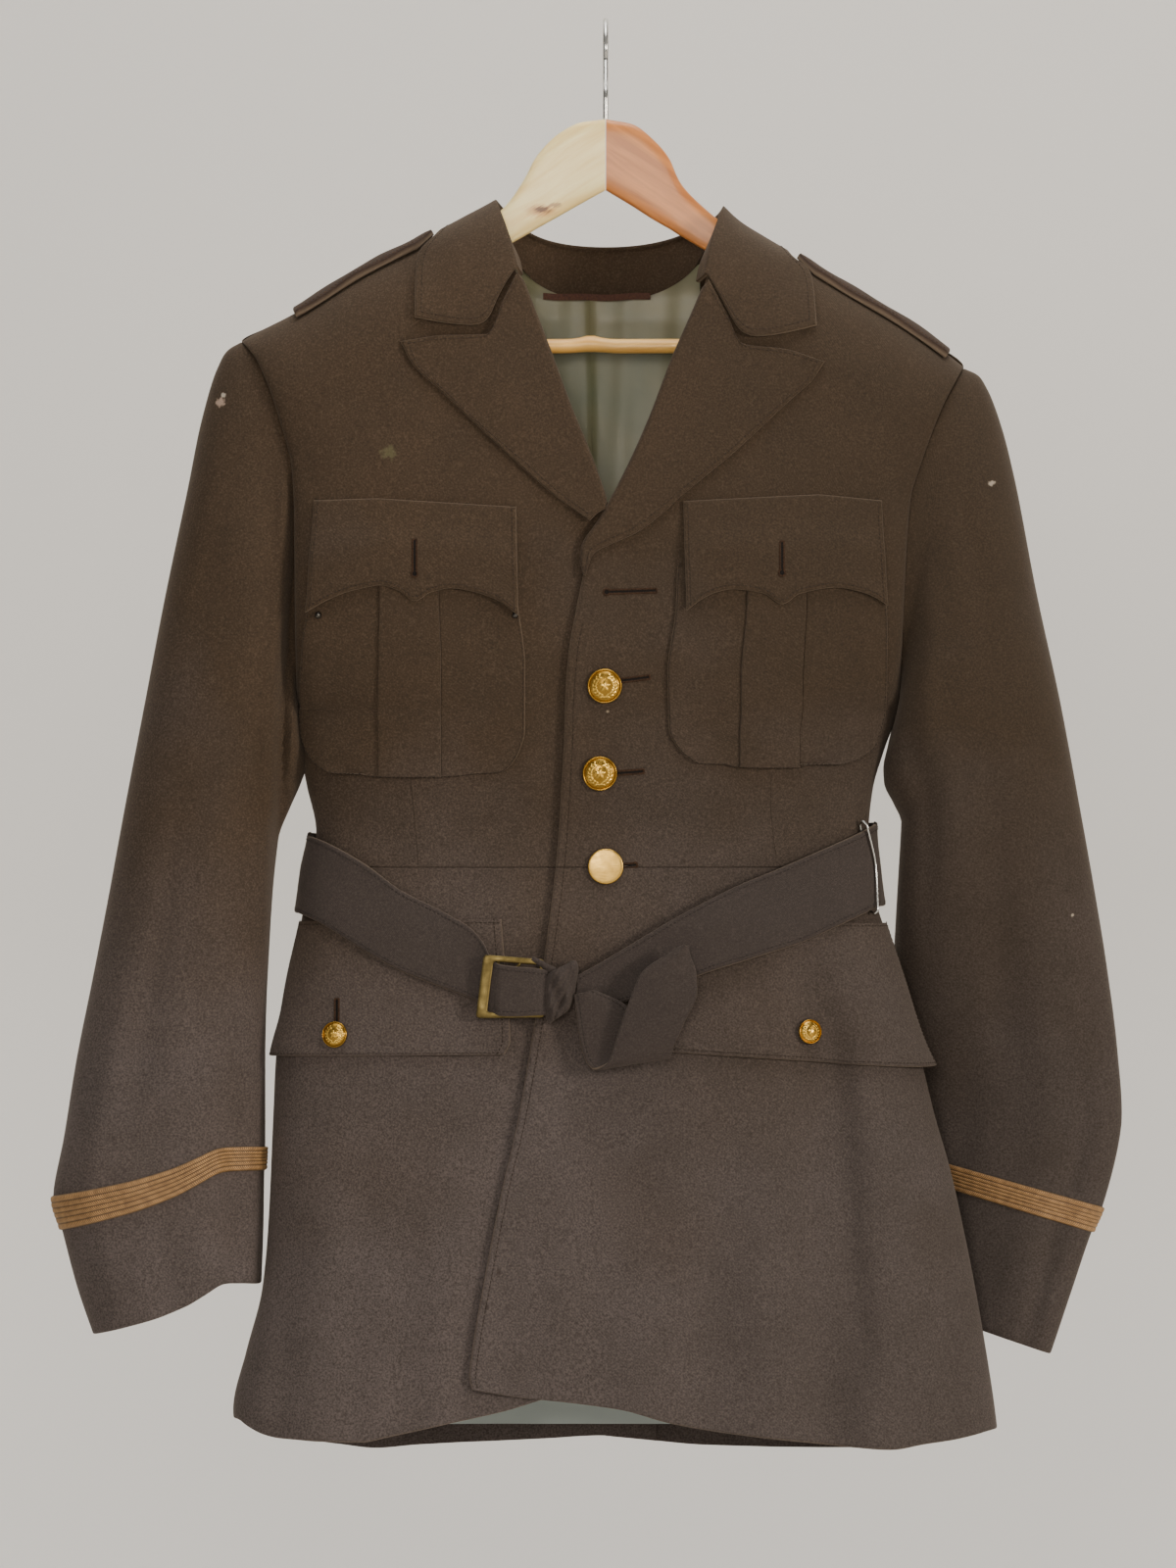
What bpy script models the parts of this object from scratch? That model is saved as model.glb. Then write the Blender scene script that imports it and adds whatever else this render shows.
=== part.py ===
"""Officer's service coat in wool, hung on a wooden coat hanger, with its own cloth belt.

Metres, +Z up, the coat's front towards -Y. The origin is the hang point, the inside top of the hook.
Left and right are the wearer's: the left front lies on top and is on the +X side.
"""
import math

import bpy
import numpy as np

# Drafting grid: outlines are given in columns (to the right) and rows (downwards) of this grid
UNIT = 0.00063          # one grid unit in metres
MID = 618.0             # grid column of the coat's middle
TOP = 120.0             # grid row of the hanger's highest point
HOOK_DROP = 0.062       # hang point above the hanger's highest point

# Cloth
CLOTH = 0.0020          # wall of the heavy wool
LINING = 0.0010         # wall of the lining
SEAM = 0.0003           # gap between pieces at a seam
REST = 0.0006           # gap under a piece that lies on a panel
UNDER_DROP = CLOTH + 0.0009     # how far an edge that lies under another goes down
POCKET_CLOTH = 0.0018   # wall of a patch pocket
PLEAT_RISE = 0.0014     # how far a box pleat stands out of its pocket
FLAP_CLOTH = 0.0020     # wall of a pocket flap
LAPEL_CLOTH = 0.0026    # wall of a lapel, two layers and canvas
COLLAR_CLOTH = 0.0024   # wall of the collar
BELT_CLOTH = 0.0025     # wall of the belt, two layers
BRAID_CLOTH = 0.0012    # wall of the cuff braid
BRAID_REST = 0.0007     # gap under the cuff braid

# Rounding of the hanging form
SIDE_POWER = 2.6        # superellipse power of the body's cross-section
SPREAD = 1.6            # how closely columns crowd towards the side seams
RIDGE_POWER = 2.2       # rounding over the shoulder
RIDGE_ROUND = 0.060     # depth below the shoulder over which it rounds
SLEEVE_POWER = 2.2      # superellipse power of a sleeve's section
SHOULDER_SLANT = 1.13   # wall measured straight down, over the wall across the slanting shoulder
ARMHOLE_GAP = 1.7       # columns between the armhole's edge and the sleeve
MIDDLE_GAP = 0.25       # columns between the middle and the edge of a back panel
FRONT_COLUMNS = 15      # points across a front panel
BACK_COLUMNS = 13       # points across a back panel
SLEEVE_SIDES = 24       # points round a sleeve

# Body edge of each side, armhole above and side seam below: (row, column)
EDGE_RIGHT = ((347, 246), (368, 262), (424, 284), (481, 298), (520, 300), (650, 301), (722, 303),
              (765, 306), (800, 312), (849, 322), (888, 315), (927, 309), (1028, 289), (1076, 281),
              (1140, 278), (1250, 273), (1315, 267), (1378, 251), (1440, 237), (1470, 241))
EDGE_LEFT = ((373, 984), (417, 961), (473, 940), (511, 929), (581, 924), (650, 921), (722, 917),
             (765, 903), (807, 891), (850, 887), (888, 891), (925, 896), (944, 902), (1004, 921),
             (1095, 944), (1140, 955), (1192, 970), (1259, 985), (1320, 997), (1378, 1007),
             (1430, 1015), (1470, 1020))
# Shoulder ridge: (column, row)
RIDGE = ((228, 360), (246, 347), (307, 315), (368, 277), (453, 234), (500, 209), (528, 208),
         (708, 208), (736, 219), (808, 260), (864, 294), (923, 329), (967, 360), (984, 373), (1002, 384))
# Half depth of the body in mm at its middle, front and back, and at its edge: (row, mm)
FRONT_DEPTH = ((220, 40), (347, 48), (500, 55), (650, 58), (800, 52), (850, 47), (890, 46),
               (950, 51), (1100, 56), (1300, 60), (1480, 62))
BACK_DEPTH = ((220, 38), (347, 46), (500, 50), (700, 50), (850, 43), (890, 42), (960, 46),
              (1100, 50), (1300, 54), (1480, 56))
EDGE_DEPTH = ((340, 31), (420, 34), (520, 34), (600, 31), (640, 28), (680, 21), (700, 16),
              (715, 9), (722, 0), (1480, 0))

# Largest folds of the body: (face, column and row of each end, half width in columns, rise in mm)
FOLDS = (("front", 826, 930, 846, 1490, 27, -7.5), ("front", 876, 960, 898, 1490, 26, 4.0),
         ("front", 723, 1240, 725, 1490, 30, -4.0), ("front", 655, 1290, 650, 1490, 28, 3.5),
         ("front", 290, 1150, 280, 1490, 16, -3.0), ("front", 330, 1150, 322, 1490, 24, 3.0),
         ("front", 420, 1240, 408, 1490, 30, -3.0),
         ("back", 420, 900, 392, 1490, 30, -6.0), ("back", 520, 1000, 512, 1490, 26, 4.0),
         ("back", 720, 1000, 736, 1490, 26, 4.0), ("back", 812, 900, 850, 1490, 30, -6.0),
         ("back", 358, 420, 344, 680, 26, -4.0), ("back", 868, 430, 878, 680, 26, -4.0),
         ("back", 560, 560, 540, 860, 34, 3.0), ("back", 690, 560, 706, 860, 34, -3.0))

# Front panels: (column and row at the front edge or roll line, row at the body's edge)
FRONT_LEFT_ROWS = ((744, 213, 374), (741, 220, 378), (737, 231, 384), (730, 248, 393), (723, 276, 406),
                   (708, 325, 428), (690, 368, 462), (665, 430, 500), (642, 482, 540),
                   (619, 526, 580), (598, 576, 622), (588, 622, 660),
                   (580, 668, 694), (577, 710, 722), (576, 750, 752), (573, 800, 800), (570, 850, 850),
                   (567, 885, 885), (563, 920, 920), (557, 965, 965), (547, 1035, 1035), (537, 1095, 1095),
                   (526, 1155, 1155), (512, 1215, 1215), (499, 1280, 1285), (487, 1345, 1350),
                   (479, 1400, 1420))
FRONT_RIGHT_ROWS = ((500, 212, 348), (503, 219, 351), (507, 229, 355), (514, 243, 361),
                    (526, 275, 372), (543, 322, 396), (560, 365, 424),
                    (581, 422, 456), (599, 462, 490), (613, 500, 525), (640, 552, 565), (646, 600, 610),
                    (648, 645, 654), (648, 690, 696), (647, 722, 722), (645, 765, 765), (642, 805, 805),
                    (640, 850, 850), (639, 885, 885), (637, 925, 925), (631, 975, 975), (621, 1035, 1035),
                    (611, 1095, 1095), (600, 1155, 1155), (586, 1215, 1215), (573, 1280, 1285),
                    (562, 1345, 1350), (555, 1400, 1420))
# Front edge of the upper (left) front, over which the right front lies lower: (row, column)
OVERLAP_EDGE = ((470, 640), (526, 612), (560, 600), (622, 588), (710, 577), (850, 570), (965, 557),
                (1095, 537), (1215, 512), (1345, 487), (1430, 478))
OVERLAP_RAMP = 34.0     # columns over which the under front goes down
# Hems: (column, row)
HEM_LEFT = ((482, 1417), (512, 1423), (556, 1427), (629, 1436), (703, 1456), (770, 1465), (864, 1475),
            (902, 1480), (923, 1476), (981, 1468), (1020, 1458))
HEM_RIGHT = ((553, 1427), (538, 1433), (497, 1443), (447, 1454), (372, 1471), (320, 1470), (278, 1467),
             (259, 1461), (240, 1448))
HEM_BACK = ((240, 1449), (290, 1470), (377, 1482), (428, 1478), (495, 1475), (540, 1474), (602, 1468),
            (629, 1471), (717, 1479), (800, 1481), (899, 1481), (970, 1472), (1020, 1459))
# Back neckline from the middle to each shoulder: (column, row)
NECK_RIGHT = ((617, 300), (575, 297), (543, 285), (520, 258), (500, 212))
NECK_LEFT = ((619, 300), (661, 297), (696, 286), (722, 258), (744, 213))
# Back panels: (row at the middle, row at the body's edge), then the vent's overlap in columns
BACK_ROWS = ((342, 388), (375, 410), (414, 440), (460, 480), (515, 528), (575, 582), (632, 636),
             (682, 684), (722, 722), (762, 762), (805, 805), (850, 850), (890, 890), (940, 940),
             (1000, 1000), (1070, 1070), (1150, 1150), (1235, 1235), (1320, 1320), (1405, 1400))
# Rows just under the shoulder and the neckline: rows below the shoulder, and where their columns stand
# as distances from the middle
YOKE_STEPS = (6.0, 16.0, 32.0)
YOKE_COLUMNS = (0.3, 28, 57, 80, 96, 107, 117, 148, 188, 238, 288, 334, 366)
YOKE_FADE = (0.65, 0.4, 0.2)    # how much the next rows still follow these columns
VENT_ROWS = (1070, 1085)
VENT_OVERLAP = 52.0
VENT_RAMP = 50.0        # columns over which the vent's under side goes down

# Back lining where it shows: (name, rows, share of the half width, columns)
LININGS = (("lining_neck", (312, 350, 400, 460, 520, 590, 650), 0.175, 9),
           ("lining_hem", (1200, 1280, 1360, 1457), 0.48, 13))

# Lapels, from the gorge to the break of the roll: rows of (column, row) points
LAPEL_LEFT = (((723, 287), (741, 320), (758, 352), (800, 357), (841, 370)),
              ((709, 322), (737, 350), (768, 372), (800, 384), (829, 388)),
              ((690, 366), (719, 384), (752, 396), (781, 404), (804, 411)),
              ((666, 429), (688, 437), (711, 446), (731, 455), (748, 463)),
              ((643, 480), (659, 484), (674, 489), (688, 496), (701, 502)),
              ((618, 527), (627, 529), (636, 532), (645, 536), (655, 541)),
              ((597, 562), (599, 563), (601, 564), (603, 565), (605, 567)))
LAPEL_RIGHT = (((528, 279), (513, 308), (497, 342), (452, 343), (409, 349)),
               ((543, 320), (513, 343), (480, 361), (448, 370), (421, 372)),
               ((559, 362), (531, 380), (500, 391), (470, 396), (446, 396)),
               ((579, 417), (556, 426), (531, 432), (506, 434), (484, 432)),
               ((596, 458), (579, 463), (562, 466), (545, 468), (528, 473)),
               ((608, 490), (596, 494), (585, 497), (574, 500), (563, 504)),
               ((618, 520), (612, 523), (608, 526), (605, 529), (602, 532)))

# Collar, from one front end round the back to the other. Each column has the foot of the stand, the
# fold and four points of the leaf as (column, row), on the coat's front, back or shoulder ridge.
STAND_EASE = 0.0009     # extra room between the stand's foot and the coat
COLLAR_EASE = (0.0014, 0.0034, 0.0037, 0.0032, 0.0024)     # extra lift of the fold and the leaf
COLLAR = (("front", (534, 279), (528, 274), (506, 306), (496, 335), (455, 331), (424, 325)),
          ("front", (532, 264), (523, 258), (506, 286), (480, 307), (452, 303), (424, 297)),
          ("front", (525, 248), (517, 237), (504, 256), (478, 268), (453, 264), (428, 258)),
          ("front", (514, 226), (510, 218), (496, 231), (481, 238), (465, 243), (442, 251)),
          ("ridge", (505, 207), (504, 199), (492, 204), (479, 211), (465, 219), (452, 226)),
          ("back", (514, 228), (512, 214), (497, 228), (483, 237), (468, 247), (456, 257)),
          ("back", (530, 268), (528, 230), (513, 250), (499, 268), (485, 286), (474, 304)),
          ("back", (552, 289), (550, 243), (541, 264), (533, 287), (525, 310), (517, 332)),
          ("back", (582, 301), (582, 250), (580, 272), (577, 297), (574, 322), (571, 345)),
          ("back", (618, 304), (618, 252), (618, 275), (618, 300), (618, 325), (618, 348)),
          ("back", (655, 301), (654, 250), (658, 272), (661, 297), (664, 322), (667, 345)),
          ("back", (686, 289), (688, 243), (697, 264), (705, 287), (713, 310), (721, 332)),
          ("back", (711, 268), (714, 232), (730, 252), (744, 270), (758, 288), (770, 306)),
          ("back", (728, 234), (732, 222), (748, 236), (763, 247), (779, 257), (794, 268)),
          ("ridge", (738, 213), (740, 205), (756, 222), (772, 231), (788, 241), (804, 250)),
          ("front", (729, 234), (732, 224), (748, 240), (764, 251), (784, 261), (806, 270)),
          ("front", (719, 256), (726, 244), (744, 266), (768, 283), (797, 282), (825, 277)),
          ("front", (713, 270), (722, 265), (742, 294), (767, 317), (800, 312), (829, 304)),
          ("front", (710, 286), (720, 282), (741, 314), (759, 347), (797, 342), (832, 334)))

# Sleeves, from the armhole to the cuff: outer and inner (column, row), half depth in mm,
# set back in mm of the outer and the inner edge, share of the armhole's shape
SLEEVE_RIGHT = ((244, 348, 302, 722, 34, 0, 0, 1.0), (230, 357, 300.5, 728, 37, 0, 0, 0.72),
                (219, 378, 299, 735, 40, 0, 0, 0.42), (204, 430, 297, 748, 42, 0, 0, 0.18),
                (190, 500, 294, 768, 43, 0, 0, 0.05), (167, 610, 290, 800, 43, 0, 0, 0.0),
                (146, 720, 284, 850, 42, 0, 0, 0.0), (125, 830, 278, 905, 41, 0, 0, 0.0),
                (110, 912, 274, 968, 40, 0, 0, 0.0), (93, 1000, 271, 1030, 39, 0, 0, 0.0),
                (77, 1080, 270, 1080, 38, 0, 0, 0.0), (64, 1160, 270, 1126, 37, 0, 0, 0.0),
                (53, 1221, 270, 1171, 36, 0, 0, 0.0), (62, 1256, 269, 1195, 36, 0, 0, 0.0),
                (77, 1313, 268, 1255, 35, 0, 0, 0.0), (94, 1363, 266, 1310, 34, 0, 0, 0.0))
SLEEVE_LEFT = ((986, 375, 918, 722, 34, 0, 0, 1.0), (1000, 382, 919, 728, 37, 0, 0, 0.72),
               (1010, 398, 920, 735, 40, 0, 0, 0.42), (1024, 437, 921, 748, 42, 0, 0, 0.18),
               (1037, 490, 922, 768, 43, 0, 0, 0.05), (1059, 605, 922, 800, 43, 0, 0, 0.0),
               (1083, 715, 920, 850, 42, 2, 4, 0.0), (1103, 822, 917, 905, 41, 4, 14, 0.0),
               (1117, 900, 914, 965, 39, 7, 28, 0.0), (1131, 985, 911, 1030, 36, 10, 46, 0.0),
               (1142, 1070, 908, 1080, 33, 14, 60, 0.0), (1147, 1140, 906, 1128, 31, 17, 69, 0.0),
               (1127, 1233, 906, 1172, 30, 19, 76, 0.0), (1116, 1259, 906, 1196, 30, 20, 79, 0.0),
               (1096, 1318, 907, 1262, 29, 21, 82, 0.0), (1074, 1384, 908, 1328, 28, 22, 84, 0.0))
BRAID_RINGS = (12, 13)  # rows of the sleeve tables between which the braid lies
# Sleeve folds: (side, face, place across from outer to inner, first and last ring, half width, rise in mm)
SLEEVE_FOLDS = ((-1, -1, 0.84, 9.5, 16.0, 0.06, -5.0), (-1, -1, 0.60, 4.0, 9.0, 0.09, 2.5),
                (-1, -1, 0.35, 6.0, 12.0, 0.07, -2.5), (-1, 1, 0.55, 6.0, 15.0, 0.09, -4.0),
                (1, -1, 0.16, 10.0, 16.0, 0.05, -3.5), (1, -1, 0.48, 5.0, 11.0, 0.09, -3.0),
                (1, -1, 0.70, 3.0, 8.0, 0.08, 2.0), (1, 1, 0.50, 5.0, 14.0, 0.09, -4.0))

# Chest pockets: (row, outer or left column, right column)
CHEST_POCKET_RIGHT = ((580, 317, 527), (617, 316, 529), (654, 312, 534), (675, 311, 536), (696, 310, 536),
                      (722, 310, 536), (745, 311, 536), (765, 316, 531), (779, 326, 523), (788, 342, 510),
                      (793, 372, 480))
CHEST_POCKET_LEFT = ((578, 691, 903), (623, 689, 903), (686, 681, 902), (742, 682, 896), (758, 688, 891),
                     (770, 698, 879), (779, 716, 852), (783, 742, 815))
PLEAT_COLUMNS = (0.0, 0.08, 0.2, 0.325, 0.35, 0.48, 0.61, 0.635, 0.76, 0.9, 1.0)
PLEAT = (0.34, 0.62)    # the box pleat's place across a pocket
POCKET_EDGE_RISE = 0.0024   # how far a pocket's outer edge stands off
# Chest flaps: top (column, row) and scalloped lower edge (column, row)
CHEST_FLAP_RIGHT = (((321, 511), (385, 509), (527, 518)),
                    ((316, 625), (338, 612), (362, 603), (391, 598), (409, 604), (424, 614), (441, 605),
                     (461, 601), (486, 605), (510, 614), (529, 629)))
CHEST_FLAP_LEFT = (((697, 512), (835, 505), (899, 511)),
                   ((700, 624), (716, 612), (731, 605), (747, 602), (778, 606), (797, 617), (816, 606),
                    (852, 600), (871, 603), (888, 609), (902, 618)))
CHEST_FLAP_LIFT = ((0.0, 0.6), (0.25, 1.6), (0.55, 4.4), (1.0, 4.4))   # (share of height, mm)
# Skirt flaps: (row and column of the left end, row and column of the right end)
SKIRT_FLAP_RIGHT = ((941, 308, 938, 512), (990, 297, 990, 516), (1035, 289, 1035, 520),
                    (1062, 283, 1062, 521), (1078, 281, 1076, 515))
SKIRT_FLAP_LEFT = ((941, 680, 943, 902), (980, 679, 990, 918), (1020, 679, 1035, 930),
                   (1050, 679, 1068, 938), (1073, 681, 1091, 945))
SKIRT_FLAP_FLARE = 6.0  # how far the left flap's hind corner stands off, in mm
SKIRT_FLAP_CURL = 1.5   # the same for the right flap, in mm
FOLD_ROOM = 0.0012      # extra room under a flap over the skirt's main fold
FLAP_POINTS = (7, 13)   # points down and across a skirt flap

# Belt: columns of (column, upper row, lower row, lift in mm) from the side to the buckle or knot
BELT_RIGHT = ((308, 849, 932, 3.2), (330, 857, 943, 3.4), (376, 883, 972, 3.4), (410, 909, 991, 3.4),
              (453, 931, 1008, 3.4), (490, 954, 1024, 3.4), (510, 980, 1034, 3.8), (556.5, 990, 1036, 5.4))
BELT_LEFT = ((892, 838, 926, 3.2), (874, 849, 936, 3.6), (823, 873, 958, 5.5), (762, 900, 980, 7.5),
             (721, 921, 993, 8.0), (676, 945, 1009, 8.0), (632, 971, 1024, 7.5), (588.7, 995, 1032, 6.8))
BELT_BACK = ((-1.0, 850, 933, 3.2), (-0.85, 851, 931, 1.2), (-0.5, 850, 928, 0.7), (0.0, 847, 925, 0.7),
             (0.5, 843, 924, 0.7), (0.85, 840, 925, 1.2), (1.0, 839, 926, 3.2))
KNOT = (572, 1012, 30, 54, 17, 0.8)     # column, row, width, height, thickness and lift in mm
# Tail of the belt: stations of (left column, row, right column, row, lift in mm)
TAIL = ((586, 1014, 606, 1010, 13.0), (588, 1032, 634, 1022, 12.8), (591, 1056, 656, 1044, 12.8),
        (597, 1080, 674, 1066, 13.5), (606, 1090, 684, 1077, 17.0), (619, 1084, 686, 1070, 21.0),
        (633, 1046, 698, 1042, 23.0), (646, 1010, 711, 1012, 23.5), (656, 990, 710, 992, 23.5),
        (680, 974, 704, 975, 23.5), (696, 965, 701, 964, 23.5))
TAIL_BASE = (640.0, 1030.0)     # point of the coat from which the tail's lifts are measured
TAIL_BOW = 0.0016       # how far the tail's middle stands out of its edges
# Buckle frame: outer corners and inner corners (column, row), lift and thickness in mm
BUCKLE_OUTER = ((495, 975), (556, 979), (556, 1039), (487, 1039))
BUCKLE_INNER = ((505, 982), (551, 985), (551, 1033), (498, 1033))
BUCKLE_LIFT = 9.8
BUCKLE_THICK = 2.2
# Slide ring round the belt: (column, row, lift in mm)
SLIDE = ((876, 841, 7.8), (884, 886, 7.8), (887, 931, 7.8), (887, 934, 4.6), (887, 931, 1.6),
         (884, 886, 1.6), (876, 841, 1.6), (875, 837, 4.6))
SLIDE_WIRE = 0.0008

# Shoulder loops: (column, row of the ridge is looked up), half width and thickness
LOOP_RIGHT = (443, 300)
LOOP_LEFT = (813, 968)
LOOP_HALF_WIDTH = 0.021
LOOP_CLOTH = 0.0035
LOOP_REST = 0.0009      # gap between the loop and the shoulder's ridge
LOOP_SAG = 0.0042       # how far the loop's long edges bend down

# Buttons: diameter in mm, place (column, row), lift in mm
BUTTON_TOP = (22.5, 617, 700, 0.5)
BUTTON_MIDDLE = (22.5, 612, 789, 0.5)
BUTTON_WAIST = (23.0, 618, 884, 0.9)
BUTTON_FLAP_RIGHT = (17.0, 344, 1056, 3.3)
BUTTON_FLAP_LEFT = (16.0, 822, 1053, 5.6)
# Profiles as shares of radius and thickness in mm: (radius, height)
DOME = ((0.62, 0.0), (0.93, 0.5), (1.0, 1.3), (0.985, 2.1), (0.90, 2.5), (0.84, 3.0), (0.60, 4.6),
        (0.30, 5.6))
DOME_TOP = 5.9
FLAT = ((0.70, 0.0), (0.97, 0.3), (1.0, 1.0), (0.98, 1.9), (0.92, 2.4), (0.50, 2.7))
FLAT_TOP = 2.8
BUTTON_SIDES = 14

# Hanger: (column, upper row, lower row) of each half, then the bar and the wire hook
HANGER_RIGHT = ((617.6, 120, 193), (594, 123, 206), (571, 134, 219), (546, 160, 233), (536, 179, 239),
                (509, 215, 254), (453, 240, 284), (368, 283, 325), (307, 321, 359), (272, 341, 366))
HANGER_LEFT = ((618.4, 120, 193), (645, 125, 209), (667, 141, 223), (683, 160, 232), (694, 184, 239),
               (736, 225, 264), (808, 267, 306), (864, 301, 340), (923, 336, 372), (955, 358, 382))
HANGER_THICK = 0.014
HANGER_CHAMFER = 0.0038
BAR_ROW = 351.0
BAR_RADIUS = 0.0047
HOOK_WIRE = 0.0017
HOOK_INNER = 0.0165     # inside radius of the hook

COLOURS = {
    "cloth": (0.062, 0.047, 0.034), "belt": (0.060, 0.050, 0.044), "lining": (0.155, 0.165, 0.115),
    "braid": (0.27, 0.15, 0.040), "gilt": (0.72, 0.42, 0.09), "brass": (0.62, 0.46, 0.20),
    "steel": (0.55, 0.55, 0.53), "pale_wood": (0.76, 0.60, 0.36), "orange_wood": (0.62, 0.36, 0.14),
    "loop_cloth": (0.095, 0.060, 0.038)}


def through(table, at):
    """Smooth curve that goes through a table's rows without overshooting them."""
    x, y = (np.array(column, dtype=float) for column in zip(*table))
    step = np.diff(x)
    rate = np.diff(y) / step
    slope = np.zeros(len(x))
    slope[0], slope[-1] = rate[0], rate[-1]
    product = rate[:-1] * rate[1:]
    both = np.where(np.abs(rate[:-1] + rate[1:]) < 1e-12, 1.0, rate[:-1] + rate[1:])
    slope[1:-1] = np.where(product > 0, 2 * product / both, 0.0)
    at = np.clip(np.asarray(at, dtype=float), x[0], x[-1])
    k = np.clip(np.searchsorted(x, at, side="right") - 1, 0, len(step) - 1)
    t = (at - x[k]) / step[k]
    return (y[k] * (2 * t**3 - 3 * t**2 + 1) + step[k] * slope[k] * (t**3 - 2 * t**2 + t)
            + y[k + 1] * (3 * t**2 - 2 * t**3) + step[k] * slope[k + 1] * (t**3 - t**2))


def smoothstep(low, high, at):
    t = np.clip((at - low) / (high - low), 0.0, 1.0)
    return t * t * (3 - 2 * t)


def side_column(row, sign, inset=0.0):
    """Grid column of the body's edge on one side, moved in by inset metres."""
    left = through(EDGE_LEFT, row) - inset / UNIT
    right = through(EDGE_RIGHT, row) + inset / UNIT
    return np.where(sign > 0, left, right)


def place_of(column, row):
    """Place across the body: -1 at the right side seam, 0 in the middle, 1 at the left side seam."""
    column, row = np.asarray(column, dtype=float), np.asarray(row, dtype=float)
    sign = np.where(column >= MID, 1.0, -1.0)
    edge = side_column(row, sign)
    share = np.clip((edge - column) / (edge - MID), 0.0, 1.0)
    return sign * (1 - share ** (1 / SPREAD))


def column_of(place, row, inset=0.0):
    sign = np.where(np.asarray(place) >= 0, 1.0, -1.0)
    edge = side_column(row, sign, inset)
    return edge - (1 - np.abs(place)) ** SPREAD * (edge - MID)


def fold_rise(column, row, face):
    """Sum of the folds of one face, in metres."""
    rise = np.zeros(np.broadcast(column, row).shape)
    for side, c0, r0, c1, r1, width, height in FOLDS:
        if side != face:
            continue
        length = math.hypot(c1 - c0, r1 - r0)
        ahead = ((column - c0) * (c1 - c0) + (row - r0) * (r1 - r0)) / length
        away = ((column - c0) * (r1 - r0) - (row - r0) * (c1 - c0)) / length
        reach = min(90.0, length / 2)
        fade = smoothstep(0, reach, ahead) * smoothstep(0, reach, length - ahead + reach * (r1 > 1480))
        rise = rise + 0.001 * height * np.exp(-(away / width) ** 2) * fade
    return rise


def body_point(place, row, face, lift=0.0, inset=0.0, dip=0.0):
    """Point of the body's front or back surface, set in by inset and lowered by dip."""
    place, row = np.asarray(place, dtype=float), np.asarray(row, dtype=float)

    def at(q, r):
        column = column_of(q, r, inset)
        below = (r - through(RIDGE, column)) * UNIT
        r_in = r + inset * SHOULDER_SLANT / UNIT * np.clip(1 - below / RIDGE_ROUND, 0.0, 1.0)
        share = (1 - np.abs(q)) ** SPREAD
        round_side = (1 - np.abs(1 - share) ** SIDE_POWER) ** (1 / SIDE_POWER)
        middle = 0.001 * through(FRONT_DEPTH if face == "front" else BACK_DEPTH, r) - inset
        edge = 0.001 * through(EDGE_DEPTH, r) * (1 - inset / 0.034)
        low = np.clip((r_in - through(RIDGE, column)) * UNIT - inset * SHOULDER_SLANT, 0, RIDGE_ROUND)
        low = low / RIDGE_ROUND
        over = (1 - (1 - low) ** RIDGE_POWER) ** (1 / RIDGE_POWER)
        depth = (edge + (middle - edge) * round_side + fold_rise(column, r, face) * round_side) * over
        depth = SEAM / 2 + np.maximum(depth - dip, 0.0)
        return np.stack([(column - MID) * UNIT, depth * (-1 if face == "front" else 1),
                         (TOP - r_in) * UNIT - HOOK_DROP], axis=-1)

    here = at(place, row)
    if not np.any(lift):
        return here
    inward = at(place * (1 - 0.004) - np.where(np.abs(place) < 0.01, 0.002, 0.0), row)
    down = at(place, row + 0.4)
    across = (here - inward) * np.where(place >= 0, 1.0, -1.0)[..., None]
    across = np.where((np.abs(place) < 0.01)[..., None], here - inward, across)
    normal = np.cross(down - here, across) * (1 if face == "front" else -1)
    length = np.linalg.norm(normal, axis=-1, keepdims=True)
    normal = normal / np.maximum(length, 1e-12)
    return here + normal * np.asarray(lift, dtype=float)[..., None]


def add_mesh(name, points, faces, colour, rough=0.85, metal=0.0, smooth=True):
    """Object of one closed mesh, its faces turned outward."""
    points = np.asarray(points, dtype=float)
    volume = 0.0
    for face in faces:
        corner = points[list(face)]
        for k in range(1, len(face) - 1):
            volume += np.dot(corner[0], np.cross(corner[k], corner[k + 1]))
    if volume < 0:
        faces = [tuple(reversed(face)) for face in faces]
    mesh = bpy.data.meshes.new(name)
    mesh.from_pydata(points.tolist(), [], [list(map(int, face)) for face in faces])
    mesh.validate()
    mesh.update()
    if smooth:
        mesh.shade_smooth()
        mesh.set_sharp_from_angle(angle=math.radians(50))
    obj = bpy.data.objects.new(name, mesh)
    bpy.context.scene.collection.objects.link(obj)
    material = bpy.data.materials.new(name + "_material")
    material.use_nodes = True
    shader = material.node_tree.nodes["Principled BSDF"]
    shader.inputs["Base Color"].default_value = (*COLOURS[colour], 1.0)
    shader.inputs["Roughness"].default_value = rough
    shader.inputs["Metallic"].default_value = metal
    mesh.materials.append(material)
    return obj


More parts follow.
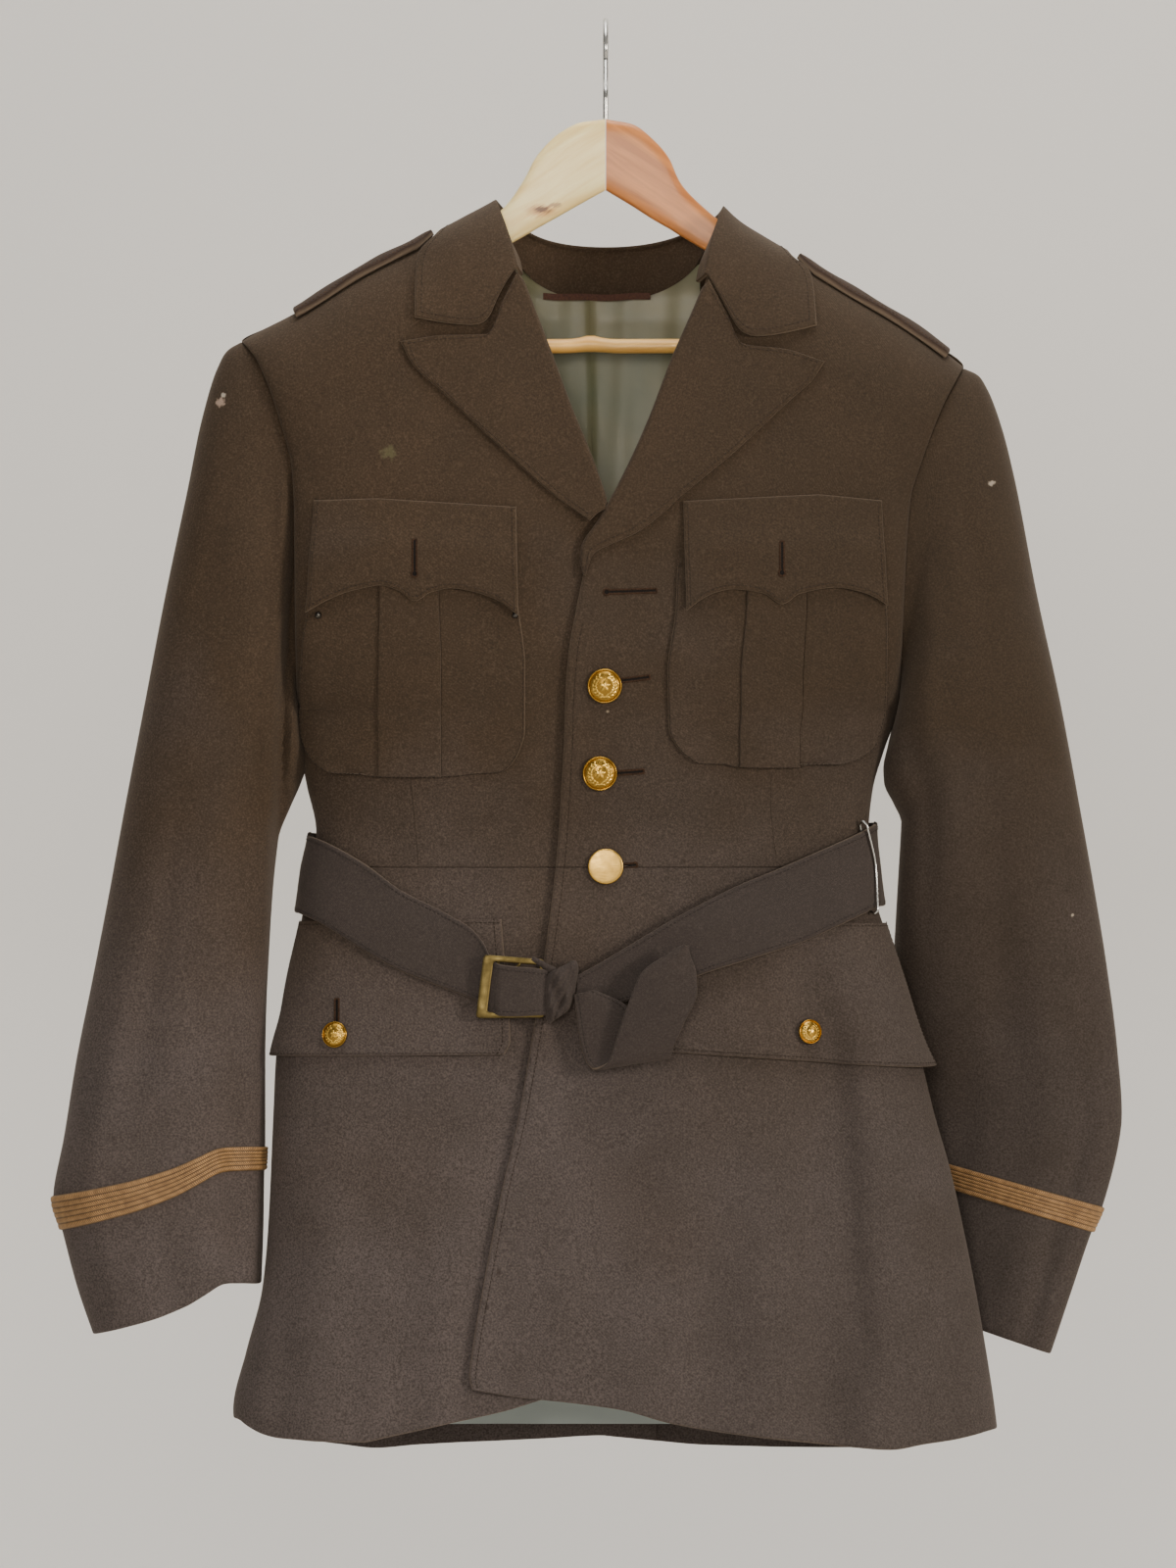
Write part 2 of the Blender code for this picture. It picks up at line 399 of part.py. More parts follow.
def wall(name, outer, inner, colour, **look):
    """Closed wall between two grids of points."""
    rows, columns = outer.shape[:2]
    count = rows * columns
    faces = []

    def index(i, j, layer):
        return layer * count + i * columns + j

    for i in range(rows - 1):
        for j in range(columns - 1):
            faces.append((index(i, j, 0), index(i, j + 1, 0), index(i + 1, j + 1, 0), index(i + 1, j, 0)))
            faces.append((index(i, j, 1), index(i + 1, j, 1), index(i + 1, j + 1, 1), index(i, j + 1, 1)))
    rim = [(0, j) for j in range(columns)] + [(i, columns - 1) for i in range(1, rows)]
    rim += [(rows - 1, j) for j in range(columns - 2, -1, -1)] + [(i, 0) for i in range(rows - 2, 0, -1)]
    for a, b in zip(rim, rim[1:] + rim[:1]):
        faces.append((index(*a, 0), index(*a, 1), index(*b, 1), index(*b, 0)))
    points = np.concatenate([outer.reshape(-1, 3), inner.reshape(-1, 3)])
    return add_mesh(name, points, faces, colour, **look)


def ring_wall(name, outer, inner, colour, **look):
    """Closed wall between two tubes of rings, open at both ends."""
    rings, sides = outer.shape[:2]
    count = rings * sides
    faces = []
    for i in range(rings - 1):
        for j in range(sides):
            k = (j + 1) % sides
            quad = (i * sides + j, i * sides + k, (i + 1) * sides + k, (i + 1) * sides + j)
            faces.append(quad)
            faces.append(tuple(count + corner for corner in reversed(quad)))
    for start in (0, (rings - 1) * sides):
        for j in range(sides):
            k = (j + 1) % sides
            quad = (start + j, count + start + j, count + start + k, start + k)
            faces.append(quad if start == 0 else tuple(reversed(quad)))
    points = np.concatenate([outer.reshape(-1, 3), inner.reshape(-1, 3)])
    return add_mesh(name, points, faces, colour, **look)


def loft(name, rings, colour, closed=False, **look):
    """Solid through rings of points, capped at both ends or joined into a loop."""
    rings = np.asarray(rings, dtype=float)
    count, sides = rings.shape[:2]
    faces = []
    for i in range(count if closed else count - 1):
        following = (i + 1) % count
        for j in range(sides):
            k = (j + 1) % sides
            faces.append((i * sides + j, i * sides + k, following * sides + k, following * sides + j))
    points = rings.reshape(-1, 3)
    if not closed:
        points = np.concatenate([points, rings[:1].mean(axis=1), rings[-1:].mean(axis=1)])
        for j in range(sides):
            k = (j + 1) % sides
            faces.append((count * sides, k, j))
            faces.append((count * sides + 1, (count - 1) * sides + j, (count - 1) * sides + k))
    return add_mesh(name, points, faces, colour, **look)


def fill_rows(grid, count):
    """More rows between the rows of a grid, along smooth curves down its columns."""
    rows = grid.shape[0]
    known = np.arange(rows)
    wanted = np.linspace(0, rows - 1, count)
    return np.stack([np.stack([through(tuple(zip(known, grid[:, j, k])), wanted)
                               for k in range(grid.shape[2])], axis=-1)
                     for j in range(grid.shape[1])], axis=1)


def row_to_side(column, row, edge_row, sign, count, line=None, shares=None):
    """Places and rows from a start point to the body's edge, level or along a line."""
    start = float(place_of(column, row))
    places = start + (sign - start) * (np.linspace(0, 1, count) if shares is None else shares)
    rows = np.linspace(row, edge_row, count)
    for _ in range(6):
        columns = column_of(places, rows)
        if line is None:
            end = column_of(np.array(float(sign)), edge_row)
            rows = row + (edge_row - row) * (columns - column) / (end - column)
        else:
            known = sorted(line)
            rows = np.interp(columns, [c for c, _ in known], [r for _, r in known])
    return np.stack([places, rows], axis=-1)


def front_grid(rows, hem, sign, count):
    shoulder = [(c, float(through(RIDGE, c))) for c in np.linspace(244, 986, 60)]
    first = rows[0]
    table = [row_to_side(first[0], first[1], first[2], sign, count, shoulder)]
    table += [row_to_side(c, r, e, sign, count) for c, r, e in rows[1:]]
    table.append(row_to_side(hem[0][0], hem[0][1], hem[-1][1], sign, count, hem))
    return np.array(table)


def overlap_dip(place, row):
    """How far the under front lies below the upper one."""
    column = column_of(place, row)
    edge = through(OVERLAP_EDGE, row)
    return UNDER_DROP * smoothstep(edge - OVERLAP_RAMP, edge - 6, column) * smoothstep(430, 500, row)


def build_fronts():
    for name, rows, hem, sign in (("front_left", FRONT_LEFT_ROWS, HEM_LEFT, 1),
                                  ("front_right", FRONT_RIGHT_ROWS, HEM_RIGHT, -1)):
        grid = front_grid(rows, hem, sign, FRONT_COLUMNS)
        place, row = grid[..., 0], grid[..., 1]
        dip = overlap_dip(place, row) if sign < 0 else 0.0
        outer = body_point(place, row, "front", dip=dip)
        inner = body_point(place, row, "front", inset=CLOTH, dip=dip)
        wall(name, outer, inner, "cloth")


def back_grid(neck, sign, count, overlap):
    """Places and rows of one half of the back; overlap is the vent's extra width, in columns."""
    middle = MID + sign * MIDDLE_GAP
    line = list(neck) + [(c, float(through(RIDGE, c))) for c in
                         np.linspace(neck[-1][0], 245 if sign < 0 else 985, 40)[1:]]
    edge_row = EDGE_LEFT[0][0] + 1 if sign > 0 else EDGE_RIGHT[0][0] + 1
    yoke = np.abs(place_of(MID + sign * np.array(YOKE_COLUMNS), np.full(count, 340.0)))
    yoke = (yoke - yoke[0]) / (yoke[-1] - yoke[0])
    level = np.linspace(0, 1, count)
    table = [row_to_side(neck[0][0], neck[0][1], edge_row, sign, count, line, yoke)]
    for step in YOKE_STEPS:
        lower = [(c, r + step * min(1.0, 0.35 + 0.65 * abs(c - MID) / 118)) for c, r in line]
        table.append(row_to_side(neck[0][0], lower[0][1], edge_row + step * 0.8, sign, count, lower, yoke))
    for k, (row, edge) in enumerate(BACK_ROWS):
        start = middle - sign * overlap * smoothstep(*VENT_ROWS, row)
        follow = YOKE_FADE[k] if k < len(YOKE_FADE) else 0.0
        table.append(row_to_side(start, row, edge, sign, count, None, yoke * follow + level * (1 - follow)))
    start = middle - sign * overlap
    hem_row = float(np.interp(start, *zip(*HEM_BACK)))
    table.append(row_to_side(start, hem_row, HEM_BACK[-1 if sign > 0 else 0][1], sign, count, HEM_BACK))
    return np.array(table)


def build_back():
    for name, neck, sign in (("back_left", NECK_LEFT, 1), ("back_right", NECK_RIGHT, -1)):
        overlap = VENT_OVERLAP if sign < 0 else 0.0
        grid = back_grid(neck, sign, BACK_COLUMNS, overlap)
        place, row = grid[..., 0], grid[..., 1]
        column = column_of(place, row)
        under = smoothstep(MID - 2 * VENT_RAMP, MID - VENT_RAMP, column)
        under = under * smoothstep(VENT_ROWS[0] - 40, VENT_ROWS[0] - 5, row)
        dip = UNDER_DROP * under if sign < 0 else 0.0
        wall(name, body_point(place, row, "back", dip=dip),
             body_point(place, row, "back", inset=CLOTH, dip=dip), "cloth")


def build_lining():
    """Lining of the back where it shows, in the neck and above the hem."""
    for name, rows, reach, count in LININGS:
        places = np.linspace(-reach, reach, count)
        place, row = np.meshgrid(places, np.array(rows, dtype=float))
        gap = 3.0 * REST + 0.0026 * smoothstep(0, 30, row - rows[0])
        if rows[0] > VENT_ROWS[0]:
            gap = gap + 0.0019
        drop = CLOTH + gap
        wall(name, body_point(place, row, "back", dip=drop),
             body_point(place, row, "back", dip=drop + LINING), "lining")


def patch(name, columns, rows, face, low, high, colour, **look):
    """Wall that lies on the body, from grids of columns and rows and two lifts in metres."""
    place = place_of(columns, rows)
    low = np.broadcast_to(low, place.shape)
    high = np.broadcast_to(high, place.shape)
    wall(name, body_point(place, rows, face, lift=high), body_point(place, rows, face, lift=low),
         colour, **look)


def build_lapels():
    for name, table in (("lapel_left", LAPEL_LEFT), ("lapel_right", LAPEL_RIGHT)):
        grid = fill_rows(np.array(table, dtype=float), 13)
        across = np.linspace(0, 1, grid.shape[1])[None, :]
        down = np.linspace(0, 1, grid.shape[0])[:, None]
        low = REST + 0.0016 * np.exp(-(across / 0.22) ** 2) * (1 - down)
        patch(name, grid[..., 0], grid[..., 1], "front", low, low + LAPEL_CLOTH, "cloth")


def build_collar():
    """Stand, fold and leaf as one folded band."""
    top = REST + COLLAR_CLOTH
    lines = []
    for face, *spots in COLLAR:
        line = []
        for k, (column, row) in enumerate(spots):
            if face == "ridge":
                line.append(np.array([(column - MID) * UNIT, 0.0, (TOP - row) * UNIT - HOOK_DROP]))
                continue
            lift = -(CLOTH + REST + COLLAR_CLOTH + STAND_EASE) if k == 0 else top + COLLAR_EASE[k - 1]
            line.append(body_point(place_of([column], [row]), np.array([float(row)]), face,
                                   lift=np.array([lift]))[0])
        foot, fold = line[0], line[1]
        line.insert(1, foot * 0.45 + fold * 0.55)
        lines.append(line)
    outer = fill_rows(np.array(lines), 31)
    normal = np.cross(np.gradient(outer, axis=0), np.gradient(outer, axis=1))
    normal /= np.linalg.norm(normal, axis=-1, keepdims=True)
    centre = np.array([0.0, 0.0, (TOP - 240) * UNIT - HOOK_DROP])
    if np.sum(normal[:, -1] * (outer[:, -1] - centre)) < 0:
        normal = -normal
    wall("collar", outer, outer - normal * COLLAR_CLOTH, "cloth")


def sleeve_point(side, ring, angle, inset=0.0, lift=0.0):
    """Point of a sleeve. Angle 0 is its outer edge and pi its inner edge, over the front."""
    table = SLEEVE_LEFT if side > 0 else SLEEVE_RIGHT
    edge = EDGE_LEFT if side > 0 else EDGE_RIGHT
    ring, angle = np.broadcast_arrays(np.asarray(ring, dtype=float), np.asarray(angle, dtype=float))
    known = range(len(table))
    outer_c, outer_r, inner_c, inner_r, half, back_out, back_in, armhole = (
        through(tuple(zip(known, column)), ring) for column in zip(*table))
    t = (1 - np.cos(angle)) / 2
    slope = np.hypot(inner_c - outer_c, inner_r - outer_r)
    in_c, in_r = (inner_c - outer_c) / slope, (inner_r - outer_r) / slope
    shift = (inset - lift) / UNIT
    start_c, start_r = outer_c + in_c * shift, outer_r + in_r * shift
    end_c, end_r = inner_c - in_c * shift, inner_r - in_r * shift
    column, row = start_c + (end_c - start_c) * t, start_r + (end_r - start_r) * t
    first = table[0]
    hole_row = first[1] + (first[3] - first[1]) * t + shift * np.cos(angle)
    hole_c = through(edge, hole_row) + side * ARMHOLE_GAP
    column = column + armhole * (hole_c - first[0] - (first[2] - first[0]) * t)
    oval = (1 - np.abs(np.cos(angle)) ** SLEEVE_POWER) ** (1 / SLEEVE_POWER)
    thin = (0.001 * half - inset + lift) / (0.001 * half)
    below = np.clip((hole_row - first[1] - shift) * UNIT / RIDGE_ROUND, 0, 1)
    over = (1 - (1 - below) ** RIDGE_POWER) ** (1 / RIDGE_POWER)
    hole_depth = 0.001 * through(EDGE_DEPTH, hole_row) * over
    depth = (0.001 * half * oval * (1 - armhole) + hole_depth * armhole) * thin
    front = np.where(np.sin(angle) >= 0, -1.0, 1.0)
    for fold_side, face, place, ring_0, ring_1, width, rise in SLEEVE_FOLDS:
        if fold_side == side:
            fade = smoothstep(ring_0, ring_0 + 2, ring) * smoothstep(0, 2, ring_1 - ring)
            bump = 0.001 * rise * np.exp(-((t - place) / width) ** 2) * fade * (front == face)
            depth = depth + bump * smoothstep(0.0, 0.5, oval)
    back = 0.001 * (back_out + (back_in - back_out) * t)
    return np.stack([(column - MID) * UNIT, back + front * depth, (TOP - row) * UNIT - HOOK_DROP], axis=-1)


def build_sleeves():
    angles = (np.arange(SLEEVE_SIDES) + 0.5) * 2 * math.pi / SLEEVE_SIDES
    rings = np.arange(float(len(SLEEVE_RIGHT)))
    ring, angle = np.meshgrid(rings, angles, indexing="ij")
    for name, side in (("sleeve_left", 1), ("sleeve_right", -1)):
        ring_wall(name, sleeve_point(side, ring, angle), sleeve_point(side, ring, angle, inset=CLOTH), "cloth")
    bands = np.linspace(BRAID_RINGS[0], BRAID_RINGS[1], 2)
    ring, angle = np.meshgrid(bands, angles, indexing="ij")
    for name, side in (("cuff_braid_left", 1), ("cuff_braid_right", -1)):
        ring_wall(name, sleeve_point(side, ring, angle, lift=BRAID_REST + BRAID_CLOTH),
                  sleeve_point(side, ring, angle, lift=BRAID_REST), "braid")


def build_chest_pockets():
    share = np.array(PLEAT_COLUMNS)
    raised = PLEAT_RISE * ((share > PLEAT[0]) & (share < PLEAT[1]))
    for name, table in (("chest_pocket_right", CHEST_POCKET_RIGHT),
                        ("chest_pocket_left", CHEST_POCKET_LEFT)):
        rows = np.array([[row] * len(share) for row, _, _ in table], dtype=float)
        columns = np.array([left + (right - left) * share for _, left, right in table])
        rows[-1] -= 4 * np.abs(2 * share - 1) ** 2
        outside = share if name.endswith("right") else 1 - share
        low = REST + POCKET_EDGE_RISE * np.exp(-(outside / 0.10) ** 2)[None, :] * smoothstep(600, 650, rows)
        patch(name, columns, rows, "front", low, low + POCKET_CLOTH + raised[None, :], "cloth")


def build_chest_flaps():
    levels = np.linspace(0, 1, 6)
    for name, (top, foot) in (("chest_flap_right", CHEST_FLAP_RIGHT),
                              ("chest_flap_left", CHEST_FLAP_LEFT)):
        foot_c, foot_r = (np.array(column, dtype=float) for column in zip(*foot))
        share = (foot_c - foot_c[0]) / (foot_c[-1] - foot_c[0])
        top_c = top[0][0] + (top[-1][0] - top[0][0]) * share
        top_r = np.interp(top_c, *zip(*top))
        columns = top_c + (foot_c - top_c) * levels[:, None]
        rows = top_r + (foot_r - top_r) * levels[:, None]
        low = 0.001 * through(CHEST_FLAP_LIFT, levels)[:, None]
        patch(name, columns, rows, "front", low, low + FLAP_CLOTH, "cloth")


def build_skirt_flaps():
    for name, table, sign in (("skirt_flap_right", SKIRT_FLAP_RIGHT, -1),
                              ("skirt_flap_left", SKIRT_FLAP_LEFT, 1)):
        lines = []
        for row_0, column_0, row_1, column_1 in table:
            ends = [float(place_of(column_0, row_0)), float(place_of(column_1, row_1))]
            place = np.linspace(*ends, FLAP_POINTS[1])
            rows = np.linspace(row_0, row_1, FLAP_POINTS[1])
            columns = column_of(place, rows)
            rows = row_0 + (row_1 - row_0) * (columns - columns[0]) / (columns[-1] - columns[0])
            lines.append(np.stack([columns, rows], axis=-1))
        grid = fill_rows(np.array(lines), FLAP_POINTS[0])
        down = np.linspace(0, 1, FLAP_POINTS[0])[:, None]
        across = np.linspace(0, 1, FLAP_POINTS[1])[None, :]
        corner, curl = (across, SKIRT_FLAP_FLARE) if sign > 0 else (1 - across, SKIRT_FLAP_CURL)
        low = REST + 0.001 * curl * down**2 * corner**6
        low = low + FOLD_ROOM * np.exp(-((grid[..., 0] - FOLDS[0][1] - 8) / 50) ** 2)
        patch(name, grid[..., 0], grid[..., 1], "front", low, low + FLAP_CLOTH, "cloth")


def build_belt():
    share = np.linspace(0, 1, 4)[:, None]
    for name, table in (("belt_right", BELT_RIGHT), ("belt_left", BELT_LEFT)):
        column, upper, lower, lift = (np.array(values, dtype=float) for values in zip(*table))
        known = np.arange(len(column))
        wanted = np.linspace(0, len(column) - 1, 19)
        columns, uppers, lowers, lifts = (through(tuple(zip(known, values)), wanted)
                                          for values in (column, upper, lower, lift))
        rows = uppers + (lowers - uppers) * share
        columns = np.broadcast_to(columns, rows.shape)
        place = place_of(columns, rows)
        sign = 1.0 if name == "belt_left" else -1.0
        place = np.where(np.arange(rows.shape[1]) == 0, sign, place)
        low = np.broadcast_to(0.001 * lifts, rows.shape)
        wall(name, body_point(place, rows, "front", lift=low + BELT_CLOTH),
             body_point(place, rows, "front", lift=low), "belt")
    place, upper, lower, lift = zip(*BELT_BACK)
    places = np.sin(np.linspace(-math.pi / 2, math.pi / 2, 25))
    places = np.sign(places) * np.abs(places) ** 0.8
    uppers, lowers, lifts = (through(tuple(zip(place, values)), places) for values in (upper, lower, lift))
    rows = uppers + (lowers - uppers) * share
    places = np.broadcast_to(places, rows.shape)
    low = np.broadcast_to(0.001 * lifts, rows.shape)
    wall("belt_back", body_point(places, rows, "back", lift=low + BELT_CLOTH),
         body_point(places, rows, "back", lift=low), "belt")


def build_knot():
    """Turn of the belt round itself, beside the buckle."""
    column, row, width, height, thick, lift = KNOT
    base = body_point(np.array([float(place_of(column, row))]), np.array([float(row)]), "front",
                      lift=np.array([0.001 * (lift + thick / 2)]))[0]
    rings = []
    for rise in np.linspace(-1, 1, 7):
        grow = (1 - abs(rise) ** 3.4) ** 0.5 * 0.35 + 0.65
        ring = []
        for angle in np.arange(14) * math.pi / 7:
            c, s = math.cos(angle), math.sin(angle)
            x = math.copysign(abs(c) ** 0.8, c) * width * UNIT / 2 * (grow + 0.06 * math.sin(3 * rise))
            y = math.copysign(abs(s) ** 0.8, s) * 0.001 * thick / 2 * grow
            ring.append(base + np.array([x + 0.0014 * rise, y, rise * height * UNIT / 2]))
        rings.append(ring)
    loft("belt_knot", rings, "belt")


def build_tail():
    table = np.array(TAIL, dtype=float)
    left_c, left_r, right_c, right_r, lift = fill_rows(table[:, None, :], 18)[:, 0, :].T
    share = np.linspace(0, 1, 4)[None, :]
    columns = left_c[:, None] + (right_c - left_c)[:, None] * share
    rows = left_r[:, None] + (right_r - left_r)[:, None] * share
    lifts = 0.001 * lift[:, None] + TAIL_BOW * np.sin(math.pi * share)
    column, row = TAIL_BASE
    base = body_point(np.full(1, float(place_of(column, row))), np.full(1, row), "front")[0]
    points = np.stack([(columns - MID) * UNIT, base[1] - lifts, (TOP - rows) * UNIT - HOOK_DROP], axis=-1)
    normal = np.cross(np.gradient(points, axis=0), np.gradient(points, axis=1))
    normal /= np.linalg.norm(normal, axis=-1, keepdims=True)
    half = normal * BELT_CLOTH / 2
    wall("belt_tail", points + half, points - half, "belt")


def build_buckle():
    def ring(corners, lift):
        points = []
        for k, corner in enumerate(corners):
            before, after = corners[k - 1], corners[(k + 1) % len(corners)]
            for other, amount in ((before, 0.05), (corner, 0.0), (after, 0.05)):
                spot = np.array(corner) * (1 - amount) + np.array(other) * amount
                if amount == 0.0:
                    spot = np.array(corner) * 0.985 + (np.array(before) + np.array(after)) * 0.0075
                points.append(spot)
        columns, rows = np.array(points).T
        flat = body_point(place_of(columns, rows), rows, "front", lift=np.full(len(rows), 0.001 * lift))
        flat[:, 1] = flat[:, 1].mean()
        return flat

    top, low = BUCKLE_LIFT + BUCKLE_THICK, BUCKLE_LIFT
    loops = np.array([ring(BUCKLE_OUTER, low), ring(BUCKLE_OUTER, top), ring(BUCKLE_INNER, top),
                      ring(BUCKLE_INNER, low)])
    loft("belt_buckle", np.swapaxes(loops, 0, 1), "brass", closed=True, rough=0.35, metal=1.0)


def tube(name, path, radius, sides, colour, closed=False, **look):
    """Round wire along a path."""
    path = np.asarray(path, dtype=float)
    ahead = np.roll(path, -1, axis=0) - np.roll(path, 1, axis=0)
    if not closed:
        ahead[0], ahead[-1] = path[1] - path[0], path[-1] - path[-2]
    ahead /= np.linalg.norm(ahead, axis=1, keepdims=True)
    across = np.cross(ahead, np.linalg.svd(path - path.mean(axis=0))[2][2])
    across /= np.linalg.norm(across, axis=1, keepdims=True)
    aside = np.cross(ahead, across)
    angles = np.arange(sides) * 2 * math.pi / sides
    rings = (path[:, None] + radius * (np.cos(angles)[None, :, None] * across[:, None]
                                       + np.sin(angles)[None, :, None] * aside[:, None]))
    return loft(name, rings, colour, closed=closed, **look)


def build_slide():
    column, row, lift = (np.array(values, dtype=float) for values in zip(*SLIDE))
    path = body_point(place_of(column, row), row, "front", lift=0.001 * lift)
    tube("belt_slide", path, SLIDE_WIRE, 6, "steel", closed=True, rough=0.3, metal=1.0)


def build_shoulder_loops():
    for name, (near, far) in (("shoulder_loop_right", LOOP_RIGHT), ("shoulder_loop_left", LOOP_LEFT)):
        run = np.linspace(0, 1, 10)
        columns = near + (far - near) * run**1.3
        ridge = through(RIDGE, columns)
        across = np.linspace(-1, 1, 6)
        width = LOOP_HALF_WIDTH * (1 - 0.82 * np.clip(1 - run / 0.22, 0, 1) ** 1.3)
        slope = np.gradient(-ridge, columns)
        up = np.stack([-slope, np.zeros(len(run)), np.ones(len(run))], axis=-1)
        up /= np.linalg.norm(up, axis=1, keepdims=True)
        height = (TOP - ridge) * UNIT - HOOK_DROP
        base = np.stack([(columns - MID) * UNIT, np.zeros(len(run)), height], axis=-1)
        spread = np.array([0.0, 1.0, 0.0]) * (width[:, None] * across[None, :])[..., None]
        bend = LOOP_SAG * (width / LOOP_HALF_WIDTH)[:, None] ** 2 * np.abs(across)[None, :] ** 2.4
        low = base[:, None, :] + spread + up[:, None, :] * (LOOP_REST - bend[..., None])
        wall(name, low + up[:, None, :] * LOOP_CLOTH, low, "loop_cloth")


def build_button(name, data, profile, top, colour, rough):
    diameter, column, row, lift = data
    place = np.full(1, float(place_of(column, row)))
    rows = np.full(1, float(row))
    low = body_point(place, rows, "front", lift=np.full(1, 0.001 * lift))[0]
    high = body_point(place, rows, "front", lift=np.full(1, 0.001 * lift + 0.001))[0]
    axis = (high - low) / np.linalg.norm(high - low)
    side = np.cross(axis, [0.0, 0.0, 1.0])
    side /= np.linalg.norm(side)
    upward = np.cross(side, axis)
    angles = np.arange(BUTTON_SIDES) * 2 * math.pi / BUTTON_SIDES
    turn = np.cos(angles)[:, None] * side + np.sin(angles)[:, None] * upward
    rings = [low + axis * 0.001 * height + turn * share * diameter * 0.0005 for share, height in profile]
    rings.append(low + axis * 0.001 * top + turn * 0.04 * diameter * 0.0005)
    loft(name, rings, colour, rough=rough, metal=1.0)


def build_hanger():
    """Two shaped halves, the bar between them and the wire hook."""
    half, chamfer = HANGER_THICK / 2, HANGER_CHAMFER
    for name, table, colour in (("hanger_arm_right", HANGER_RIGHT, "pale_wood"),
                                ("hanger_arm_left", HANGER_LEFT, "orange_wood")):
        rings = []
        for column, upper, lower in table:
            x = (column - MID) * UNIT
            high, low = (TOP - upper) * UNIT - HOOK_DROP, (TOP - lower) * UNIT - HOOK_DROP
            outline = ((-half, high - chamfer), (-half + chamfer * 0.8, high), (half - chamfer * 0.8, high),
                       (half, high - chamfer), (half, low + chamfer), (half - chamfer * 0.8, low),
                       (-half + chamfer * 0.8, low), (-half, low + chamfer))
            rings.append([(x, y, z) for y, z in outline])
        loft(name, rings, colour, rough=0.45)
    angles = np.arange(12) * math.pi / 6
    rings = []
    for table, lean in ((HANGER_RIGHT, 0.9), (None, 0.0), (None, 1.0), (HANGER_LEFT, -0.9)):
        ring = []
        for angle in angles:
            row = BAR_ROW - math.sin(angle) * BAR_RADIUS / UNIT
            if table is None:
                column = 560 + 130 * lean
            else:
                known = sorted((lower, column) for column, _, lower in table)
                column = float(np.interp(row, *zip(*known))) + lean
            height = (TOP - row) * UNIT - HOOK_DROP
            ring.append(((column - MID) * UNIT, math.cos(angle) * BAR_RADIUS, height))
        rings.append(ring)
    loft("hanger_bar", rings, "pale_wood", rough=0.5)
    reach = HOOK_INNER + HOOK_WIRE
    path = [(0.0, 0.0, -HOOK_DROP + SEAM), (0.0, 0.0, -0.050), (0.0, 0.0015, -0.0435),
            (0.0, 0.0085, -0.0375)]
    for degrees in range(-40, 201, 20):
        turn = math.radians(degrees)
        path.append((0.0, reach * math.cos(turn), -HOOK_INNER + reach * math.sin(turn)))
    tube("hanger_hook", path, HOOK_WIRE, 6, "steel", rough=0.3, metal=1.0)


def build():
    for obj in list(bpy.data.objects):
        bpy.data.objects.remove(obj, do_unlink=True)
    build_fronts()
    build_back()
    build_lining()
    build_sleeves()
    build_lapels()
    build_collar()
    build_shoulder_loops()
    build_chest_pockets()
    build_chest_flaps()
    build_skirt_flaps()
    build_belt()
    build_knot()
    build_tail()
    build_buckle()
    build_slide()
    build_button("button_top", BUTTON_TOP, DOME, DOME_TOP, "gilt", 0.3)
    build_button("button_middle", BUTTON_MIDDLE, DOME, DOME_TOP, "gilt", 0.3)
    build_button("button_waist", BUTTON_WAIST, FLAT, FLAT_TOP, "brass", 0.35)
    build_button("flap_button_right", BUTTON_FLAP_RIGHT, DOME, DOME_TOP, "gilt", 0.3)
    build_button("flap_button_left", BUTTON_FLAP_LEFT, DOME, DOME_TOP, "gilt", 0.3)
    build_hanger()


build()
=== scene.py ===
"""Officer's service coat on its wooden hanger: cloth shells, sewing, buttons, braid and finishes.

Laid out as a Blender add-on and run as a script. Metres, +Z up, the coat's front towards -Y.
Left and right are the wearer's: the left front lies on top and is on the +X side.
"""
import math

import bpy
import numpy as np
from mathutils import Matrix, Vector
from mathutils.bvhtree import BVHTree


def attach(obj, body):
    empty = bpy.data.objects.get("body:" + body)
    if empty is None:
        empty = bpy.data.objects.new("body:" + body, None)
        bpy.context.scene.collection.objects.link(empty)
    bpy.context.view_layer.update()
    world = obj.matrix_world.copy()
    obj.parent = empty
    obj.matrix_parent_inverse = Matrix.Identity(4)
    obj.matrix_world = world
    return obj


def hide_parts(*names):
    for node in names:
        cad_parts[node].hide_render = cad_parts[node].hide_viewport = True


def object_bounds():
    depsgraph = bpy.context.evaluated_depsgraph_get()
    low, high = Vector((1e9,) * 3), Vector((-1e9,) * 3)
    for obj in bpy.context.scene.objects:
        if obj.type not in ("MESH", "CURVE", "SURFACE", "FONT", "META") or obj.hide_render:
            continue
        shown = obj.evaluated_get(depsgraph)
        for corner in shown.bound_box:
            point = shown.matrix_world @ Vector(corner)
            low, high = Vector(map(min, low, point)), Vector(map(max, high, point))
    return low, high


bl_info = {
    "name": "Officer's coat on a hanger",
    "version": (1, 0, 0),
    "blender": (4, 5, 0),
    "location": "3D View > Sidebar > Coat",
    "description": "Makes the cloth, sewing, buttons and hanger of a belted service coat",
    "category": "Object",
}

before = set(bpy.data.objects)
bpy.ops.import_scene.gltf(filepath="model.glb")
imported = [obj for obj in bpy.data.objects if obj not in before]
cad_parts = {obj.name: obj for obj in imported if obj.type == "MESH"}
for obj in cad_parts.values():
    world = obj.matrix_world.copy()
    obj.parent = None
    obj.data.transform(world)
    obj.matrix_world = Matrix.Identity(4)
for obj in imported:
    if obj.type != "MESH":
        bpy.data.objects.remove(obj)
CAD_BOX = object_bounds()
# Drafting grid: outlines are given in columns (to the right) and rows (downwards) of this grid
UNIT = 0.00063          # one grid unit in metres
MID = 618.0             # grid column of the coat's middle
TOP = 120.0             # grid row of the hanger's highest point
HOOK_DROP = 0.062       # hang point above the hanger's highest point

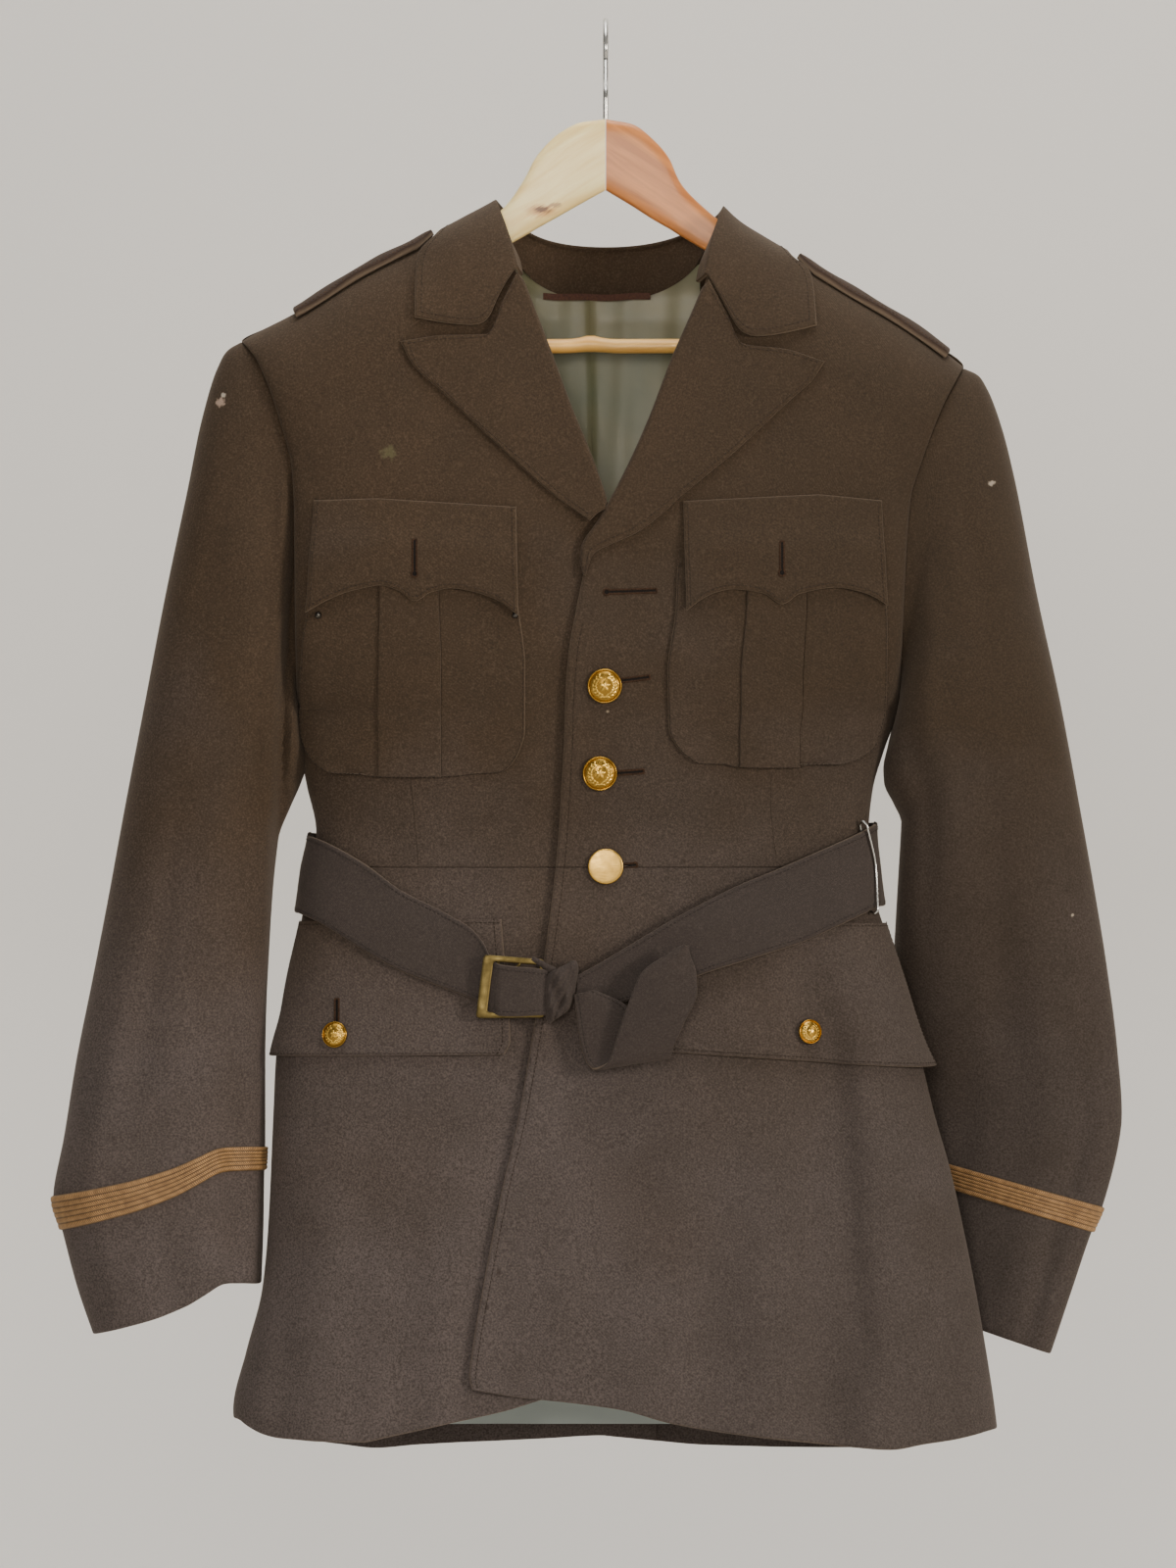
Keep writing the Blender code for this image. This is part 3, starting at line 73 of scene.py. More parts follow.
# Cloth
CLOTH = 0.0020          # wall of the heavy wool
LINING = 0.0010         # wall of the lining
SEAM = 0.0003           # gap between pieces at a seam
REST = 0.0006           # gap under a piece that lies on a panel
UNDER_DROP = CLOTH + 0.0009     # how far an edge that lies under another goes down
POCKET_CLOTH = 0.0018   # wall of a patch pocket
PLEAT_RISE = 0.0014     # how far a box pleat stands out of its pocket
FLAP_CLOTH = 0.0020     # wall of a pocket flap
LAPEL_CLOTH = 0.0026    # wall of a lapel, two layers and canvas
COLLAR_CLOTH = 0.0024   # wall of the collar
BELT_CLOTH = 0.0025     # wall of the belt, two layers
BRAID_CLOTH = 0.0012    # wall of the cuff braid
BRAID_REST = 0.0007     # gap under the cuff braid

# Rounding of the hanging form
SIDE_POWER = 2.6        # superellipse power of the body's cross-section
SPREAD = 1.6            # how closely columns crowd towards the side seams
RIDGE_POWER = 2.2       # rounding over the shoulder
RIDGE_ROUND = 0.060     # depth below the shoulder over which it rounds
SLEEVE_POWER = 2.2      # superellipse power of a sleeve's section
SHOULDER_SLANT = 1.13   # wall measured straight down, over the wall across the slanting shoulder
ARMHOLE_GAP = 1.7       # columns between the armhole's edge and the sleeve
MIDDLE_GAP = 0.25       # columns between the middle and the edge of a back panel
FRONT_COLUMNS = 15      # points across a front panel
BACK_COLUMNS = 13       # points across a back panel

# Body edge of each side, armhole above and side seam below: (row, column)
EDGE_RIGHT = ((347, 246), (368, 262), (424, 284), (481, 298), (520, 300), (650, 301), (722, 303),
              (765, 306), (800, 312), (849, 322), (888, 315), (927, 309), (1028, 289), (1076, 281),
              (1140, 278), (1250, 273), (1315, 267), (1378, 251), (1440, 237), (1470, 241))
EDGE_LEFT = ((373, 984), (417, 961), (473, 940), (511, 929), (581, 924), (650, 921), (722, 917),
             (765, 903), (807, 891), (850, 887), (888, 891), (925, 896), (944, 902), (1004, 921),
             (1095, 944), (1140, 955), (1192, 970), (1259, 985), (1320, 997), (1378, 1007),
             (1430, 1015), (1470, 1020))
# Shoulder ridge: (column, row)
RIDGE = ((228, 360), (246, 347), (307, 315), (368, 277), (453, 234), (500, 209), (528, 208),
         (708, 208), (736, 219), (808, 260), (864, 294), (923, 329), (967, 360), (984, 373), (1002, 384))
# Half depth of the body in mm at its middle, front and back, and at its edge: (row, mm)
FRONT_DEPTH = ((220, 40), (347, 48), (500, 55), (650, 58), (800, 52), (850, 47), (890, 46),
               (950, 51), (1100, 56), (1300, 60), (1480, 62))
BACK_DEPTH = ((220, 38), (347, 46), (500, 50), (700, 50), (850, 43), (890, 42), (960, 46),
              (1100, 50), (1300, 54), (1480, 56))
EDGE_DEPTH = ((340, 31), (420, 34), (520, 34), (600, 31), (640, 28), (680, 21), (700, 16),
              (715, 9), (722, 0), (1480, 0))

# Largest folds of the body: (face, column and row of each end, half width in columns, rise in mm)
FOLDS = (("front", 826, 930, 846, 1490, 27, -7.5), ("front", 876, 960, 898, 1490, 26, 4.0),
         ("front", 723, 1240, 725, 1490, 30, -4.0), ("front", 655, 1290, 650, 1490, 28, 3.5),
         ("front", 290, 1150, 280, 1490, 16, -3.0), ("front", 330, 1150, 322, 1490, 24, 3.0),
         ("front", 420, 1240, 408, 1490, 30, -3.0),
         ("back", 420, 900, 392, 1490, 30, -6.0), ("back", 520, 1000, 512, 1490, 26, 4.0),
         ("back", 720, 1000, 736, 1490, 26, 4.0), ("back", 812, 900, 850, 1490, 30, -6.0),
         ("back", 358, 420, 344, 680, 26, -4.0), ("back", 868, 430, 878, 680, 26, -4.0),
         ("back", 560, 560, 540, 860, 34, 3.0), ("back", 690, 560, 706, 860, 34, -3.0))

# Front panels: (column and row at the front edge or roll line, row at the body's edge)
FRONT_LEFT_ROWS = ((744, 213, 374), (741, 220, 378), (737, 231, 384), (730, 248, 393), (723, 276, 406),
                   (708, 325, 428), (690, 368, 462), (665, 430, 500), (642, 482, 540),
                   (619, 526, 580), (598, 576, 622), (588, 622, 660),
                   (580, 668, 694), (577, 710, 722), (576, 750, 752), (573, 800, 800), (570, 850, 850),
                   (567, 885, 885), (563, 920, 920), (557, 965, 965), (547, 1035, 1035), (537, 1095, 1095),
                   (526, 1155, 1155), (512, 1215, 1215), (499, 1280, 1285), (487, 1345, 1350),
                   (479, 1400, 1420))
FRONT_RIGHT_ROWS = ((500, 212, 348), (503, 219, 351), (507, 229, 355), (514, 243, 361),
                    (526, 275, 372), (543, 322, 396), (560, 365, 424),
                    (581, 422, 456), (599, 462, 490), (613, 500, 525), (640, 552, 565), (646, 600, 610),
                    (648, 645, 654), (648, 690, 696), (647, 722, 722), (645, 765, 765), (642, 805, 805),
                    (640, 850, 850), (639, 885, 885), (637, 925, 925), (631, 975, 975), (621, 1035, 1035),
                    (611, 1095, 1095), (600, 1155, 1155), (586, 1215, 1215), (573, 1280, 1285),
                    (562, 1345, 1350), (555, 1400, 1420))
# Front edge of the upper (left) front, over which the right front lies lower: (row, column)
OVERLAP_EDGE = ((470, 640), (526, 612), (560, 600), (622, 588), (710, 577), (850, 570), (965, 557),
                (1095, 537), (1215, 512), (1345, 487), (1430, 478))
OVERLAP_RAMP = 34.0     # columns over which the under front goes down
# Hems: (column, row)
HEM_LEFT = ((482, 1417), (512, 1423), (556, 1427), (629, 1436), (703, 1456), (770, 1465), (864, 1475),
            (902, 1480), (923, 1476), (981, 1468), (1020, 1458))
HEM_RIGHT = ((553, 1427), (538, 1433), (497, 1443), (447, 1454), (372, 1471), (320, 1470), (278, 1467),
             (259, 1461), (240, 1448))
HEM_BACK = ((240, 1449), (290, 1470), (377, 1482), (428, 1478), (495, 1475), (540, 1474), (602, 1468),
            (629, 1471), (717, 1479), (800, 1481), (899, 1481), (970, 1472), (1020, 1459))
# Back neckline from the middle to each shoulder: (column, row)
NECK_RIGHT = ((617, 300), (575, 297), (543, 285), (520, 258), (500, 212))
NECK_LEFT = ((619, 300), (661, 297), (696, 286), (722, 258), (744, 213))
# Back panels: (row at the middle, row at the body's edge), then the vent's overlap in columns
BACK_ROWS = ((342, 388), (375, 410), (414, 440), (460, 480), (515, 528), (575, 582), (632, 636),
             (682, 684), (722, 722), (762, 762), (805, 805), (850, 850), (890, 890), (940, 940),
             (1000, 1000), (1070, 1070), (1150, 1150), (1235, 1235), (1320, 1320), (1405, 1400))
# Rows just under the shoulder and the neckline: rows below the shoulder, and where their columns stand
# as distances from the middle
YOKE_STEPS = (6.0, 16.0, 32.0)
YOKE_COLUMNS = (0.3, 28, 57, 80, 96, 107, 117, 148, 188, 238, 288, 334, 366)
YOKE_FADE = (0.65, 0.4, 0.2)    # how much the next rows still follow these columns
VENT_ROWS = (1070, 1085)
VENT_OVERLAP = 52.0
VENT_RAMP = 50.0        # columns over which the vent's under side goes down

# Back lining where it shows: (name, rows, share of the half width, columns)
LININGS = (("lining_neck", (312, 350, 400, 460, 520, 590, 650), 0.175, 9),
           ("lining_hem", (1200, 1280, 1360, 1457), 0.48, 13))

# Lapels, from the gorge to the break of the roll: rows of (column, row) points
LAPEL_LEFT = (((723, 287), (741, 320), (758, 352), (800, 357), (841, 370)),
              ((709, 322), (737, 350), (768, 372), (800, 384), (829, 388)),
              ((690, 366), (719, 384), (752, 396), (781, 404), (804, 411)),
              ((666, 429), (688, 437), (711, 446), (731, 455), (748, 463)),
              ((643, 480), (659, 484), (674, 489), (688, 496), (701, 502)),
              ((618, 527), (627, 529), (636, 532), (645, 536), (655, 541)),
              ((597, 562), (599, 563), (601, 564), (603, 565), (605, 567)))
LAPEL_RIGHT = (((528, 279), (513, 308), (497, 342), (452, 343), (409, 349)),
               ((543, 320), (513, 343), (480, 361), (448, 370), (421, 372)),
               ((559, 362), (531, 380), (500, 391), (470, 396), (446, 396)),
               ((579, 417), (556, 426), (531, 432), (506, 434), (484, 432)),
               ((596, 458), (579, 463), (562, 466), (545, 468), (528, 473)),
               ((608, 490), (596, 494), (585, 497), (574, 500), (563, 504)),
               ((618, 520), (612, 523), (608, 526), (605, 529), (602, 532)))

# Collar, from one front end round the back to the other. Each column has the foot of the stand, the
# fold and four points of the leaf as (column, row), on the coat's front, back or shoulder ridge.
STAND_EASE = 0.0009     # extra room between the stand's foot and the coat
COLLAR_EASE = (0.0014, 0.0034, 0.0037, 0.0032, 0.0024)     # extra lift of the fold and the leaf
COLLAR = (("front", (534, 279), (528, 274), (506, 306), (496, 335), (455, 331), (424, 325)),
          ("front", (532, 264), (523, 258), (506, 286), (480, 307), (452, 303), (424, 297)),
          ("front", (525, 248), (517, 237), (504, 256), (478, 268), (453, 264), (428, 258)),
          ("front", (514, 226), (510, 218), (496, 231), (481, 238), (465, 243), (442, 251)),
          ("ridge", (505, 207), (504, 199), (492, 204), (479, 211), (465, 219), (452, 226)),
          ("back", (514, 228), (512, 214), (497, 228), (483, 237), (468, 247), (456, 257)),
          ("back", (530, 268), (528, 230), (513, 250), (499, 268), (485, 286), (474, 304)),
          ("back", (552, 289), (550, 243), (541, 264), (533, 287), (525, 310), (517, 332)),
          ("back", (582, 301), (582, 250), (580, 272), (577, 297), (574, 322), (571, 345)),
          ("back", (618, 304), (618, 252), (618, 275), (618, 300), (618, 325), (618, 348)),
          ("back", (655, 301), (654, 250), (658, 272), (661, 297), (664, 322), (667, 345)),
          ("back", (686, 289), (688, 243), (697, 264), (705, 287), (713, 310), (721, 332)),
          ("back", (711, 268), (714, 232), (730, 252), (744, 270), (758, 288), (770, 306)),
          ("back", (728, 234), (732, 222), (748, 236), (763, 247), (779, 257), (794, 268)),
          ("ridge", (738, 213), (740, 205), (756, 222), (772, 231), (788, 241), (804, 250)),
          ("front", (729, 234), (732, 224), (748, 240), (764, 251), (784, 261), (806, 270)),
          ("front", (719, 256), (726, 244), (744, 266), (768, 283), (797, 282), (825, 277)),
          ("front", (713, 270), (722, 265), (742, 294), (767, 317), (800, 312), (829, 304)),
          ("front", (710, 286), (720, 282), (741, 314), (759, 347), (797, 342), (832, 334)))

# Sleeves, from the armhole to the cuff: outer and inner (column, row), half depth in mm,
# set back in mm of the outer and the inner edge, share of the armhole's shape
SLEEVE_RIGHT = ((244, 348, 302, 722, 34, 0, 0, 1.0), (230, 357, 300.5, 728, 37, 0, 0, 0.72),
                (219, 378, 299, 735, 40, 0, 0, 0.42), (204, 430, 297, 748, 42, 0, 0, 0.18),
                (190, 500, 294, 768, 43, 0, 0, 0.05), (167, 610, 290, 800, 43, 0, 0, 0.0),
                (146, 720, 284, 850, 42, 0, 0, 0.0), (125, 830, 278, 905, 41, 0, 0, 0.0),
                (110, 912, 274, 968, 40, 0, 0, 0.0), (93, 1000, 271, 1030, 39, 0, 0, 0.0),
                (77, 1080, 270, 1080, 38, 0, 0, 0.0), (64, 1160, 270, 1126, 37, 0, 0, 0.0),
                (53, 1221, 270, 1171, 36, 0, 0, 0.0), (62, 1256, 269, 1195, 36, 0, 0, 0.0),
                (77, 1313, 268, 1255, 35, 0, 0, 0.0), (94, 1363, 266, 1310, 34, 0, 0, 0.0))
SLEEVE_LEFT = ((986, 375, 918, 722, 34, 0, 0, 1.0), (1000, 382, 919, 728, 37, 0, 0, 0.72),
               (1010, 398, 920, 735, 40, 0, 0, 0.42), (1024, 437, 921, 748, 42, 0, 0, 0.18),
               (1037, 490, 922, 768, 43, 0, 0, 0.05), (1059, 605, 922, 800, 43, 0, 0, 0.0),
               (1083, 715, 920, 850, 42, 2, 4, 0.0), (1103, 822, 917, 905, 41, 4, 14, 0.0),
               (1117, 900, 914, 965, 39, 7, 28, 0.0), (1131, 985, 911, 1030, 36, 10, 46, 0.0),
               (1142, 1070, 908, 1080, 33, 14, 60, 0.0), (1147, 1140, 906, 1128, 31, 17, 69, 0.0),
               (1127, 1233, 906, 1172, 30, 19, 76, 0.0), (1116, 1259, 906, 1196, 30, 20, 79, 0.0),
               (1096, 1318, 907, 1262, 29, 21, 82, 0.0), (1074, 1384, 908, 1328, 28, 22, 84, 0.0))
BRAID_RINGS = (12, 13)  # rows of the sleeve tables between which the braid lies
# Sleeve folds: (side, face, place across from outer to inner, first and last ring, half width, rise in mm)
SLEEVE_FOLDS = ((-1, -1, 0.84, 9.5, 16.0, 0.06, -5.0), (-1, -1, 0.60, 4.0, 9.0, 0.09, 2.5),
                (-1, -1, 0.35, 6.0, 12.0, 0.07, -2.5), (-1, 1, 0.55, 6.0, 15.0, 0.09, -4.0),
                (1, -1, 0.16, 10.0, 16.0, 0.05, -3.5), (1, -1, 0.48, 5.0, 11.0, 0.09, -3.0),
                (1, -1, 0.70, 3.0, 8.0, 0.08, 2.0), (1, 1, 0.50, 5.0, 14.0, 0.09, -4.0))

# Chest pockets: (row, outer or left column, right column)
CHEST_POCKET_RIGHT = ((580, 317, 527), (617, 316, 529), (654, 312, 534), (675, 311, 536), (696, 310, 536),
                      (722, 310, 536), (745, 311, 536), (765, 316, 531), (779, 326, 523), (788, 342, 510),
                      (793, 372, 480))
CHEST_POCKET_LEFT = ((578, 691, 903), (623, 689, 903), (686, 681, 902), (742, 682, 896), (758, 688, 891),
                     (770, 698, 879), (779, 716, 852), (783, 742, 815))
PLEAT_COLUMNS = (0.0, 0.08, 0.2, 0.325, 0.35, 0.48, 0.61, 0.635, 0.76, 0.9, 1.0)
PLEAT = (0.34, 0.62)    # the box pleat's place across a pocket
POCKET_EDGE_RISE = 0.0024   # how far a pocket's outer edge stands off
# Chest flaps: top (column, row) and scalloped lower edge (column, row)
CHEST_FLAP_RIGHT = (((321, 511), (385, 509), (527, 518)),
                    ((316, 625), (338, 612), (362, 603), (391, 598), (409, 604), (424, 614), (441, 605),
                     (461, 601), (486, 605), (510, 614), (529, 629)))
CHEST_FLAP_LEFT = (((697, 512), (835, 505), (899, 511)),
                   ((700, 624), (716, 612), (731, 605), (747, 602), (778, 606), (797, 617), (816, 606),
                    (852, 600), (871, 603), (888, 609), (902, 618)))
CHEST_FLAP_LIFT = ((0.0, 0.6), (0.25, 1.6), (0.55, 4.4), (1.0, 4.4))   # (share of height, mm)
# Skirt flaps: (row and column of the left end, row and column of the right end)
SKIRT_FLAP_RIGHT = ((941, 308, 938, 512), (990, 297, 990, 516), (1035, 289, 1035, 520),
                    (1062, 283, 1062, 521), (1078, 281, 1076, 515))
SKIRT_FLAP_LEFT = ((941, 680, 943, 902), (980, 679, 990, 918), (1020, 679, 1035, 930),
                   (1050, 679, 1068, 938), (1073, 681, 1091, 945))
SKIRT_FLAP_FLARE = 6.0  # how far the left flap's hind corner stands off, in mm
SKIRT_FLAP_CURL = 1.5   # the same for the right flap, in mm
FOLD_ROOM = 0.0012      # extra room under a flap over the skirt's main fold

# Belt: columns of (column, upper row, lower row, lift in mm) from the side to the buckle or knot
BELT_LEFT = ((892, 838, 926, 3.2), (874, 849, 936, 3.6), (823, 873, 958, 5.5), (762, 900, 980, 7.5),
             (721, 921, 993, 8.0), (676, 945, 1009, 8.0), (632, 971, 1024, 7.5), (588.7, 995, 1032, 6.8))
BELT_BACK = ((-1.0, 850, 933, 3.2), (-0.85, 851, 931, 1.2), (-0.5, 850, 928, 0.7), (0.0, 847, 925, 0.7),
             (0.5, 843, 924, 0.7), (0.85, 840, 925, 1.2), (1.0, 839, 926, 3.2))
KNOT = (572, 1012, 30, 54, 17, 0.8)     # column, row, width, height, thickness and lift in mm
# Tail of the belt: stations of (left column, row, right column, row, lift in mm)
TAIL = ((586, 1014, 606, 1010, 13.0), (588, 1032, 634, 1022, 12.8), (591, 1056, 656, 1044, 12.8),
        (597, 1080, 674, 1066, 13.5), (606, 1090, 684, 1077, 17.0), (619, 1084, 686, 1070, 21.0),
        (633, 1046, 698, 1042, 23.0), (646, 1010, 711, 1012, 23.5), (656, 990, 710, 992, 23.5),
        (680, 974, 704, 975, 23.5), (696, 965, 701, 964, 23.5))
TAIL_BASE = (640.0, 1030.0)     # point of the coat from which the tail's lifts are measured
TAIL_BOW = 0.0016       # how far the tail's middle stands out of its edges
# Buckle frame: outer corners and inner corners (column, row), lift and thickness in mm
BUCKLE_OUTER = ((495, 975), (556, 979), (556, 1039), (487, 1039))
BUCKLE_INNER = ((505, 982), (551, 985), (551, 1033), (498, 1033))
BUCKLE_LIFT = 9.8
BUCKLE_THICK = 2.2
# Slide ring round the belt: (column, row, lift in mm)
SLIDE = ((876, 841, 7.8), (884, 886, 7.8), (887, 931, 7.8), (887, 934, 4.6), (887, 931, 1.6),
         (884, 886, 1.6), (876, 841, 1.6), (875, 837, 4.6))
SLIDE_WIRE = 0.0008

# Shoulder loops: (column, row of the ridge is looked up), half width and thickness
LOOP_RIGHT = (443, 300)
LOOP_LEFT = (813, 968)
LOOP_HALF_WIDTH = 0.021
LOOP_CLOTH = 0.0035
LOOP_REST = 0.0009      # gap between the loop and the shoulder's ridge
LOOP_SAG = 0.0042       # how far the loop's long edges bend down

# Buttons: diameter in mm, place (column, row), lift in mm
BUTTON_TOP = (22.5, 617, 700, 0.5)
BUTTON_MIDDLE = (22.5, 612, 789, 0.5)
BUTTON_WAIST = (23.0, 618, 884, 0.9)
BUTTON_FLAP_RIGHT = (17.0, 344, 1056, 3.3)
BUTTON_FLAP_LEFT = (16.0, 822, 1053, 5.6)

# Hanger: (column, upper row, lower row) of each half, then the bar and the wire hook
HANGER_RIGHT = ((617.6, 120, 193), (594, 123, 206), (571, 134, 219), (546, 160, 233), (536, 179, 239),
                (509, 215, 254), (453, 240, 284), (368, 283, 325), (307, 321, 359), (272, 341, 366))
HANGER_LEFT = ((618.4, 120, 193), (645, 125, 209), (667, 141, 223), (683, 160, 232), (694, 184, 239),
               (736, 225, 264), (808, 267, 306), (864, 301, 340), (923, 336, 372), (955, 358, 382))
HANGER_THICK = 0.014
HANGER_CHAMFER = 0.0038
BAR_ROW = 351.0
BAR_RADIUS = 0.0047
HOOK_WIRE = 0.0017
HOOK_INNER = 0.0165     # inside radius of the hook

# Finer folds of the hanging cloth, on top of the largest ones: the same columns as FOLDS
CREASES = (
    # pull from the shoulders and the armholes
    ("front", 300, 420, 322, 560, 15, -1.6), ("front", 318, 400, 352, 520, 20, 1.0),
    ("front", 925, 430, 905, 560, 15, -1.4), ("front", 900, 420, 872, 520, 22, 1.0),
    ("front", 352, 372, 420, 470, 22, -0.8), ("front", 880, 372, 812, 480, 24, -0.8),
    # chest and waist
    ("front", 548, 540, 556, 820, 20, -1.2), ("front", 668, 560, 664, 760, 16, -0.6),
    ("front", 470, 800, 452, 905, 18, -1.0), ("front", 520, 815, 526, 930, 17, 0.9),
    ("front", 372, 800, 352, 880, 18, -1.2), ("front", 700, 800, 715, 900, 20, -0.9),
    ("front", 750, 790, 768, 890, 18, 0.9), ("front", 838, 780, 862, 850, 15, -1.3),
    ("front", 880, 560, 884, 780, 13, 1.2), ("front", 318, 590, 324, 800, 12, 1.0),
    # skirt
    ("front", 470, 1060, 440, 1420, 26, 1.4), ("front", 524, 1100, 508, 1400, 16, -0.9),
    ("front", 588, 1100, 566, 1440, 24, 1.2), ("front", 690, 1090, 694, 1440, 26, 1.3),
    ("front", 770, 1110, 784, 1490, 24, 1.6), ("front", 848, 1000, 886, 1440, 19, -6.5),
    ("front", 906, 1000, 942, 1470, 22, 3.0), ("front", 956, 1200, 976, 1490, 12, -1.6),
    ("front", 300, 1090, 262, 1490, 15, 1.6), ("front", 372, 1100, 362, 1490, 18, -1.3),
    ("front", 600, 950, 640, 1100, 22, -1.2), ("front", 750, 960, 730, 1080, 22, 0.8),
    ("front", 640, 1180, 628, 1360, 34, -0.9), ("front", 860, 1200, 868, 1420, 14, -1.3),
    # back
    ("back", 480, 380, 470, 640, 26, 1.2), ("back", 760, 380, 772, 640, 26, 1.2),
    ("back", 420, 560, 400, 840, 22, -1.6), ("back", 820, 560, 838, 840, 22, -1.6),
    ("back", 600, 760, 588, 900, 20, -1.4), ("back", 650, 720, 668, 880, 18, 1.2),
    ("back", 460, 930, 440, 1490, 20, -1.8), ("back", 770, 930, 790, 1490, 20, -1.8),
    ("back", 330, 940, 300, 1490, 18, 1.8), ("back", 905, 960, 950, 1490, 18, 1.8),
    ("back", 570, 960, 560, 1060, 18, -1.2), ("back", 668, 950, 680, 1200, 20, -1.3),
    ("back", 352, 352, 430, 430, 24, -1.0), ("back", 884, 360, 806, 440, 24, -1.0))
RIPPLE = 0.00028        # height of the cloth's small unevenness
# Finer sleeve folds: the same columns as SLEEVE_FOLDS
SLEEVE_CREASES = ((-1, -1, 0.62, 1.0, 7.0, 0.08, -1.2),
                  (-1, -1, 0.52, 8.0, 13.0, 0.06, 1.4),
                  (-1, -1, 0.775, 11.0, 16.5, 0.02, 1.2),
                  (1, -1, 0.50, 4.0, 9.0, 0.09, 1.2),
                  (-1, -1, 0.22, 1.0, 6.0, 0.07, -1.8), (-1, -1, 0.45, 1.5, 5.0, 0.08, 1.5),
                  (-1, -1, 0.74, 2.0, 7.5, 0.05, -1.6), (-1, -1, 0.90, 3.0, 9.0, 0.05, 1.4),
                  (-1, -1, 0.18, 8.0, 15.5, 0.06, 1.5), (-1, -1, 0.48, 9.5, 16.5, 0.07, -1.3),
                  (-1, -1, 0.66, 10.0, 15.0, 0.05, 1.3), (-1, 1, 0.25, 3.0, 10.0, 0.08, 2.0),
                  (-1, 1, 0.78, 5.0, 14.0, 0.07, 2.0), (1, -1, 0.30, 1.0, 6.0, 0.07, -1.5),
                  (1, -1, 0.62, 1.0, 5.0, 0.07, 1.5), (1, -1, 0.84, 3.0, 9.0, 0.06, -1.6),
                  (1, -1, 0.32, 8.0, 15.0, 0.07, 1.5), (1, -1, 0.66, 9.0, 15.5, 0.06, -1.5),
                  (1, 1, 0.25, 3.0, 10.0, 0.08, 2.0), (1, 1, 0.78, 5.0, 14.0, 0.07, 2.0))
EDGE_TURN = 0.0017      # width over which a turned cloth edge rounds down
ROLL_TURN = 0.0030      # how far a lapel's roll wraps round the edge under it

EDGE_LIFT = 0.0018      # how far the closing edge stands off the front under it
# The lapels taper out along the front's edge: rows of (column, row) points past the tables' last
LAPEL_TIP = {"lapel_left": (((595.5, 587), (596.0, 587.4), (596.5, 587.8), (597.0, 588.2), (597.5, 588.6)),),
             "lapel_right": ()}
# Cloth that hangs under each armhole, as (row, columns further in)
UNDERARM = {-1: ((300, 0.0), (715, 0.0), (735, 8.0), (760, 16.0), (780, 20.0), (800, 16.0), (825, 8.0),
                 (857, 0.0), (1400, 0.0)),
            1: ((300, 0.0), (715, 0.0), (735, -7.0), (760, -15.0), (785, -20.0), (800, -19.0), (820, -9.0),
                (840, 0.0), (1400, 0.0))}
# Folds of the right sleeve beside the body: (row, column) path, half width in columns, rise in mm
INNER_FOLD = ((440, 300), (490, 297), (560, 294), (640, 288), (720, 282), (790, 279.5), (900, 278), (1000, 279))
INNER_FOLDS = ((-7.0, 6.0, 2.6), (8.0, 6.5, -9.0))     # columns beside the path, half width, rise in mm
LINING_TOP = ((430, 262), (500, 262), (530, 268), (552, 287), (582, 299), (618, 302), (655, 299), (686, 287),
              (711, 268), (740, 262), (830, 262))
# How far the right cuff's end and its braid bend away from a straight line: (place across, columns down)
CUFF_BEND = ((0.0, 0.0), (0.15, 2.0), (0.35, 3.0), (0.55, 0.0), (0.68, -6.0), (0.78, -11.0), (0.88, -7.0),
             (1.0, 0.0))

# Seams drawn on the fronts: (column, row) points
DARTS = (((419, 794), (421, 815), (424, 845), (427, 882)), ((787, 788), (786, 815), (788, 845), (792, 876)))
SEAM_GROOVE = 0.0010    # depth of a seam
WAIST_ROW_LEFT = 17     # coarse row of the front tables along which the waist is sewn
WAIST_ROW_RIGHT = 18

# Buttonholes: (column, row) of the keyhole's round end, then of its plain end
BUTTONHOLES = ((619, 604.5, 670, 603), (632, 695, 663, 691), (628, 789, 657, 787), (632, 884, 650, 882),
               (423.5, 586, 423.5, 551), (797.5, 585, 797.5, 553), (344, 1046, 344, 1019))
# the slit inside a buttonhole is a dark sheet of painted shadow
SLIT_HALF = 1.15        # half width of the dark slit inside a buttonhole's thread, in columns
SLIT_EYE = 2.3          # radius of its eye, in columns
HOLE_PITCH = 0.00055    # between the stitches round a buttonhole
HOLE_STITCH = 0.00150
HOLE_THREAD = 0.00032
BELT_STATIONS = 190     # columns along a front length of the belt
# Small press studs under the corners of the right chest flap: (column, row)
STUDS = ((325, 628), (526, 628))

# Marks on the cloth: (column, row, radius in mm, colour, strength)
MARKS = ((225, 410, 3.6, "#b49a86", 0.75), (228, 403, 2.0, "#c7b7a4", 0.7), (1012, 493, 2.6, "#b9ab97", 0.6),
         (397, 462, 5.5, "#5e5a3e", 0.55), (509, 1298, 2.6, "#2d241d", 0.6), (497, 1333, 2.0, "#2d241d", 0.6),
         (625, 413, 1.5, "#2d241d", 0.6), (1095, 934, 1.2, "#b9ab97", 0.6), (620, 726, 1.1, "#9a8a74", 0.6))

BRAID_WIDTH = 0.0127    # half-inch braid

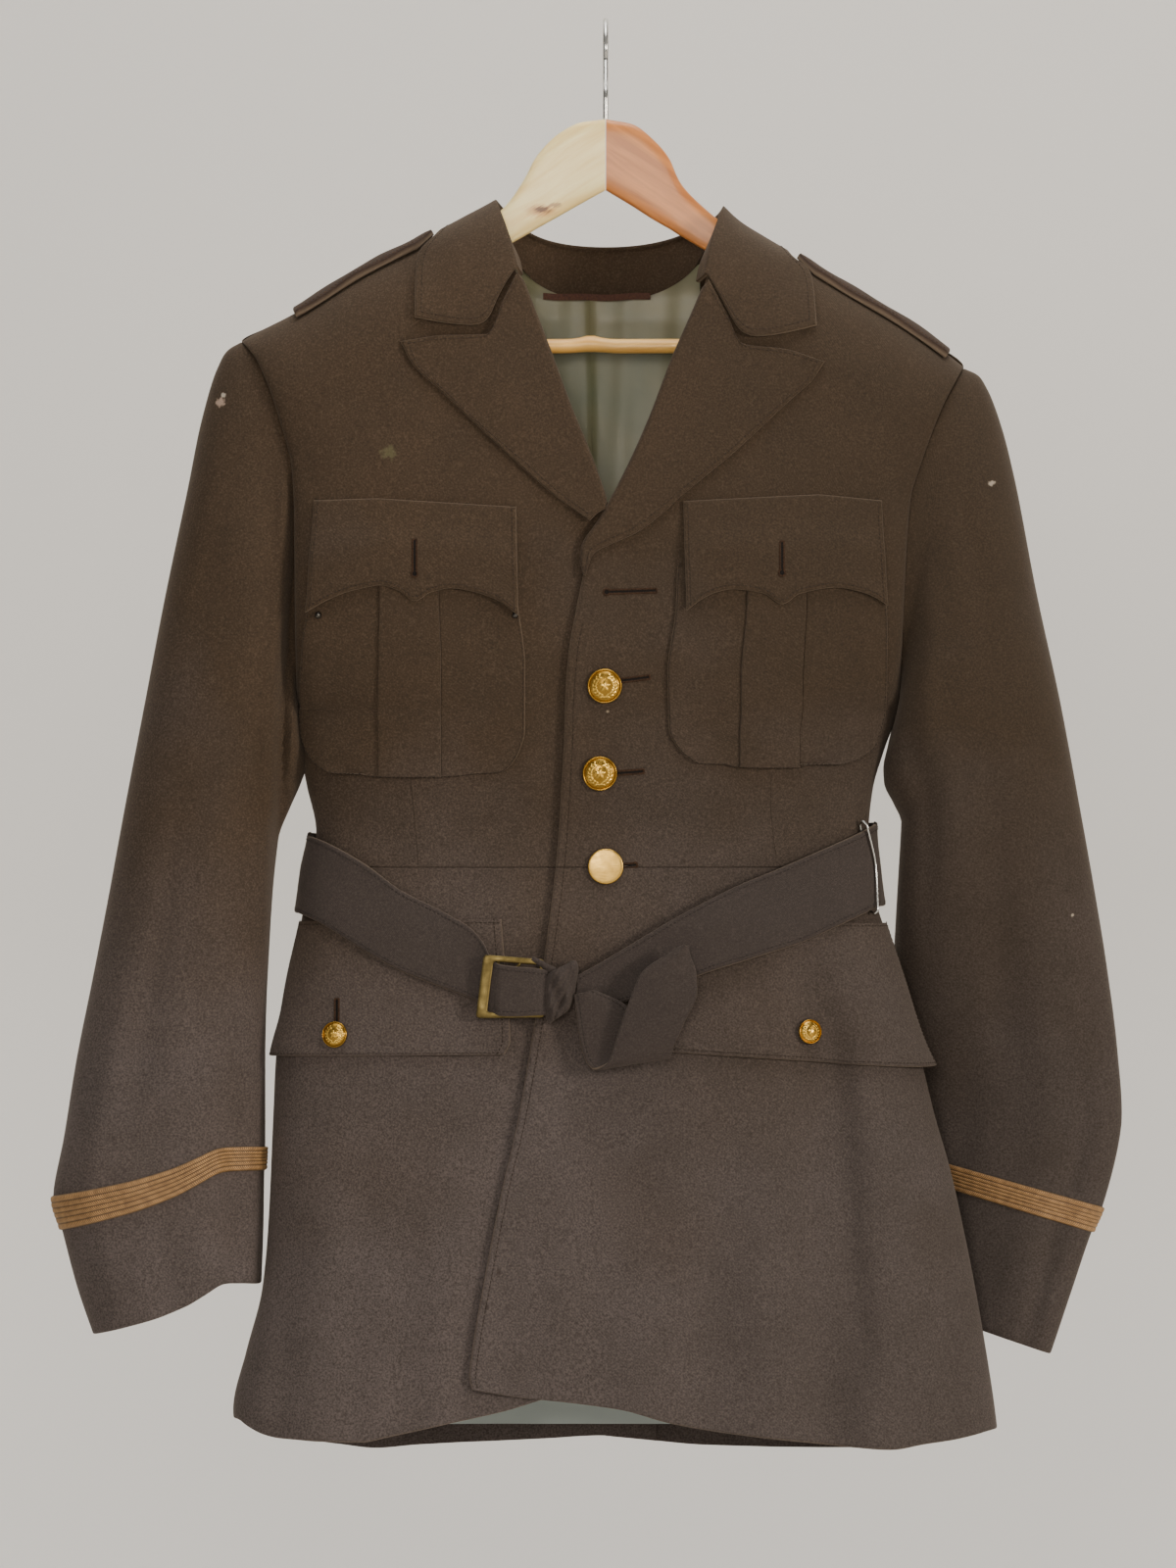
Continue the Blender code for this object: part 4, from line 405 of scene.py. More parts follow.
STITCH_PITCH = 0.0028   # from one stitch to the next
STITCH_LENGTH = 0.0021
STITCH_THICK = 0.00030
def through(table, at):
    """Smooth curve that goes through a table's rows without overshooting them."""
    x, y = (np.array(column, dtype=float) for column in zip(*table))
    step = np.diff(x)
    rate = np.diff(y) / step
    slope = np.zeros(len(x))
    slope[0], slope[-1] = rate[0], rate[-1]
    product = rate[:-1] * rate[1:]
    both = np.where(np.abs(rate[:-1] + rate[1:]) < 1e-12, 1.0, rate[:-1] + rate[1:])
    slope[1:-1] = np.where(product > 0, 2 * product / both, 0.0)
    at = np.clip(np.asarray(at, dtype=float), x[0], x[-1])
    k = np.clip(np.searchsorted(x, at, side="right") - 1, 0, len(step) - 1)
    t = (at - x[k]) / step[k]
    return (y[k] * (2 * t**3 - 3 * t**2 + 1) + step[k] * slope[k] * (t**3 - 2 * t**2 + t)
            + y[k + 1] * (3 * t**2 - 2 * t**3) + step[k] * slope[k + 1] * (t**3 - t**2))


def smoothstep(low, high, at):
    t = np.clip((at - low) / (high - low), 0.0, 1.0)
    return t * t * (3 - 2 * t)


def side_column(row, sign, inset=0.0):
    """Grid column of the body's edge on one side, moved in by inset metres."""
    left = through(EDGE_LEFT, row) - inset / UNIT
    right = through(EDGE_RIGHT, row) + inset / UNIT
    return np.where(sign > 0, left, right)


def place_of(column, row):
    """Place across the body: -1 at the right side seam, 0 in the middle, 1 at the left side seam."""
    column, row = np.asarray(column, dtype=float), np.asarray(row, dtype=float)
    sign = np.where(column >= MID, 1.0, -1.0)
    edge = side_column(row, sign)
    share = np.clip((edge - column) / (edge - MID), 0.0, 1.0)
    return sign * (1 - share ** (1 / SPREAD))


def column_of(place, row, inset=0.0):
    sign = np.where(np.asarray(place) >= 0, 1.0, -1.0)
    edge = side_column(row, sign, inset)
    return edge - (1 - np.abs(place)) ** SPREAD * (edge - MID)


def fold_rise(column, row, face):
    """Sum of the folds of one face, in metres."""
    rise = np.zeros(np.broadcast(column, row).shape)
    for side, c0, r0, c1, r1, width, height in FOLDS + CREASES:
        if side != face:
            continue
        length = math.hypot(c1 - c0, r1 - r0)
        ahead = ((column - c0) * (c1 - c0) + (row - r0) * (r1 - r0)) / length
        away = ((column - c0) * (r1 - r0) - (row - r0) * (c1 - c0)) / length
        reach = min(90.0, length / 2)
        fade = smoothstep(0, reach, ahead) * smoothstep(0, reach, length - ahead + reach * (r1 > 1480))
        rise = rise + 0.001 * height * np.exp(-(away / width) ** 2) * fade
    return rise + ripple(column, row, face)


def body_point(place, row, face, lift=0.0, inset=0.0, dip=0.0):
    """Point of the body's front or back surface, set in by inset and lowered by dip."""
    place, row = np.asarray(place, dtype=float), np.asarray(row, dtype=float)

    def at(q, r):
        column = column_of(q, r, inset)
        below = (r - through(RIDGE, column)) * UNIT
        r_in = r + inset * SHOULDER_SLANT / UNIT * np.clip(1 - below / RIDGE_ROUND, 0.0, 1.0)
        share = (1 - np.abs(q)) ** SPREAD
        round_side = (1 - np.abs(1 - share) ** SIDE_POWER) ** (1 / SIDE_POWER)
        middle = 0.001 * through(FRONT_DEPTH if face == "front" else BACK_DEPTH, r) - inset
        edge = 0.001 * through(EDGE_DEPTH, r) * (1 - inset / 0.034)
        low = np.clip((r_in - through(RIDGE, column)) * UNIT - inset * SHOULDER_SLANT, 0, RIDGE_ROUND)
        low = low / RIDGE_ROUND
        over = (1 - (1 - low) ** RIDGE_POWER) ** (1 / RIDGE_POWER)
        depth = (edge + (middle - edge) * round_side + fold_rise(column, r, face) * round_side) * over
        depth = SEAM / 2 + np.maximum(depth - dip, 0.0)
        return np.stack([(column - MID) * UNIT, depth * (-1 if face == "front" else 1),
                         (TOP - r_in) * UNIT - HOOK_DROP], axis=-1)

    here = at(place, row)
    if not np.any(lift):
        return here
    inward = at(place * (1 - 0.004) - np.where(np.abs(place) < 0.01, 0.002, 0.0), row)
    down = at(place, row + 0.4)
    across = (here - inward) * np.where(place >= 0, 1.0, -1.0)[..., None]
    across = np.where((np.abs(place) < 0.01)[..., None], here - inward, across)
    normal = np.cross(down - here, across) * (1 if face == "front" else -1)
    length = np.linalg.norm(normal, axis=-1, keepdims=True)
    normal = normal / np.maximum(length, 1e-12)
    return here + normal * np.asarray(lift, dtype=float)[..., None]


def fill_rows(grid, count):
    """More rows between the rows of a grid, along smooth curves down its columns."""
    rows = grid.shape[0]
    known = np.arange(rows)
    wanted = np.linspace(0, rows - 1, count)
    return np.stack([np.stack([through(tuple(zip(known, grid[:, j, k])), wanted)
                               for k in range(grid.shape[2])], axis=-1)
                     for j in range(grid.shape[1])], axis=1)


def row_to_side(column, row, edge_row, sign, count, line=None, shares=None):
    """Places and rows from a start point to the body's edge, level or along a line."""
    start = float(place_of(column, row))
    places = start + (sign - start) * (np.linspace(0, 1, count) if shares is None else shares)
    rows = np.linspace(row, edge_row, count)
    for _ in range(6):
        columns = column_of(places, rows)
        if line is None:
            end = column_of(np.array(float(sign)), edge_row)
            rows = row + (edge_row - row) * (columns - column) / (end - column)
        else:
            known = sorted(line)
            rows = np.interp(columns, [c for c, _ in known], [r for _, r in known])
    return np.stack([places, rows], axis=-1)


def front_grid(rows, hem, sign, count):
    shoulder = [(c, float(through(RIDGE, c))) for c in np.linspace(244, 986, 60)]
    first = rows[0]
    table = [row_to_side(first[0], first[1], first[2], sign, count, shoulder)]
    table += [row_to_side(c, r, e, sign, count) for c, r, e in rows[1:]]
    table.append(row_to_side(hem[0][0], hem[0][1], hem[-1][1], sign, count, hem))
    return np.array(table)


def overlap_dip(place, row):
    """How far the under front lies below the upper one."""
    column = column_of(place, row)
    edge = through(OVERLAP_EDGE, row)
    return UNDER_DROP * smoothstep(edge - OVERLAP_RAMP, edge - 6, column) * smoothstep(430, 500, row)


def back_grid(neck, sign, count, overlap):
    """Places and rows of one half of the back; overlap is the vent's extra width, in columns."""
    middle = MID + sign * MIDDLE_GAP
    line = list(neck) + [(c, float(through(RIDGE, c))) for c in
                         np.linspace(neck[-1][0], 245 if sign < 0 else 985, 40)[1:]]
    edge_row = EDGE_LEFT[0][0] + 1 if sign > 0 else EDGE_RIGHT[0][0] + 1
    yoke = np.abs(place_of(MID + sign * np.array(YOKE_COLUMNS), np.full(count, 340.0)))
    yoke = (yoke - yoke[0]) / (yoke[-1] - yoke[0])
    level = np.linspace(0, 1, count)
    table = [row_to_side(neck[0][0], neck[0][1], edge_row, sign, count, line, yoke)]
    for step in YOKE_STEPS:
        lower = [(c, r + step * min(1.0, 0.35 + 0.65 * abs(c - MID) / 118)) for c, r in line]
        table.append(row_to_side(neck[0][0], lower[0][1], edge_row + step * 0.8, sign, count, lower, yoke))
    for k, (row, edge) in enumerate(BACK_ROWS):
        start = middle - sign * overlap * smoothstep(*VENT_ROWS, row)
        follow = YOKE_FADE[k] if k < len(YOKE_FADE) else 0.0
        table.append(row_to_side(start, row, edge, sign, count, None, yoke * follow + level * (1 - follow)))
    start = middle - sign * overlap
    hem_row = float(np.interp(start, *zip(*HEM_BACK)))
    table.append(row_to_side(start, hem_row, HEM_BACK[-1 if sign > 0 else 0][1], sign, count, HEM_BACK))
    return np.array(table)


def sleeve_point(side, ring, angle, inset=0.0, lift=0.0):
    """Point of a sleeve. Angle 0 is its outer edge and pi its inner edge, over the front."""
    table = SLEEVE_LEFT if side > 0 else SLEEVE_RIGHT
    edge = EDGE_LEFT if side > 0 else EDGE_RIGHT
    ring, angle = np.broadcast_arrays(np.asarray(ring, dtype=float), np.asarray(angle, dtype=float))
    known = range(len(table))
    outer_c, outer_r, inner_c, inner_r, half, back_out, back_in, armhole = (
        through(tuple(zip(known, column)), ring) for column in zip(*table))
    inner_c = inner_c + through(UNDERARM[side], inner_r)
    t = (1 - np.cos(angle)) / 2
    slope = np.hypot(inner_c - outer_c, inner_r - outer_r)
    in_c, in_r = (inner_c - outer_c) / slope, (inner_r - outer_r) / slope
    shift = (inset - lift) / UNIT
    start_c, start_r = outer_c + in_c * shift, outer_r + in_r * shift
    end_c, end_r = inner_c - in_c * shift, inner_r - in_r * shift
    column, row = start_c + (end_c - start_c) * t, start_r + (end_r - start_r) * t
    if side < 0:
        row = row + through(CUFF_BEND, t) * smoothstep(10.0, 12.5, ring)
    first = table[0]
    hole_row = first[1] + (first[3] - first[1]) * t + shift * np.cos(angle)
    hole_c = through(edge, hole_row) + side * ARMHOLE_GAP
    column = column + armhole * (hole_c - first[0] - (first[2] - first[0]) * t)
    oval = (1 - np.abs(np.cos(angle)) ** SLEEVE_POWER) ** (1 / SLEEVE_POWER)
    thin = (0.001 * half - inset + lift) / (0.001 * half)
    below = np.clip((hole_row - first[1] - shift) * UNIT / RIDGE_ROUND, 0, 1)
    over = (1 - (1 - below) ** RIDGE_POWER) ** (1 / RIDGE_POWER)
    hole_depth = 0.001 * through(EDGE_DEPTH, hole_row) * over
    depth = (0.001 * half * oval * (1 - armhole) + hole_depth * armhole) * thin
    depth = depth + ripple(column, row, "front") * smoothstep(0.0, 0.5, oval)
    front = np.where(np.sin(angle) >= 0, -1.0, 1.0)
    for fold_side, face, place, ring_0, ring_1, width, rise in SLEEVE_FOLDS + SLEEVE_CREASES:
        if fold_side == side:
            fade = smoothstep(ring_0, ring_0 + 2, ring) * smoothstep(0, 2, ring_1 - ring)
            bump = 0.001 * rise * np.exp(-((t - place) / width) ** 2) * fade * (front == face)
            depth = depth + bump * smoothstep(0.0, 0.5, oval)
    if side < 0:
        fade = smoothstep(450, 520, row) * smoothstep(0, 90, 1000 - row) * (front < 0)
        for beside, width, rise in INNER_FOLDS:
            away = (column - through(INNER_FOLD, row) - beside) / width
            depth = depth + 0.001 * rise * np.exp(-away ** 2) * fade * smoothstep(0.0, 0.5, oval)
    back = 0.001 * (back_out + (back_in - back_out) * t)
    return np.stack([(column - MID) * UNIT, back + front * depth, (TOP - row) * UNIT - HOOK_DROP], axis=-1)


def ripple(column, row, face):
    """Small unevenness of pressed wool, in metres."""
    turn = 0.7 if face == "front" else 2.1
    wave = (np.sin(column / 23.0 + row / 61.0 + turn) * np.sin(row / 37.0 - column / 71.0 + turn)
            + 0.7 * np.sin(column / 41.0 - row / 29.0 + 2 * turn)
            + 0.5 * np.sin(column / 13.0 + 1.3 * turn) * np.sin(row / 17.0 + column / 47.0))
    return RIPPLE * wave


def resample(grid, down, across):
    """Grid of values read at finer places down and across it, along smooth curves."""
    rows, columns = np.linspace(0, 1, grid.shape[0]), np.linspace(0, 1, grid.shape[1])
    tall = np.stack([np.stack([through(tuple(zip(rows, grid[:, j, k])), down)
                               for k in range(grid.shape[2])], axis=-1)
                     for j in range(grid.shape[1])], axis=1)
    return np.stack([np.stack([through(tuple(zip(columns, tall[i, :, k])), across)
                               for k in range(grid.shape[2])], axis=-1)
                     for i in range(len(down))], axis=0)


def spaced(count, length, extra=()):
    """Places from 0 to 1, evenly spaced but crowded at both ends, where an edge rounds."""
    turn = EDGE_TURN / length
    level = np.linspace(0, 1, count)
    level = level[(level > 1.7 * turn) & (level < 1 - 1.7 * turn)]
    ends = np.array([0.0, 0.08, 0.25, 0.5, 0.75, 1.0, 1.4]) * turn
    return np.unique(np.concatenate([ends, level, 1 - ends, np.asarray(extra, dtype=float)]))


def rounding(places, length):
    """How full a wall is at each place, from an edge's thin rim to 1 a little inside it."""
    away = np.clip(np.minimum(places, 1 - places) * length / EDGE_TURN, 0, 1)
    return 0.30 + 0.70 * np.sqrt(1 - (1 - away) ** 2)


def normals_of(points):
    normal = np.cross(np.gradient(points, axis=0), np.gradient(points, axis=1))
    return normal / np.maximum(np.linalg.norm(normal, axis=-1, keepdims=True), 1e-12)


def lengths(points, axis):
    step = np.linalg.norm(np.diff(points, axis=axis), axis=-1)
    zero = np.zeros_like(np.take(step, [0], axis=axis))
    return np.concatenate([zero, np.cumsum(step, axis=axis)], axis=axis)


PIECES = {}


def add_piece(name, points, faces, material, uv=None, wear=None, sharp=40.0):
    """Object of one mesh, its faces outward, with its own UV map and an attribute of its edges and relief, used for
    wear and, on cloth, a painted highlight.
    """
    points = np.asarray(points, dtype=float)
    quads = np.array([face if len(face) == 4 else (*face, face[-1]) for face in faces])
    a, b, c, d = (points[quads[:, k]] for k in range(4))
    if np.sum(a * (np.cross(b, c) + np.cross(c, d))) < 0:
        faces = [tuple(reversed(face)) for face in faces]
    mesh = bpy.data.meshes.new(name)
    mesh.from_pydata(points.tolist(), [], [tuple(map(int, face)) for face in faces])
    mesh.update()
    if uv is not None:
        layer = mesh.uv_layers.new(name="UVMap")
        corner = np.zeros(len(mesh.loops), dtype=int)
        mesh.loops.foreach_get("vertex_index", corner)
        layer.data.foreach_set("uv", np.asarray(uv, dtype=float)[corner].ravel())
    attribute = mesh.attributes.new("wear", "FLOAT", "POINT")
    attribute.data.foreach_set("value", np.zeros(len(points)) if wear is None else np.asarray(wear, dtype=float))
    mesh.shade_smooth()
    mesh.set_sharp_from_angle(angle=math.radians(sharp))
    piece = bpy.data.objects.new(name, mesh)
    bpy.context.scene.collection.objects.link(piece)
    mesh.materials.append(material)
    return piece


def place_piece(piece, nodes=()):
    """Lets a piece ride with the coat and stand for its solids."""
    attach(piece, "root")
    if nodes:
        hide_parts(*nodes)


def shell(name, outer, inner, material, wear=None, down=None, across=None):
    """Closed cloth wall between two grids of points, kept by name for the sewing on it."""
    rows, columns = outer.shape[:2]
    count = rows * columns
    i, j = (v.ravel() for v in np.meshgrid(range(rows - 1), range(columns - 1), indexing="ij"))
    start = i * columns + j
    top = np.stack([start, start + 1, start + columns + 1, start + columns], axis=-1)
    under = count + top[:, ::-1]
    rim = [j for j in range(columns)] + [i * columns + columns - 1 for i in range(1, rows)]
    rim += [(rows - 1) * columns + j for j in range(columns - 2, -1, -1)]
    rim += [i * columns for i in range(rows - 2, 0, -1)]
    rim = np.array(rim)
    following = np.roll(rim, -1)
    side = np.stack([rim, count + rim, count + following, following], axis=-1)
    faces = np.concatenate([top, under, side]).tolist()
    uv = np.stack([lengths(outer, 1), lengths(outer, 0)], axis=-1).reshape(-1, 2)
    wear = np.zeros(outer.shape[:2]) if wear is None else np.broadcast_to(wear, outer.shape[:2])
    wear = wear.ravel()
    piece = add_piece(name, np.concatenate([outer.reshape(-1, 3), inner.reshape(-1, 3)]), faces, material,
                      uv=np.concatenate([uv, uv]), wear=np.concatenate([wear, wear * 0.5]))
    normal = normals_of(outer)
    if np.sum(normal * (outer - inner)) < 0:
        normal = -normal
    PIECES[name] = (outer, normal, np.linspace(0, 1, rows) if down is None else down,
                    np.linspace(0, 1, columns) if across is None else across)
    return piece


def on_piece(name, down, across, lift=0.0):
    """Points on a shell's outer face at places down and across it."""
    points, normal, rows, columns = PIECES[name]
    down, across = np.broadcast_arrays(np.asarray(down, dtype=float), np.asarray(across, dtype=float))
    i = np.clip(np.searchsorted(rows, down, side="right") - 1, 0, len(rows) - 2)
    j = np.clip(np.searchsorted(columns, across, side="right") - 1, 0, len(columns) - 2)
    s = ((down - rows[i]) / (rows[i + 1] - rows[i]))[..., None]
    t = ((across - columns[j]) / (columns[j + 1] - columns[j]))[..., None]

    def mix(grid):
        return ((grid[i, j] * (1 - t) + grid[i, j + 1] * t) * (1 - s)
                + (grid[i + 1, j] * (1 - t) + grid[i + 1, j + 1] * t) * s)

    aside = mix(normal)
    aside /= np.linalg.norm(aside, axis=-1, keepdims=True)
    return mix(points) + aside * lift


def tube_piece(name, path, radius, sides, material, closed=False, flat=1.0):
    """Round or flattened strand along a path, its ends closed."""
    path = np.asarray(path, dtype=float)
    ahead = np.roll(path, -1, axis=0) - np.roll(path, 1, axis=0)
    if not closed:
        ahead[0], ahead[-1] = path[1] - path[0], path[-1] - path[-2]
    ahead /= np.linalg.norm(ahead, axis=1, keepdims=True)
    across = np.cross(ahead, np.linalg.svd(path - path.mean(axis=0))[2][2])
    across /= np.linalg.norm(across, axis=1, keepdims=True)
    aside = np.cross(ahead, across)
    angles = np.arange(sides) * 2 * math.pi / sides
    rings = (path[:, None] + radius * (np.cos(angles)[None, :, None] * across[:, None]
                                       + flat * np.sin(angles)[None, :, None] * aside[:, None]))
    return loft_piece(name, rings, material, closed=closed)


def loft_piece(name, rings, material, closed=False, sharp=40.0, wear=None):
    """Solid through rings of points, capped at both ends or joined into a loop."""
    rings = np.asarray(rings, dtype=float)
    count, sides = rings.shape[:2]
    faces = []
    for i in range(count if closed else count - 1):
        following = (i + 1) % count
        for j in range(sides):
            k = (j + 1) % sides
            faces.append((i * sides + j, i * sides + k, following * sides + k, following * sides + j))
    points = rings.reshape(-1, 3)
    run = np.cumsum(np.linalg.norm(np.diff(rings.mean(axis=1), axis=0, prepend=rings.mean(axis=1)[:1]), axis=1))
    round_it = lengths(np.concatenate([rings, rings[:, :1]], axis=1), 1)[:, :-1]
    uv = np.stack([round_it, np.broadcast_to(run[:, None], round_it.shape)], axis=-1).reshape(-1, 2)
    worn_and_lit = np.zeros(len(points)) if wear is None else np.asarray(wear, dtype=float).ravel()
    if not closed:
        points = np.concatenate([points, rings[:1].mean(axis=1), rings[-1:].mean(axis=1)])
        uv = np.concatenate([uv, uv[:1], uv[-1:]])
        worn_and_lit = np.concatenate([worn_and_lit, worn_and_lit[:1], worn_and_lit[-1:]])
        for j in range(sides):
            k = (j + 1) % sides
            faces.append((count * sides, k, j))
            faces.append((count * sides + 1, (count - 1) * sides + j, (count - 1) * sides + k))
    return add_piece(name, points, faces, material, uv=uv, wear=worn_and_lit, sharp=sharp)


def body_shell(name, grid, face, low, thick, material, size, counts, dip=None, rounds="tblr", extra=((), ()),
               rise=None):
    """Cloth wall on the body from a coarse grid of places and rows: low is the lift of its under side."""
    tall, wide = size
    down, across = spaced(counts[0], tall, extra[0]), spaced(counts[1], wide, extra[1])
    fine = resample(grid, down, across)
    place, row = fine[..., 0], fine[..., 1]
    full_down = np.where(((down < 0.5) & ("t" in rounds)) | ((down >= 0.5) & ("b" in rounds)),
                         rounding(down, tall), 1.0)
    full_across = np.where(((across < 0.5) & ("l" in rounds)) | ((across >= 0.5) & ("r" in rounds)),
                           rounding(across, wide), 1.0)
    full = np.minimum(full_down[:, None], full_across[None, :])
    under = low(down[:, None], across[None, :]) if callable(low) else np.full(place.shape, low)
    above = under + thick * full
    if rise is not None:
        above = above + rise(down[:, None], across[None, :])
    drop = dip(place, row) if dip else 0.0
    outer = body_point(place, row, face, lift=above, dip=drop)
    inner = body_point(place, row, face, lift=np.broadcast_to(under, place.shape), dip=drop)
    worn_and_lit = 1 - np.clip((full - 0.3) / 0.7, 0, 1)
    return shell(name, outer, inner, material, wear=worn_and_lit, down=down, across=across)


def panel_grid(columns, rows):
    """Coarse grid of places and rows from grids of columns and rows."""
    return np.stack([place_of(columns, rows), rows], axis=-1)


def make_fronts(cloth):
    for name, node, rows, hem, sign, waist in (
            ("coat_front_left", "front_left", FRONT_LEFT_ROWS, HEM_LEFT, 1, WAIST_ROW_LEFT),
            ("coat_front_right", "front_right", FRONT_RIGHT_ROWS, HEM_RIGHT, -1, WAIST_ROW_RIGHT)):
        grid = front_grid(rows, hem, sign, FRONT_COLUMNS)
        at = waist / (len(grid) - 1)
        near = at + np.array([-0.0022, -0.0012, -0.0006, 0.0, 0.0006, 0.0012, 0.0022])

        def groove(down, across, at=at):
            return -SEAM_GROOVE * np.exp(-((down - at) / 0.0007) ** 2) + 0.0 * across

        def low(down, across, sign=sign):
            free = EDGE_LIFT * smoothstep(0.33, 0.46, down) if sign > 0 else 0.0 * down
            return -CLOTH + free * np.exp(-(across / 0.045) ** 2)

        piece = body_shell(name, grid, "front", low, CLOTH, cloth, (0.78, 0.24), (150, 84),
                           dip=overlap_dip if sign < 0 else None, rounds="bl", extra=(near, ()), rise=groove)
        place_piece(piece, (node,))


def vent_dip(place, row):
    column = column_of(place, row)
    under = smoothstep(MID - 2 * VENT_RAMP, MID - VENT_RAMP, column)
    return UNDER_DROP * under * smoothstep(VENT_ROWS[0] - 40, VENT_ROWS[0] - 5, row)


def make_back(cloth, satin):
    for name, node, neck, sign in (("coat_back_left", "back_left", NECK_LEFT, 1),
                                   ("coat_back_right", "back_right", NECK_RIGHT, -1)):
        grid = back_grid(neck, sign, BACK_COLUMNS, VENT_OVERLAP if sign < 0 else 0.0)
        piece = body_shell(name, grid, "back", -CLOTH, CLOTH, cloth, (0.76, 0.23), (150, 72),
                           dip=vent_dip if sign < 0 else None, rounds="bl")
        place_piece(piece, (node,))
    for name, (node, rows, reach, count) in zip(("coat_lining_neck", "coat_lining_hem"), LININGS):
        rows = np.array(rows, dtype=float)
        if node == "lining_neck":
            rows[0] = 297.0
        place, row = np.meshgrid(np.linspace(-reach, reach, count), rows)
        fine = resample(np.stack([place, row], axis=-1), np.linspace(0, 1, 90), np.linspace(0, 1, 60))
        place, row = fine[..., 0], fine[..., 1]
        column = column_of(place, row)
        if node == "lining_neck":
            # its upper edge follows the foot of the collar's stand
            top = through(LINING_TOP, column)
            row = row + (top - rows[0]) * np.clip((360 - row) / (360 - rows[0]), 0, 1)
        gap = 3.0 * REST + 0.0026 * smoothstep(0, 30, row - rows[0]) + (0.0019 if rows[0] > 900 else 0.0)
        fold = (0.0004 * np.sin(column / 9.0 + 0.7 * np.sin(row / 60)) + 0.00015 * np.sin(column / 4.3 + row / 90)
                - 0.0012 * np.exp(-((column - 603 - (row - 357) * 0.01) / 2.6) ** 2))
        drop = CLOTH + gap + 0.0004
        outer = body_point(place, row, "back", dip=drop - 0.35 * fold)
        inner = body_point(place, row, "back", dip=drop + LINING - fold)
        piece = shell(name, inner, outer, satin)
        place_piece(piece, (node,))


def make_lapels(cloth):
    for name, node, table in (("coat_lapel_left", "lapel_left", LAPEL_LEFT),
                              ("coat_lapel_right", "lapel_right", LAPEL_RIGHT)):
        down, across = spaced(90, 0.24), spaced(46, 0.09)
        spots = resample(np.array(table + LAPEL_TIP[node], dtype=float), down, across)
        columns, rows = spots[..., 0], spots[..., 1]
        full = np.minimum(rounding(down, 0.24)[:, None],
                          np.where(across < 0.5, 1.0, rounding(across, 0.09))[None])
        under = REST + 0.0016 * np.exp(-(across[None] / 0.22) ** 2) * (1 - down[:, None])
        under = under + 0.0012 * np.exp(-((across[None] - 0.5) / 0.3) ** 2) * (1 - down[:, None])
        above = under + LAPEL_CLOTH * full
        place = place_of(columns, rows)
        outer = body_point(place, rows, "front", lift=above)
        inner = body_point(place, rows, "front", lift=np.broadcast_to(under, rows.shape))
        # the roll: the cloth turns over the front's edge and ends inside the coat
        start = outer[:, :1]
        ahead = start - outer[:, 10:11]
        ahead /= np.linalg.norm(ahead, axis=-1, keepdims=True)
        normal = outer[:, :1] - inner[:, :1]
        normal /= np.linalg.norm(normal, axis=-1, keepdims=True)
        turn = np.linspace(0.9 * math.pi, 0.08 * math.pi, 10)[None, :, None]
        deep = ((under[:, :1] + LAPEL_CLOTH + CLOTH + 0.0012) / 2)[..., None]
        fade = np.clip(np.minimum(down, 1 - down) * 0.24 / 0.012, 0.2, 1)[:, None, None]
        roll = start + ahead * ROLL_TURN * fade * np.sin(turn) - normal * deep * (1 - np.cos(turn))
        middle = start - normal * deep
        outer = np.concatenate([roll, outer], axis=1)
        inner = np.concatenate([middle + (roll - middle) * 0.6, inner], axis=1)
        worn_and_lit = 1 - np.clip((full - 0.3) / 0.7, 0, 1)
        worn_and_lit = np.concatenate([np.zeros((len(down), roll.shape[1])), worn_and_lit], axis=1)
        places = np.concatenate([np.linspace(-0.2, -0.01, roll.shape[1]), across])
        piece = shell(name, outer, inner, cloth, wear=worn_and_lit, down=down, across=places)
        place_piece(piece, (node,))


def make_collar(cloth):
    """Stand, fold and leaf as one folded band."""
    top = REST + COLLAR_CLOTH
    lines = []
    for face, *spots in COLLAR:
        line = []
        for k, (column, row) in enumerate(spots):
            if face == "ridge":
                line.append(np.array([(column - MID) * UNIT, 0.0, (TOP - row) * UNIT - HOOK_DROP]))
                continue
            lift = -(CLOTH + REST + COLLAR_CLOTH + STAND_EASE) if k == 0 else top + COLLAR_EASE[k - 1]
            line.append(body_point(place_of([column], [row]), np.array([float(row)]), face,
                                   lift=np.array([lift]))[0])
        foot, fold = line[0], line[1]
        line.insert(1, foot * 0.45 + fold * 0.55)
        lines.append(line)
    down = spaced(170, 0.46)
    across = np.unique(np.concatenate([np.linspace(0, 1, 40), np.linspace(0.26, 0.42, 16),
                                       1 - np.array([0.0, 0.08, 0.25, 0.5, 0.75, 1.0,
                                                     1.4]) * EDGE_TURN / 0.09]))
    outer = resample(np.array(lines), down, across)
    # the fold is a soft roll, so its lines are rounded across it
    spot = np.arange(1, len(outer) - 1)
    soft = smoothstep(3, 11, np.minimum(spot, len(outer) - 1 - spot))[:, None, None]
    for _ in range(40):
        outer[1:-1] += soft * (0.25 * outer[:-2] - 0.5 * outer[1:-1] + 0.25 * outer[2:])
    for _ in range(16):
        outer[:, 2:-9] = 0.25 * outer[:, 1:-10] + 0.5 * outer[:, 2:-9] + 0.25 * outer[:, 3:-8]
    normal = normals_of(outer)
    centre = np.array([0.0, 0.0, (TOP - 240) * UNIT - HOOK_DROP])
    if np.sum(normal[:, -1] * (outer[:, -1] - centre)) < 0:
        normal = -normal
    full = np.minimum(rounding(down, 0.46)[:, None],
                      np.where(across < 0.5, 1.0, rounding(across, 0.09))[None, :])
    inner = outer - normal * COLLAR_CLOTH
    outer = inner + normal * (COLLAR_CLOTH * full)[..., None]
    worn_and_lit = 1 - np.clip((full - 0.3) / 0.7, 0, 1)
    piece = shell("coat_collar", outer, inner, cloth, wear=worn_and_lit, down=down, across=across)
    place_piece(piece, ("collar",))


